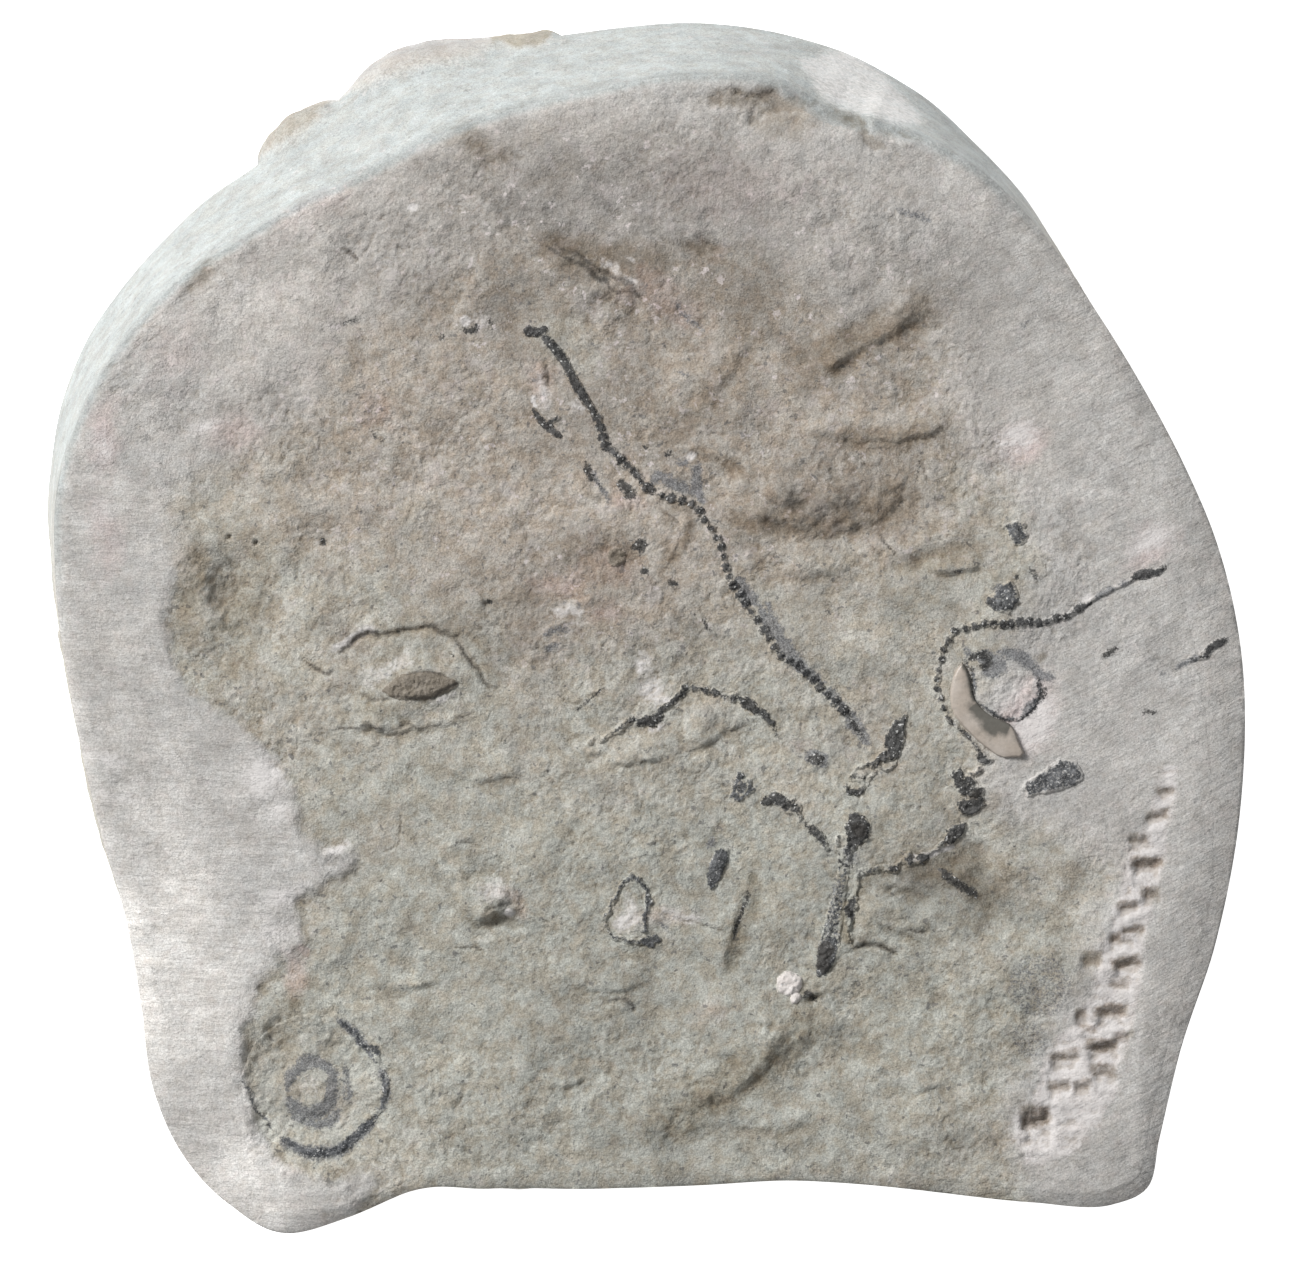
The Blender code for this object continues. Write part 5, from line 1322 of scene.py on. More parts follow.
        # Brown stains, with the painted shade on the cuts' faces
        stain = pen.scaled(self.mask(pen, Mark.STAIN_AND_SHADE), 0.8)
        colour = pen.mix(stain, colour, pen.tinted(colour, self.STAIN_AND_SHADE))
        no_lobe = pen.scaled(pen.mark(Mark.FOOT), -1.0, 1.0)
        bare = pen.math("MULTIPLY", self.mask(pen, Mark.PALE), no_lobe)
        colour = pen.mix(pen.scaled(bare, 0.82), colour, self.PALE)
        # Painted shade: the stain tint darkens the colour where the face lies below the ground round it
        hollow_shade = pen.step(pen.mark(Mark.CAVITY), 0.1, 1.0, 0.0, 0.5)
        return pen.mix(hollow_shade, colour, pen.tinted(colour, self.STAIN_AND_SHADE))

    def filmed(self, pen: Pen, where: Socket, speckle: Socket,
               colour: Socket) -> tuple[Socket, Socket]:
        """Lays the grey and the dark calcite over the stone, with painted glints and sheen on the calcite.

        Args:
            pen: Pen of the material.
            where: The shaded place.
            speckle: The grain's light and dark, partly painted shade in its pits.
            colour: Colour of the stone under it.

        Returns:
            The colour and the share of the darker film.
        """
        dusk = pen.mix(pen.step(speckle, 0.36, 0.68), self.GREY_FILM, self.GREY_LIGHT)
        colour = pen.mix(pen.scaled(self.mask(pen, Mark.GREY), 0.78), colour, dusk)
        film = self.mask(pen, Mark.FILM)
        # Painted highlights: glints from the grain and patches of sheen lighten the calcite
        glints = pen.step(speckle, 0.46, 0.72, 0.0, 0.8)
        lit = pen.math("ADD", glints, pen.patches(where, *self.SHEEN), clamp=True)
        calcite = pen.mix(lit, self.film, self.film_light)
        flecks = pen.scaled(pen.patches(where, *self.WHITE_FLECKS), self.flecks)
        calcite = pen.mix(flecks, calcite, self.FLECK)
        return pen.mix(pen.scaled(film, 0.93), colour, calcite), film

    def bump(self, pen: Pen, where: Socket, grain: Socket) -> Socket:
        """Roughens the surface with grain and tiny chips, and with file lines on the margin.

        Args:
            pen: Pen of the material.
            where: The shaded place.
            grain: The grain's height.

        Returns:
            The normal.
        """
        filed = pen.mark(Mark.FILED)
        big, small = (
            pen.scaled(pen.group(pen.effects.chips, size=size).outputs["Height"], share)
            for size, share in ((1.5, 0.20), (0.55, 0.22))
        )
        patches = pen.patches(where, *self.CHIPPED)
        chips = pen.math("MULTIPLY", pen.math("ADD", big, small), patches)
        height = pen.math("ADD", pen.scaled(grain, 0.075), chips)
        calmer = pen.scaled(pen.mark(Mark.GROUND_SIDE), -0.45, 1.0)
        rough = pen.math("MULTIPLY", pen.scaled(filed, -0.42, 1.0), calmer)
        height = pen.math("MULTIPLY", height, rough)
        lines = pen.math("MULTIPLY", pen.noise(pen.lines(0.2), 1.8, 3.0, 0.7), filed)
        return pen.bump(pen.math("ADD", height, pen.scaled(lines, 0.12)), MM)


@dataclass(frozen=True)
class ShellFinish:
    """Smooth, slightly glossy fossil shell, with painted shadow where it is shaded."""

    tan: Colour = (0.405, 0.350, 0.300)
    pinkish: Colour = (0.450, 0.400, 0.355)
    shaded: Colour = (0.092, 0.090, 0.078)

    def material(self, effects: Effects) -> bpy.types.Material:
        """Builds the material."""
        material, pen = blank_material("fossil_shell", effects)
        cloud = pen.patches(pen.place(), 0.6, 2.0, 0.5, 0.35, 0.65)
        colour = pen.mix(cloud, self.tan, self.pinkish)
        # Painted shadow on the sliver, in its shaded colour
        dark = pen.ragged(Mark.STAIN_AND_SHADE, raggedness=1.5, size=0.6, softness=0.5)
        colour = pen.mix(pen.scaled(dark, 0.9), colour, self.shaded)
        grain = pen.group(effects.grain, size=0.35, coarse=0.8).outputs
        # The speckle, partly painted shade in the grain's pits, lightens and darkens the shell
        pen.dress({
            "Base Color": pen.shade(colour, pen.step(grain["Speckle"], 0.3, 0.7, 0.93, 1.06)),
            "Roughness": 0.36,
            "Specular IOR Level": 0.5,
            "Normal": pen.bump(grain["Height"], 0.025 * MM),
        })
        return material


def finishes(effects: Effects) -> dict[Slot, bpy.types.Material]:
    """The finished material of every slot."""
    stone = StoneFinish()
    made = {
        Slot.MUDSTONE: stone,
        Slot.DARK_CALCITE: replace(stone, name="dark_calcite", film=(0.013, 0.014, 0.016),
                                   film_light=(0.125, 0.125, 0.125), flecks=0.7),
        Slot.GREY_CALCITE: replace(stone, name="grey_calcite", film=(0.034, 0.037, 0.042),
                                   film_light=(0.215, 0.222, 0.235)),
        Slot.BROWN_CALCITE: replace(stone, name="brown_calcite", film=(0.165, 0.140, 0.108),
                                    film_light=(0.30, 0.265, 0.225), flecks=0.0),
        Slot.PALE_CALCITE: replace(stone, name="pale_calcite", film=(0.66, 0.61, 0.585),
                                   film_light=(0.84, 0.80, 0.78), film_gloss=0.8, flecks=0.9),
        Slot.SHELL: ShellFinish(),
    }
    return {slot: finish.material(effects) for slot, finish in made.items()}


# --- Meshes ---


@dataclass
class Workshop:
    """What every piece is made with: the relief, the markings, the finishes and the plan's place.

    Attributes:
        relief: Heights of the face.
        markings: Markings of the face.
        materials: Finished material of each slot.
        shift: Place of the plan's working centre in the part's frame, in millimetres.
    """

    relief: Relief
    markings: Markings
    materials: dict[Slot, bpy.types.Material]
    shift: tuple[float, float]

    SHARP = math.radians(72.0)

    def piece(self, name: str, node: str, slot: Slot, points: Array, faces: list,
              marks: dict[Mark, Array]) -> bpy.types.Object:
        """Makes a finished mesh piece that rides on the part and stands for a solid.

        Args:
            name: The piece's name.
            node: The solid it stands for.
            slot: The record's slot that it takes its finish from.
            points: Places on the plan and heights, in millimetres.
            faces: Corner indices of each face.
            marks: Values to store at its points.

        Returns:
            The piece's object.
        """
        mesh = bpy.data.meshes.new(name)
        places = (points + np.array([*self.shift, 0.0])) * MM
        mesh.from_pydata(places, [], faces)
        for mark, values in marks.items():
            attribute = mesh.attributes.new(mark.value, "FLOAT", "POINT")
            attribute.data.foreach_set("value", np.asarray(values, np.float32))
        mesh.materials.append(self.materials[slot])
        mesh.shade_smooth()
        mesh.update()
        mesh.set_sharp_from_angle(angle=self.SHARP)
        made = bpy.data.objects.new(name, mesh)
        bpy.context.scene.collection.objects.link(made)
        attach(made, "root")
        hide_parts(node)
        log.info("%s: %d points, %d faces", name, len(points), len(faces))
        return made


def grid_cells(rows: int, columns: int) -> Array:
    """Corner indices of each cell between the rows of a grid, anticlockwise from above."""
    r, c = np.meshgrid(np.arange(rows - 1), np.arange(columns - 1), indexing="ij")
    corner = (r * columns + c).ravel()
    return np.stack([corner, corner + 1, corner + columns + 1, corner + columns], axis=1)


def plan_grid(low: Array, high: Array, spacing: float) -> tuple[tuple[int, int], Array, Array]:
    """Rows and columns of a grid over a box on the plan, and its points' x and y."""
    xs, ys = (np.arange(low[n], high[n], spacing) for n in range(2))
    y, x = np.meshgrid(ys, xs, indexing="ij")
    return (len(ys), len(xs)), x.ravel(), y.ravel()


def packed(cells: Array) -> tuple[Array, Array]:
    """The points that cells use, and the cells with those points numbered from 0."""
    used, cells = np.unique(cells, return_inverse=True)
    return used, cells.reshape(-1, 4)


def open_edges(cells: Array) -> list[tuple[int, int]]:
    """The edges that only one cell has, in that cell's direction."""
    edges = np.concatenate([cells[:, [n, (n + 1) % 4]] for n in range(4)]).tolist()
    twins = {tuple(edge) for edge in edges}
    return [(a, b) for a, b in edges if (b, a) not in twins]


def hollowness(grid: Array, passes: int, depth: float) -> Array:
    """How far each point of a grid lies below the ground round it.

    Args:
        grid: Heights, row by row.
        passes: How often they are blurred for the ground's own level.
        depth: Depth that counts as wholly sunk.

    Returns:
        A flat array from 0 to 1.
    """
    blurred = grid.copy()
    for _ in range(passes):
        padded = np.pad(blurred, 1, mode="edge")
        blurred = padded[:-2, 1:-1] + padded[2:, 1:-1] + padded[1:-1, :-2] + padded[1:-1, 2:]
        blurred = blurred / 4.0
    return np.clip((blurred - grid) / depth, 0.0, 1.0).ravel()


# Where the face is a finer skin: the parting, the disc and the tool's cuts
FACING_AREA = Outline(pairs(
    -35.5, 10.5, -35.8, 2, -34, -6, -29, -10.5, -27.6, -15, -28, -20, -30.4, -26, -31.2, -33, -28.5, -39,
    -22, -42, -12, -42, 0, -42, 10, -42, 20, -42, 29, -43, 35, -40.5, 39.5, -33, 40.5, -24, 40.6, -14,
    40, -6, 38.2, 3, 35, 9, 31, 15, 28, 21, 24.4, 27.5, 19, 33.5, 14, 38.5, 4, 39.6, -4, 36, -10, 34.8,
    -17, 31, -24, 27.5, -30, 21.5, -34, 16
))


@dataclass
class Facing:
    """The finer skin of the face, laid in bands on the slab, which is sunk a little under it.

    Attributes:
        spacing: Spacing of its grid.
        bands: Number of bands from bottom to top.
        lift: How much it stands over the slab's own face.
        margin: How far past the area's outline its dipping edge runs.
        bed: Height of its underside.
    """

    spacing: float = 0.16
    bands: int = 3
    lift: float = 0.015
    margin: float = 0.45
    bed: float = 17.6

    SUNK = 0.7
    EDGE = 1.0
    BLURS, SUNKEN = 14, 0.08
    DIP, DIP_START = 0.35, 0.12

    def build(self, shop: Workshop) -> None:
        """Builds the bands."""
        corners = np.array(FACING_AREA.points)
        low, high = corners.min(axis=0) - 1.0, corners.max(axis=0) + 1.0
        shape, x, y = plan_grid(low, high, self.spacing)
        inset, drop = shop.relief.rim.inset(x, y)
        depth = np.minimum(FACING_AREA.inside(x, y), inset - self.EDGE)
        marks = shop.markings.values(x, y)
        level = shop.relief.height(x, y, marks[Mark.NATURAL], marks[Mark.FILED])
        # How sunk each place is, for the painted shade in hollows
        marks[Mark.CAVITY] = hollowness(level.reshape(shape), self.BLURS, self.SUNKEN)
        z = level - drop + self.lift - self.DIP * np.clip(self.DIP_START - depth, 0.0, None)
        points = np.column_stack([x, y, z])
        up_y, up_x = np.gradient(z.reshape(shape), self.spacing)
        up_y = (np.roll(up_y, 1, 1) + 2.0 * up_y + np.roll(up_y, -1, 1)) / 4.0
        up_x = (np.roll(up_x, 1, 0) + 2.0 * up_x + np.roll(up_x, -1, 0)) / 4.0
        normals = np.column_stack([-up_x.ravel(), -up_y.ravel(), np.ones(len(x))])
        cells = grid_cells(*shape)
        kept = (depth[cells] > -self.margin).any(axis=1)
        row = np.repeat(np.arange(shape[0] - 1), shape[1] - 1)
        share = np.cumsum(kept) / kept.sum()
        starts = [int(row[np.searchsorted(share, n / self.bands)]) for n in range(self.bands)]
        for number, (first, last) in enumerate(zip(starts, [*starts[1:], shape[0]])):
            band = cells[kept & (row >= first) & (row < last)]
            self.lay(shop, f"face_of_the_slab_{number + 1}", points, normals, marks, band)

    def lay(self, shop: Workshop, name: str, points: Array, normals: Array,
            marks: dict[Mark, Array], cells: Array) -> None:
        """Makes one band: its top, a wall round it and a flat underside.

        Args:
            shop: What the pieces are made with.
            name: The band's name.
            points: All the points of the whole grid.
            normals: Which way the face looks at them, so that bands meet without a seam.
            marks: Their markings.
            cells: The band's cells.
        """
        used, cells = packed(cells)
        top = points[used]
        after = dict(open_edges(cells))
        loop = [next(iter(after))]
        while after[loop[-1]] != loop[0]:
            loop.append(after[loop[-1]])
        border = np.array(loop)
        under = top[border].copy()
        under[:, 2] = self.bed
        lower = len(used) + np.arange(len(border))
        wall = np.stack([np.roll(border, -1), border, lower, np.roll(lower, -1)], axis=1)
        faces = [*cells.tolist(), *wall.tolist(), lower[::-1].tolist()]
        values = {mark: np.concatenate([v[used], v[used][border]]) for mark, v in marks.items()}
        points = np.concatenate([top, under])
        made = shop.piece(name, "matrix_slab", Slot.MUDSTONE, points, faces, values)
        looks = np.concatenate([normals[used], under * 0.0 - (0.0, 0.0, 1.0)])
        looks /= np.linalg.norm(looks, axis=1)[:, None]
        made.data.normals_split_custom_set_from_vertices(looks.tolist())


@dataclass
class MatrixSlab:
    """The mudstone slab: a dense face, its sides and its flat back.

    Attributes:
        cells: Cells along each side of the face's grid.
        crowding: How much the grid's lines gather towards the rim.
        wall_rows: Rows of points down the sides.
        foot_round: Rounding of the slab's lower edge, in millimetres.
        lobes: Bearing, half-width in degrees, bulge and paleness of the unworked lobes.
    """

    cells: int = 256
    crowding: float = 0.12
    wall_rows: int = 14
    foot_round: float = 0.5
    # A lobe's low paleness gives it the darker foot colour, painted shade
    lobes: tuple[tuple[float, float, float, float], ...] = (
        (125.0, 5.0, 1.45, 0.35), (111.5, 9.4, 1.15, 0.9), (101.4, 3.2, 0.45, 0.0),
    )

    ARC = 42.0
    SCALLOP = 0.18
    LOBE_TOP = 0.42
    ROUNDNESS = 2.4
    BLURS, SUNKEN = 5, 0.09

    def face(self, shop: Workshop) -> tuple[Array, dict[Mark, Array]]:
        """The face's points and their markings."""
        relief = shop.relief
        line = np.linspace(-1.0, 1.0, self.cells + 1)
        line = (1.0 - self.crowding) * line + self.crowding * np.sin(line * math.pi / 2.0)
        v, u = np.meshgrid(line, line, indexing="ij")
        u, v = u.ravel(), v.ravel()
        disc_x, disc_y = u * np.sqrt(1.0 - v * v / 2.0), v * np.sqrt(1.0 - u * u / 2.0)
        share, bearing = np.hypot(disc_x, disc_y), np.arctan2(disc_y, disc_x)
        radius = relief.rim.read(bearing, "radius")
        x, y = share * radius * np.cos(bearing), share * radius * np.sin(bearing)
        marks = shop.markings.values(x, y)
        inset, drop = relief.rim.inset(x, y)
        worn = np.clip(1.0 - inset / relief.rim.read(bearing, "width"), 0.0, 1.0)
        level = relief.height(x, y, marks[Mark.NATURAL], marks[Mark.FILED])
        faced = np.minimum(FACING_AREA.inside(x, y), inset - Facing.EDGE)
        z = level - drop - Facing.SUNK * smooth(0.6, 1.2, faced)
        shape = (self.cells + 1, self.cells + 1)
        # How sunk each place is, for the painted shade in hollows
        marks[Mark.CAVITY] = hollowness(level.reshape(shape), self.BLURS, self.SUNKEN)
        degrees = np.degrees(bearing) % 360.0
        upper = smooth(38.0, 60.0, degrees) * (1.0 - smooth(165.0, 185.0, degrees))
        marks[Mark.GROUND_SIDE] = smooth(0.0, 1.0, worn * 1.3) * upper
        return np.stack([x, y, z], axis=1), marks

    def border(self) -> Array:
        """Indices of the face's border points, anticlockwise seen from above."""
        side = self.cells + 1
        bottom = np.arange(side - 1)
        right = np.arange(side - 1) * side + side - 1
        top = side * (side - 1) + np.arange(side - 1, 0, -1)
        left = np.arange(side - 1, 0, -1) * side
        return np.concatenate([bottom, right, top, left])

    def wall(self, shop: Workshop, edge: Array) -> tuple[Array, dict[Mark, Array]]:
        """The side's points from under the face's edge to the back, row by row."""
        rim, noise = shop.relief.rim, Noise(31)
        bearing = np.arctan2(edge[:, 1], edge[:, 0])
        degrees = np.degrees(bearing) % 360.0
        start = np.hypot(edge[:, 0], edge[:, 1])
        flare = rim.read(bearing, "flare")
        worked = smooth(0.9, 2.2, flare)
        bulge, lobe, pale = np.zeros((3, len(edge)))
        for middle, half, height, whiteness in self.lobes:
            across = np.clip(np.abs(degrees - middle) / half, 0.0, 1.0)
            share = np.sqrt(1.0 - across**self.ROUNDNESS)
            bulge = np.maximum(bulge, height * share)
            lobe = np.maximum(lobe, share)
            pale = np.where(share > 0.0, whiteness, pale)
        arc = bearing * self.ARC
        scallop = self.SCALLOP * worked * noise.at(arc, arc * 0.0, 4.2)
        rows, marks = [], {mark: [] for mark in Mark}
        for down in np.linspace(0.0, 1.0, self.wall_rows + 1)[1:]:
            height = edge[:, 2] * (1.0 - down)
            out = flare * np.interp(down, [0.0, 0.7, 0.86, 1.0], [0.0, 0.97, 1.0, 0.9])
            above = ((1.0 - down) / self.LOBE_TOP) ** self.ROUNDNESS
            low = np.sqrt(np.clip(1.0 - above / np.clip(lobe, 0.05, 1.0) ** 2, 0.0, 1.0))
            round_in = self.foot_round * float(smooth(0.90, 1.0, np.array(down)))
            rough = (1.0 - worked) * 0.13 + worked * lobe * low * 0.35
            bumps = rough * noise.layered(arc, height, 3.2, 3) + scallop * down
            radius = start + out + bulge * low + bumps * min(1.0, down * 6.0) - round_in
            rows.append(np.stack([radius * np.cos(bearing), radius * np.sin(bearing), height], 1))
            blank = np.zeros(len(edge))
            places = shop.relief.warped(*rows[-1][:, :2].T)
            values = {mark: blank for mark in Mark} | {
                Mark.CRACK_AND_SHADE: blank - 1.0, Mark.FILM: blank - 1.0, Mark.GREY: blank - 1.0,
                Mark.NATURAL: 0.35 + 0.5 * (1.0 - worked),
                Mark.GROUND_SIDE: worked * (1.0 - lobe * low),
                Mark.FOOT: 1.3 * worked * lobe * low + (1.0 - worked) * 0.12,
                Mark.PALE: np.maximum(pale * low, shop.markings.laid(PALES, *places)),
                Mark.ACROSS: arc, Mark.ALONG: height, Mark.FILED: worked * 0.2,
            }
            for mark in Mark:
                marks[mark].append(values[mark])
        stacked = {mark: np.concatenate(values) for mark, values in marks.items()}
        return np.concatenate(rows), stacked

    def build(self, shop: Workshop) -> None:
        """Builds the slab."""
        face, marks = self.face(shop)
        border = self.border()
        wall, wall_marks = self.wall(shop, face[border])
        count = len(border)
        faces = grid_cells(self.cells + 1, self.cells + 1).tolist()
        rings = [border] + [
            len(face) + row * count + np.arange(count) for row in range(self.wall_rows)
        ]
        for upper, lower in zip(rings, rings[1:]):
            quads = np.stack([upper, lower, np.roll(lower, -1), np.roll(upper, -1)], axis=1)
            faces.extend(quads.tolist())
        faces.append(rings[-1][::-1].tolist())
        values = {mark: np.concatenate([marks[mark], wall_marks[mark]]) for mark in Mark}
        points = np.concatenate([face, wall])
        shop.piece("slab_of_mudstone", "matrix_slab", Slot.MUDSTONE, points, faces, values)


# --- Fossils ---


@dataclass(frozen=True)
class Strand:
    """A run of calcite along a route.

    Attributes:
        stations: Rows of x, y, half-width and share of stone that shows through it.
    """

    stations: tuple[tuple[float, float, float, float], ...]

    def circles(self) -> Array:
        """Rows of x, y, radius and dust, close enough to run together."""
        return smooth_route(self.stations, 0.08)


def strands(*rows: tuple[float, ...]) -> tuple[Strand, ...]:
    """Strands from rows of each station's x, y, half-width and dust in turn."""
    return tuple(Strand(tuple(zip(*[iter(row)] * 4))) for row in rows)


@dataclass(frozen=True)
class Beads:
    """A row of beads along a route, joined by a thinner link.

    Attributes:
        points: Places the route passes.
        radius: Usual radius of a bead.
        dust: Usual share of stone that shows through.
        link: Radius between beads as a share of a bead's.
        pitch: Distance from one bead to the next.
        seed: Seed of the beads' differences.
    """

    points: tuple[Point, ...]
    radius: float = 0.31
    dust: float = 0.08
    link: float = 0.52
    pitch: float = 0.74
    seed: int = 1

    def circles(self) -> Array:
        """Rows of x, y, radius and dust: the link's, then the beads'."""
        rng = np.random.default_rng(self.seed)
        thread = smooth_route(self.points, 0.08)
        beads = smooth_route(self.points, self.pitch)
        count = len(beads)
        sizes = self.radius * rng.uniform(0.78, 1.14, count)
        places = beads + rng.uniform(-0.05, 0.05, (count, 2))
        dusts = np.clip(self.dust + rng.uniform(-0.1, 0.22, count), 0.0, 1.0)
        link = np.full((len(thread), 1), self.link * self.radius)
        dusty = np.full((len(thread), 1), self.dust + 0.14)
        return np.concatenate([
            np.hstack([thread, link, dusty]),
            np.hstack([places, sizes[:, None], dusts[:, None]]),
        ])


@dataclass(frozen=True)
class Sheet:
    """A flat area of calcite or shell inside an outline or oval.

    Attributes:
        outline: Its edge.
        dust: Share of stone that shows through it.
    """

    outline: Outline | Oval
    dust: float = 0.0


@dataclass(frozen=True)
class Inlay:
    """A fossil that lies in the stone, a little proud of it.

    Attributes:
        name: The piece's name.
        node: The solid it stands for.
        slot: Its finish.
        parts: What it is made up of.
        stand: How far its middle stands above the stone.
        rise: How far in from its edge it reaches that height.
        ragged: How far its edge wanders.
        fibres: Degrees that its fibres are turned from +x, or none.
        spacing: Spacing of its mesh.
        hollows: Ovals raised or sunk in it.
        seed: Seed of its edge.
    """

    name: str
    node: str
    slot: Slot
    parts: tuple[Strand | Beads | Sheet, ...]
    stand: float = 0.14
    rise: float = 0.3
    ragged: float = 0.14
    fibres: float | None = None
    spacing: float = 0.09
    hollows: tuple[Oval, ...] = ()
    seed: int = 1

    MARGIN = 0.24
    ROOT = 0.5
    FILM_SOFTNESS = 0.42
    BUMP = 0.06
    PROUD = 0.03

    def bounds(self) -> tuple[Array, Array]:
        """Lowest and highest corner of the piece on the plan."""
        lows, highs = [], []
        for part in self.parts:
            if not isinstance(part, Sheet):
                rows = part.circles()
                size = rows[:, 2].max()
            elif isinstance(part.outline, Oval):
                rows, size = np.array([part.outline.centre]), max(part.outline.halves)
            else:
                rows, size = np.array(part.outline.points), 0.0
            lows.append(rows[:, :2].min(axis=0) - size)
            highs.append(rows[:, :2].max(axis=0) + size)
        spare = self.MARGIN + 2.5 * self.ragged + self.spacing
        return np.min(lows, axis=0) - spare, np.max(highs, axis=0) + spare

    def cover(self, x: Array, y: Array) -> tuple[Array, Array]:
        """Distance in from the nearest edge, negative outside, and the dust there."""
        best, dust = np.full(x.shape, -9.0), np.zeros(x.shape)
        for part in self.parts:
            if isinstance(part, Sheet):
                depth = part.outline.inside(x, y)
                dust = np.where(depth > best, part.dust, dust)
                best = np.maximum(best, depth)
                continue
            for cx, cy, radius, dusty in part.circles():
                near = np.abs(x - cx) + np.abs(y - cy) < 2.0 + radius
                depth = radius - np.hypot(x[near] - cx, y[near] - cy)
                better = depth > best[near]
                dust[near] = np.where(better, dusty, dust[near])
                best[near] = np.where(better, depth, best[near])
        return best, dust

    def warped(self, x: Array, y: Array) -> tuple[Array, Array]:
        """Places moved a little, so that the edge wanders, along the fibres where it has some."""
        noise = Noise(self.seed + 200)
        if self.fibres is None:
            wx = x + self.ragged * noise.layered(x, y, 0.5, 3)
            return wx, y + self.ragged * noise.layered(y, x, 0.6, 3)
        a = math.radians(self.fibres)
        across = y * math.cos(a) - x * math.sin(a)
        along = x * math.cos(a) + y * math.sin(a)
        push = 3.2 * self.ragged * noise.layered(along * 0.3, across * 1.6, 0.5, 3)
        return x + push * math.cos(a), y + push * math.sin(a)

    def build(self, shop: Workshop) -> None:
        """Builds the piece: a patch of grid, closed with a wall and an underside."""
        low, high = self.bounds()
        shape, x, y = plan_grid(low, high, self.spacing)
        depth, dust = self.cover(*self.warped(x, y))
        cells = grid_cells(*shape)
        used, cells = packed(cells[(depth[cells] > -self.MARGIN).any(axis=1)])
        x, y, depth, dust = x[used], y[used], depth[used], dust[used]
        z = self.surface(shop, x, y, depth)
        marks = self.marks(shop, x, y, depth, dust)
        top = np.column_stack([x, y, z])
        under = np.column_stack([x, y, z - self.ROOT])
        count = len(used)
        faces = cells.tolist() + (cells[:, ::-1] + count).tolist()
        faces += [[b, a, a + count, b + count] for a, b in open_edges(cells)]
        points = np.concatenate([top, under])
        doubled = {mark: np.concatenate([values, values]) for mark, values in marks.items()}
        shop.piece(self.name, self.node, self.slot, points, faces, doubled)

    def surface(self, shop: Workshop, x: Array, y: Array, depth: Array) -> Array:
        """Height of its top: domed inside its edge and sunk below the stone outside it."""
        noise = Noise(self.seed + 300)
        relief = shop.relief
        ground = relief.height(x, y, relief.natural(x, y), relief.filed(x, y))
        ground = ground - relief.rim.inset(x, y)[1]
        full = np.clip(depth / self.rise, 0.0, 1.0)
        dome = self.stand * np.sqrt(full * (2.0 - full))
        bumps = self.BUMP * noise.layered(x, y, 0.42, 3) * full
        sunk = np.where(depth < 0.0, 0.9 * depth, 0.0)
        z = ground + self.PROUD + dome + bumps + sunk
        for hollow in self.hollows:
            z = z + hollow.strength * hollow.share(x, y)
        return z

    def marks(self, shop: Workshop, x: Array, y: Array, depth: Array,
              dust: Array) -> dict[Mark, Array]:
        """The stone's markings at its points, with its own calcite laid over them."""
        marks = shop.markings.values(x, y)
        own = np.minimum(0.5 + depth / self.FILM_SOFTNESS, 1.15) - 0.95 * dust
        marks[Mark.FILM] = np.maximum(own, marks[Mark.FILM])
        marks[Mark.PALE] = marks[Mark.PALE] * 0.6
        return marks


@dataclass(frozen=True)
class ShellSliver(Inlay):
    """The curved, smooth sliver of shell, with painted shadow across its middle.

    Attributes:
        shaded: Where the painted shadow lies.
        arch: How much its middle stands above its edges.
    """

    shaded: tuple[Line | Oval, ...] = ()
    arch: float = 0.22

    def surface(self, shop: Workshop, x: Array, y: Array, depth: Array) -> Array:
        """A smooth arch on the ground's own average level."""
        columns = np.column_stack([np.ones(len(x)), x, y])
        relief = shop.relief
        ground = relief.height(x, y, relief.natural(x, y), relief.filed(x, y))
        level = columns @ np.linalg.lstsq(columns, ground, rcond=None)[0]
        full = np.clip(depth / 0.9, 0.0, 1.0)
        edge = smooth(-0.02, 0.10, depth)
        arch = self.arch * np.sqrt(full * (2.0 - full))
        return level - 0.3 + edge * (0.3 + self.stand + arch)

    def marks(self, shop: Workshop, x: Array, y: Array, depth: Array,
              dust: Array) -> dict[Mark, Array]:
        """Where the painted shadow lies, kept in the stain mark."""
        return {Mark.STAIN_AND_SHADE: shop.markings.laid(self.shaded, x, y)}



LONG_ARM = (
    Beads(pairs(
        14, -5.7, 12.5, -4.2, 11, -2.7, 9.5, -1.8, 8.4, 0, 7.2, 1.7, 6.3, 3, 5.5, 5, 5.2, 6.2, 4.2, 7.9,
        3.1, 9, 1.3, 9.5, 0.4, 9.9
    ), radius=0.37, link=0.4, seed=41),
    Beads(pairs(
        0, 10.2, -1.3, 11.7, -2.4, 12.7, -3, 13.4, -3.3, 14.4, -3.5, 15.1
    ), radius=0.4, link=0.72, pitch=0.7, seed=46),
    *strands(
        (-3.5, 15.1, 0.24, 0.1, -4.4, 16.5, 0.33, 0.1, -5.1, 17.6, 0.37, 0.05, -5.6, 18.6, 0.34, 0.08,
         -6.1, 19.5, 0.37, 0.08, -6.6, 20.1, 0.37, 0.05, -7.2, 20.8, 0.3, 0.1),
        (-7.3, 21.4, 0.3, 0.05, -7.8, 21.2, 0.34, 0, -8.4, 21.3, 0.42, 0.05),
    ),
)
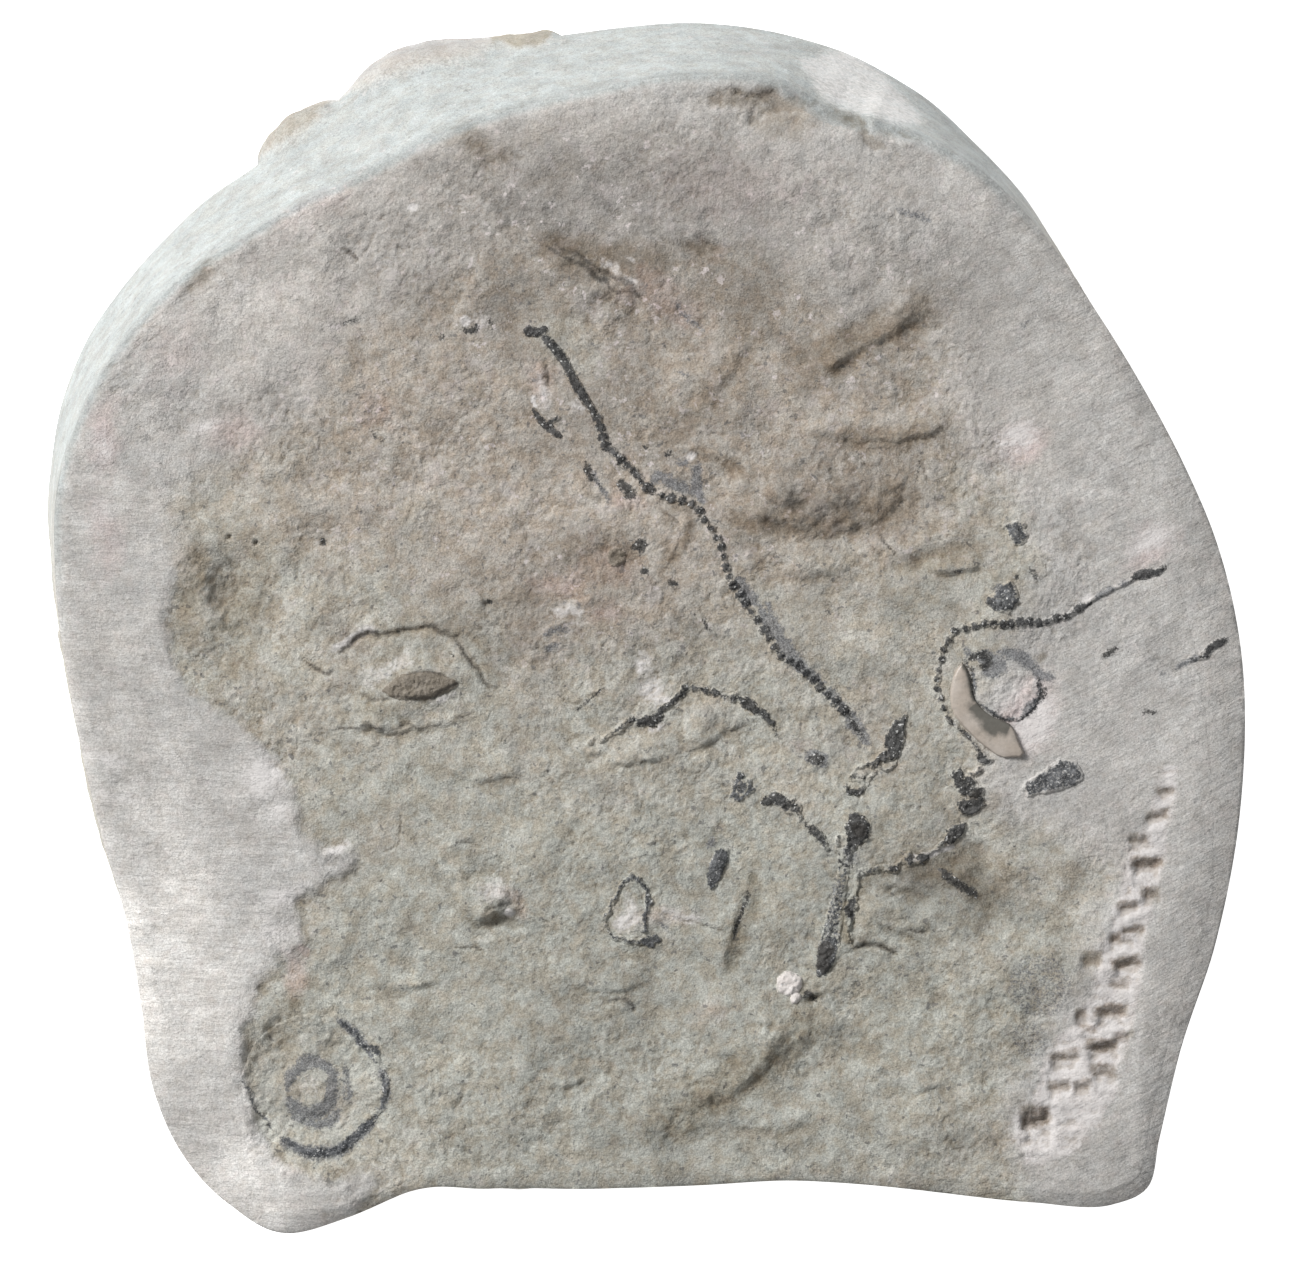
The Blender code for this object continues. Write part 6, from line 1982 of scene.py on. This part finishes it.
LEFT_ARM = (
    *strands(
        (-4.1, -8, 0.18, 0.6, -3.1, -7.7, 0.24, 0.55, -2.3, -7.2, 0.26, 0.45, -1.3, -6.6, 0.26, 0.3,
         -0.8, -6.3, 0.27, 0.2),
        (-0.5, -6.6, 0.27, 0.1, 0, -6.5, 0.34, 0, 0.4, -6.6, 0.38, 0, 0.8, -6.3, 0.36, 0,
         1.1, -5.8, 0.29, 0.1, 1.5, -5.4, 0.27, 0.1, 2.1, -5, 0.27, 0.2, 2.6, -4.5, 0.28, 0.1),
    ),
    Beads(pairs(
        2.8, -4.2, 3.5, -4.2, 4.9, -4.5, 6.3, -4.8
    ), radius=0.33, dust=0.12, seed=42),
    *strands(
        (6.7, -5, 0.26, 0.1, 7.3, -5.4, 0.36, 0, 7.7, -5.6, 0.38, 0, 8.1, -5.9, 0.31, 0.1,
         8.5, -6.2, 0.32, 0, 8.9, -6.6, 0.25, 0.1),
    ),
)
LOWER_ARM = strands(
    (8.39, -12.46, 0.16, 0, 8.75, -12.18, 0.42, 0.05, 9.25, -12.04, 0.52, 0.15, 9.75, -12.39, 0.56, 0.3,
     10.25, -12.68, 0.56, 0.42, 10.75, -12.89, 0.42, 0.45),
    (10.68, -13.18, 0.24, 0.4, 11.18, -13.75, 0.2, 0.35, 11.61, -14.18, 0.26, 0.35,
     11.96, -14.46, 0.42, 0.3, 12.32, -14.89, 0.38, 0.35, 12.68, -15.39, 0.24, 0.4,
     12.89, -15.75, 0.14, 0.4),
)
RIGHT_ARM = (
    *strands(
        (24.54, -9.39, 0.24, 0.25, 24.04, -9.32, 0.38, 0.15, 23.68, -8.61, 0.24, 0.3,
         23.25, -7.96, 0.18, 0.2, 22.75, -7.46, 0.22, 0.1, 22.25, -6.96, 0.18, 0.3,
         21.75, -6.61, 0.18, 0.15, 21.46, -6.18, 0.2, 0.1),
    ),
    Beads(pairs(
        21.25, -5.68, 20.96, -4.82, 20.75, -3.89, 20.75, -3.25, 20.96, -2.32, 21.11, -1.68, 21.39, -0.96,
        21.82, -0.39, 22.18, -0.04, 22.82, 0.11, 23.46, 0.25
    ), radius=0.32, link=0.42, pitch=0.72, seed=44),
    Beads(pairs(
        23.46, 0.25, 24.04, 0.39, 24.96, 0.39, 25.54, 0.39, 26.18, 0.46, 26.82, 0.54, 27.39, 0.54,
        28.32, 0.54, 28.82, 0.68, 29.39, 0.82, 29.96, 0.89
    ), radius=0.35, dust=0.06, link=0.6, pitch=0.66, seed=45),
    *strands(
        (29.96, 0.89, 0.22, 0.1, 30.46, 1.25, 0.24, 0.45, 30.96, 1.54, 0.34, 0.1, 31.54, 1.96, 0.18, 0.5,
         32.39, 2.46, 0.2, 0.85, 33.46, 2.96, 0.16, 0.75, 34.39, 3.39, 0.18, 0.3, 34.82, 3.68, 0.24, 0.1,
         35.25, 3.89, 0.38, 0, 35.75, 4.04, 0.38, 0, 36.18, 4.11, 0.24, 0.1, 36.54, 4.11, 0.26, 0.1,
         36.96, 4.54, 0.18, 0.2),
    ),
)
RIGHT_ROOT = strands(
    (16.04, -17.04, 0.18, 0.5, 15.46, -17.32, 0.24, 0.52, 15.11, -17.89, 0.24, 0.58,
     14.89, -18.82, 0.22, 0.6, 14.68, -19.68, 0.38, 0.3, 14.54, -20.61, 0.32, 0.32,
     14.46, -21.46, 0.14, 0.5, 14.54, -22.46, 0.1, 0.5),
    (15.68, -17.04, 0.2, 0.5, 16.25, -17.18, 0.3, 0.36, 16.96, -17.11, 0.2, 0.6,
     17.61, -16.96, 0.34, 0.34, 18.11, -16.68, 0.2, 0.62, 18.75, -16.39, 0.38, 0.34,
     19.32, -16.54, 0.2, 0.6, 19.75, -16.25, 0.32, 0, 20.25, -15.89, 0.18, 0.5, 20.96, -15.54, 0.2, 0.45,
     21.46, -15.32, 0.26, 0.3),
    (21.61, -15.18, 0.24, 0.1, 21.89, -14.68, 0.44, 0.1, 22.32, -14.39, 0.46, 0.15,
     22.68, -14.11, 0.24, 0.2),
    (22.54, -12.61, 0.36, 0.05, 23.04, -12.75, 0.58, 0, 23.61, -12.54, 0.46, 0.05,
     23.82, -12.04, 0.28, 0.2),
    (23.75, -11.82, 0.24, 0.3, 23.04, -11.75, 0.34, 0.2, 22.54, -11.32, 0.46, 0.1,
     22.25, -10.61, 0.46, 0.05, 22.75, -10.89, 0.52, 0.15, 23.32, -11.25, 0.56, 0.5,
     23.82, -11.46, 0.34, 0.3),
    (22.82, -10.25, 0.22, 0.3, 23.39, -10.25, 0.24, 0.45, 23.82, -10.04, 0.26, 0.3),
)
STEM = strands(
    (12.61, -24.61, 0.18, 0, 12.68, -24.18, 0.5, 0, 12.82, -23.61, 0.66, 0, 12.89, -23.04, 0.7, 0,
     13.04, -22.46, 0.66, 0.05, 13.11, -22.25, 0.4, 0.3),
    (13.82, -16.89, 0.14, 0.2, 13.54, -18.61, 0.13, 0.3, 13.11, -20.04, 0.13, 0.28,
     12.75, -21.39, 0.15, 0.25, 12.54, -22.32, 0.2, 0.2),
    (14.32, -17.04, 0.12, 0.45, 14.18, -18.61, 0.11, 0.5, 14.04, -20.04, 0.12, 0.45,
     13.82, -21.46, 0.14, 0.4, 13.68, -22.39, 0.2, 0.2),
    (14.04, -17.32, 0.42, 0.66, 13.68, -19.68, 0.5, 0.62, 13.25, -21.89, 0.54, 0.56),
)
CUP = strands(
    (14.61, -13.32, 0.28, 0.15, 14.96, -13.68, 0.6, 0, 15.04, -14.18, 0.88, 0, 14.96, -14.68, 0.76, 0.05,
     14.68, -15.18, 0.52, 0.3, 14.39, -15.75, 0.42, 0.5, 14.18, -16.32, 0.36, 0.6,
     13.96, -16.89, 0.3, 0.6),
    (13.68, -14.89, 0.13, 0.35, 13.68, -15.75, 0.14, 0.3, 13.82, -16.46, 0.2, 0.15,
     14.04, -16.89, 0.26, 0.05, 14.46, -16.89, 0.16, 0.35),
    (14.25, -15.89, 0.18, 0.4, 14.39, -16.46, 0.17, 0.5, 14.61, -16.89, 0.16, 0.5),
    (13.96, -15.75, 0.3, 0.82, 14.25, -16.32, 0.42, 0.8),
    (15.25, -13.61, 0.14, 0.3, 15.68, -14.18, 0.18, 0.3, 15.54, -15.04, 0.16, 0.35),
)
CUP_PLATES = strands(
    (14.25, -11.18, 0.15, 0.2, 14.54, -11.54, 0.24, 0, 14.96, -11.68, 0.28, 0, 15.39, -11.46, 0.2, 0.1,
     15.54, -10.96, 0.16, 0.35),
    (14.54, -10.61, 0.16, 0.35, 14.96, -9.96, 0.18, 0.4, 15.54, -9.68, 0.2, 0.3, 16.11, -9.75, 0.2, 0.2,
     16.32, -10.18, 0.17, 0.3, 15.96, -10.61, 0.18, 0.4),
    (15.04, -10.46, 0.46, 0.68, 15.54, -10.75, 0.44, 0.66),
    (16.54, -9.75, 0.14, 0.3, 16.96, -10.04, 0.2, 0.35, 17.39, -9.89, 0.18, 0.4, 17.68, -9.46, 0.14, 0.4),
)
SIDE_PLATE = (
    Sheet(Outline(pairs(
        17.82, -6.18, 18.11, -5.96, 18.39, -6.04, 18.61, -6.46, 18.64, -7.04, 18.54, -7.75, 18.25, -8.61,
        17.96, -9.18, 17.54, -9.32, 17.11, -9.04, 16.86, -8.46, 16.96, -7.75, 17.32, -7.04
    )), 0.1),
    *strands(
        (16.04, -9.96, 0.16, 0.1, 16.39, -9.68, 0.24, 0, 16.82, -9.39, 0.26, 0, 17.25, -9.18, 0.2, 0.1),
    ),
)
CHIP_LEFT = strands(
    (-8.1, 15.7, 0.17, 0.1, -7.7, 15.1, 0.24, 0, -7.2, 14.6, 0.31, 0, -6.7, 14.2, 0.31, 0,
     -6.2, 13.8, 0.2, 0),
    (-7.2, 14.5, 0.2, 0, -6.7, 14.9, 0.24, 0.1, -6.3, 15.1, 0.17, 0.2),
)
CHIP_BY_RIM = strands(
    (38.9, -2.2, 0.24, 0.4, 39.5, -2.1, 0.24, 0.4, 40.1, -1.5, 0.34, 0.1, 40.8, -1, 0.4, 0.1,
     41.2, -0.7, 0.3, 0.1),
)
TEARDROP = strands(
    (-1, -17.5, 0.2, 0.1, -0.5, -17.9, 0.24, 0.2, 0, -18.6, 0.23, 0.2, 0.1, -19.7, 0.21, 0.15,
     -0.1, -20.8, 0.19, 0.1, -0.2, -21.6, 0.2, 0.1),
    (0.7, -22.2, 0.34, 0, 0.2, -22.3, 0.36, 0, -0.5, -22.3, 0.26, 0.3, -1.5, -22.2, 0.23, 0.35,
     -2.5, -21.8, 0.23, 0.35, -2.9, -20.9, 0.19, 0.4, -2.6, -19.9, 0.2, 0.3, -2, -18.8, 0.2, 0.25,
     -1.4, -17.9, 0.19, 0.15, -1, -17.5, 0.17, 0.1),
)
PLATE_LEFT = strands(
    (5.6, -15.7, 0.26, 0.3, 5.4, -16.1, 0.53, 0.1, 5, -16.8, 0.6, 0, 4.8, -17.5, 0.53, 0,
     4.6, -18.2, 0.33, 0.1),
)
PLATE_TOP = (
    *strands(
        (6.8, -10.5, 0.27, 0.1, 6.4, -11, 0.27, 0.1, 6.2, -11.6, 0.27, 0.1, 6.5, -12.1, 0.24, 0.1,
         7, -12, 0.24, 0.25, 7.4, -11.5, 0.27, 0.15, 7.3, -10.8, 0.27, 0.25),
    ),
    Sheet(Oval((6.8, -11.3), (0.8, 0.6), 70), 0.5),
)
PLATE_RIGHT = (
    *strands(
        (24.5, 2, 0.27, 0.1, 25.3, 1.8, 0.46, 0, 26, 1.9, 0.4, 0, 26.2, 2.6, 0.3, 0.15),
    ),
    Sheet(Outline(pairs(
        24.3, 2.1, 24.8, 2.7, 25.3, 3.3, 26.1, 3.5, 26.5, 2.8, 26.5, 2.1, 26.1, 1.5, 25.5, 1.1, 24.9, 1.5
    )), 0.42),
)
PLATE_UPPER = (
    Sheet(Outline(pairs(
        25.5, 7.3, 26, 7.75, 26.7, 7.7, 27.2, 7.1, 27.25, 6.4, 26.7, 6, 26, 6.4
    )), 0.38),
)
PLATE_FAR = (
    Sheet(Outline(pairs(
        26.8, -11.5, 27.1, -10.8, 27.8, -10.4, 28.7, -9.9, 29.2, -9.2, 30.3, -9.3, 31, -9.9, 31.4, -10.6,
        30.8, -11, 30.3, -11.3, 29.2, -11.5, 28.1, -11.8, 27.4, -12
    )), 0.46),
    *strands(
        (29.6, -11.2, 0.15, 0, 30.3, -11.1, 0.2, 0, 30.9, -10.8, 0.15, 0),
        (28.8, -10.3, 0.13, 0, 29.4, -10.1, 0.16, 0, 30, -9.9, 0.13, 0),
    ),
)
DOMED_SHELL = (
    Sheet(Outline(pairs(
        -18.9, -4.4, -18.3, -3.7, -17.5, -3.2, -16.3, -3, -15, -3, -14.2, -3.4, -13.3, -3.8, -13.7, -4.2,
        -14.2, -4.5, -14.9, -4.8, -15.9, -5, -17.2, -5, -18.2, -4.9
    ))),
)
PINK_GRAIN = (
    Sheet(Oval((10.2, -25.3), (0.95, 0.85), 20)),
    Sheet(Oval((10.7, -26.3), (0.45, 0.4))),
)
BROWN_GRAIN = (
    Sheet(Oval((-2.2, 5.2), (0.68, 0.72)), 0.12),
)
GRAIN_HOLLOW = ovals((-2.2, 5.2, 0.42, 0.42, 0, -0.12, 0.2))
LARGE_DISC = (
    Sheet(Oval((-23.75, -32.5), (5.15, 5.05)), 1.6),
    *strands(
        (-28.89, -31.96, 0.12, 0.35, -28.61, -32.89, 0.2, 0.3, -28.25, -33.82, 0.15, 0.35,
         -27.75, -34.54, 0.18, 0.3, -27.32, -35.04, 0.16, 0.35, -26.75, -35.75, 0.14, 0.4),
        (-26.25, -36.25, 0.12, 0.1, -25.61, -36.61, 0.24, 0.1, -24.89, -36.96, 0.34, 0.1,
         -24.25, -37.25, 0.3, 0.1, -23.54, -37.32, 0.38, 0.1, -22.82, -37.25, 0.42, 0.2,
         -22.18, -37.18, 0.38, 0.15, -21.68, -36.82, 0.4, 0.1, -21.18, -36.18, 0.46, 0.15),
        (-21.39, -36.61, 0.5, 0.35, -21.11, -35.89, 0.62, 0.4, -20.61, -35.11, 0.58, 0.42,
         -20.04, -34.54, 0.36, 0.5),
        (-18.75, -31.18, 0.12, 0.4, -18.54, -32.18, 0.17, 0.3, -18.68, -33.32, 0.18, 0.3,
         -19.04, -34.18, 0.2, 0.25, -19.46, -35.04, 0.14, 0.4),
        (-19.46, -31.18, 0.26, 0.72, -19.18, -32.18, 0.34, 0.66, -19.04, -33.18, 0.26, 0.66),
        (-22.18, -27.61, 0.2, 0.62, -21.61, -28.18, 0.34, 0.55, -21.04, -28.68, 0.34, 0.5,
         -20.46, -29.39, 0.26, 0.58),
        (-20.18, -29.82, 0.3, 0.55, -19.68, -29.96, 0.42, 0.35, -19.32, -30.18, 0.4, 0.25,
         -19.46, -30.82, 0.18, 0.2),
        (-25.25, -31.61, 0.24, 0.4, -25.89, -32.11, 0.34, 0.4, -26.11, -32.89, 0.36, 0.5,
         -25.75, -33.68, 0.4, 0.5, -26.32, -33.89, 0.5, 0.66),
        (-23.96, -30.68, 0.24, 0.4, -23.32, -30.54, 0.38, 0.42, -22.61, -30.96, 0.4, 0.5,
         -22.11, -31.32, 0.44, 0.5, -21.61, -31.82, 0.3, 0.6),
        (-21.75, -32.18, 0.38, 0.62, -22.25, -32.75, 0.44, 0.6, -22.54, -33.32, 0.44, 0.55),
        (-21.39, -33.61, 0.3, 0.52, -22.25, -33.68, 0.5, 0.5, -23.18, -34.04, 0.5, 0.5,
         -24.18, -34.25, 0.52, 0.5, -24.82, -34.82, 0.5, 0.45, -25.32, -35.61, 0.4, 0.5),
        (-24.96, -28.46, 0.3, 0.6, -25.11, -29.32, 0.4, 0.5, -25.46, -30.18, 0.36, 0.55),
    ),
)
LARGE_DISC_RINGS = ovals((-24.2, -32.9, 2.6, 2.4, 0, 0.1, 0.6), (-24.1, -32.8, 1.5, 1.3, -20, -0.1, 0.3))
SMALL_DISC = (
    Sheet(Outline(pairs(
        23.3, -3, 24.6, -2.9, 26.2, -2.9, 27.8, -3.2, 28.2, -4, 28, -5.1, 27.3, -6, 26.4, -6.6,
        25.3, -6.3, 24.2, -5.6, 23.5, -4.6
    )), 1.6),
)
SLIVER = (
    Sheet(Outline(pairs(
        22.54, -2.25, 22.04, -2.9, 21.75, -3.75, 21.65, -4.8, 21.86, -5.9, 22.36, -6.7, 22.98, -7.35,
        23.7, -8.05, 24.4, -8.6, 25.25, -9.18, 26.2, -9.16, 27.04, -9.04, 26.61, -8.04, 26.25, -7.04,
        25.82, -6.61, 24.89, -6.2, 24.04, -5.6, 23.42, -4.85, 23.2, -3.8, 22.98, -2.9
    ))),
)
# Painted shadow across the sliver's middle
SLIVER_SHADE = lines(
    (0.55, 1.3, 23.5, -5.2, 24.2, -6, 25.2, -6.6, 26, -6.9),
    (0.22, 1.2, 22.7, -2.4, 23.1, -3.2, 23.3, -4.2, 23.5, -5.2),
) + ovals((24.5, -6.9, 1.35, 0.85, -40, 1.2, 0.2))

FOSSILS = (
    Inlay("beads_of_the_long_arm", "long_arm", Slot.DARK_CALCITE, LONG_ARM, stand=0.16, rise=0.28,
          ragged=0.05, seed=1),
    Inlay("left_arm_of_the_crinoid", "left_arm", Slot.DARK_CALCITE, LEFT_ARM, seed=2),
    Inlay("lower_arm_of_the_crinoid", "lower_arm", Slot.DARK_CALCITE, LOWER_ARM, stand=0.15, seed=3),
    Inlay("right_arm_of_the_crinoid", "right_arm", Slot.DARK_CALCITE, RIGHT_ARM, rise=0.25, ragged=0.06,
          seed=4),
    Inlay("root_of_the_right_arm", "right_arm_root", Slot.DARK_CALCITE, RIGHT_ROOT, stand=0.2, ragged=0.2,
          seed=5),
    Inlay("stem_under_the_cup", "stem", Slot.GREY_CALCITE, STEM, stand=0.12, fibres=78, seed=6),
    Inlay("cup_of_the_crinoid", "cup", Slot.DARK_CALCITE, CUP, stand=0.18, seed=7),
    Inlay("plates_above_the_cup", "cup_plates", Slot.DARK_CALCITE, CUP_PLATES, stand=0.16, seed=8),
    Inlay("plate_beside_the_cup", "side_plate", Slot.DARK_CALCITE, SIDE_PLATE, stand=0.2, fibres=68, seed=9),
    Inlay("chip_of_an_arm_left", "arm_fragment_left", Slot.DARK_CALCITE, CHIP_LEFT, stand=0.1, ragged=0.06,
          seed=10),
    Inlay("chip_of_an_arm_by_the_rim", "arm_fragment_rim", Slot.DARK_CALCITE, CHIP_BY_RIM, stand=0.08,
          seed=11),
    Inlay("edge_of_the_drop_shell", "teardrop_shell", Slot.GREY_CALCITE, TEARDROP, rise=0.2, seed=12),
    Inlay("plate_left_of_the_stem", "loose_plate_left", Slot.GREY_CALCITE, PLATE_LEFT, stand=0.16, seed=13),
    Inlay("plate_above_it", "loose_plate_top", Slot.GREY_CALCITE, PLATE_TOP, stand=0.12, seed=14),
    Inlay("plate_above_the_disc", "loose_plate_right", Slot.GREY_CALCITE, PLATE_RIGHT, stand=0.16, seed=15),
    Inlay("plate_far_up", "loose_plate_upper", Slot.GREY_CALCITE, PLATE_UPPER, seed=16),
    Inlay("plate_by_the_sliver", "loose_plate_far", Slot.GREY_CALCITE, PLATE_FAR, stand=0.16, seed=17),
    Inlay("domed_shell", "lens_shell", Slot.BROWN_CALCITE, DOMED_SHELL, stand=0.24, rise=0.6, ragged=0.04,
          seed=18),
    Inlay("pink_grain", "pale_grain", Slot.PALE_CALCITE, PINK_GRAIN, stand=0.34, rise=0.7, ragged=0.08,
          seed=19),
    Inlay("brown_grain", "round_grain", Slot.BROWN_CALCITE, BROWN_GRAIN, stand=0.12, ragged=0.05,
          hollows=GRAIN_HOLLOW, seed=20),
    Inlay("large_stem_disc", "stem_disc_large", Slot.GREY_CALCITE, LARGE_DISC, stand=0.05, rise=0.25,
          ragged=0.06, spacing=0.12, hollows=LARGE_DISC_RINGS, seed=21),
    Inlay("small_stem_disc", "stem_disc_small", Slot.GREY_CALCITE, SMALL_DISC, stand=0.1, rise=0.35,
          ragged=0.06, seed=22),
    ShellSliver("sliver_of_shell", "shell_shard", Slot.SHELL, SLIVER, stand=0.16, ragged=0, spacing=0.08,
                seed=23, shaded=SLIVER_SHADE),
)


# --- Studio ---


@dataclass
class Studio:
    """Pale floor, soft light and the camera that looks straight down.

    Attributes:
        eye_height: Height of the camera above the face, in millimetres.
        view_width: Width of the face seen across the whole frame, in millimetres.
        eye: Place on the plan that the camera stands over.
        key_bearing: Degrees from +x to the main light.
        key_rise: Its height above the horizon, in degrees.
        key_power: Its power in watts.
        key_distance: Its distance, in metres.
        key_size: Its width, in metres.
        sky: Strength of the light from all round.
    """

    eye_height: float = 600.0
    view_width: float = 92.857
    eye: Point = (0.25, -0.14)
    key_bearing: float = 140.0
    key_rise: float = 37.0
    key_power: float = 10.3
    key_distance: float = 0.9
    key_size: float = 0.30
    sky: float = 0.34

    SENSOR = 36.0
    FLOOR_HALF = 1.5

    def floor(self) -> None:
        """A plain pale floor under the slab."""
        half = self.FLOOR_HALF
        mesh = bpy.data.meshes.new("floor")
        corners = [(x, y, 0.0) for x, y in ((-half, -half), (half, -half), (half, half), (-half, half))]
        mesh.from_pydata(corners, [], [(0, 1, 2, 3)])
        material, pen = blank_material("floor")
        pen.dress({
            "Base Color": (0.90, 0.90, 0.90), "Roughness": 1.0, "Specular IOR Level": 0.0,
            "Emission Color": (1.0, 1.0, 1.0), "Emission Strength": 0.9,
        })
        mesh.materials.append(material)
        made = self.placed("floor", mesh, Vector((0.0, 0.0, -0.1 * MM)))

    @staticmethod
    def placed(name: str, data: object, place: Vector) -> bpy.types.Object:
        """An object at a place in the scene."""
        made = bpy.data.objects.new(name, data)
        made.location = place
        bpy.context.scene.collection.objects.link(made)
        return made

    def light(self) -> None:
        """One large soft light, and a pale world for the rest."""
        data = bpy.data.lights.new("key", "AREA")
        data.shape = "DISK"
        data.size = self.key_size
        data.energy = self.key_power
        data.color = (1.0, 0.99, 0.975)
        bearing, rise = math.radians(self.key_bearing), math.radians(self.key_rise)
        level = math.cos(rise)
        away = Vector((math.cos(bearing) * level, math.sin(bearing) * level, math.sin(rise)))
        made = self.placed("key", data, away * self.key_distance)
        made.rotation_euler = away.to_track_quat("Z", "Y").to_euler()
        world = bpy.data.worlds.new("studio")
        world.use_nodes = True
        shade = world.node_tree.nodes["Background"]
        shade.inputs["Color"].default_value = (0.97, 0.985, 1.0, 1.0)
        shade.inputs["Strength"].default_value = self.sky
        bpy.context.scene.world = world

    def camera(self, shift: tuple[float, float], top: float) -> None:
        """The camera over the face.

        Args:
            shift: Place of the plan's working centre in the frame, in millimetres.
            top: Height of the face, in millimetres.
        """
        data = bpy.data.cameras.new("camera")
        data.sensor_fit = "HORIZONTAL"
        data.sensor_width = self.SENSOR
        data.lens = self.SENSOR * self.eye_height / self.view_width
        data.clip_end = 10.0
        place = (self.eye[0] + shift[0], self.eye[1] + shift[1], top + self.eye_height)
        bpy.context.scene.camera = self.placed("camera", data, Vector(place) * MM)

    def build(self, shift: tuple[float, float], top: float) -> None:
        """Sets up the whole studio."""
        self.floor()
        self.light()
        self.camera(shift, top)
        settings = bpy.context.scene.view_settings
        settings.view_transform = "Standard"
        settings.look = "None"


# Middle of the pale grain's solid on the plan
GRAIN_SOLID = (10.3, -25.7)


def plan_shift() -> tuple[float, float]:
    """Place of the plan's working centre in the frame, read off the pale grain's solid."""
    low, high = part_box("pale_grain")
    middle = (low + high) / 2.0 / MM
    return middle.x - GRAIN_SOLID[0], middle.y - GRAIN_SOLID[1]


def main() -> None:
    """Builds the studio, the slab and every fossil."""
    logging.basicConfig(level=logging.INFO, format="%(name)s: %(message)s")
    relief = Relief()
    shift = plan_shift()
    log.info("plan shift %.4f %.4f", *shift)
    shop = Workshop(relief, Markings(relief), finishes(Effects()), shift)
    MatrixSlab().build(shop)
    Facing().build(shop)
    for fossil in FOSSILS:
        fossil.build(shop)
    Studio().build(shift, Relief.THICKNESS)


if __name__ == "__main__":
    main()
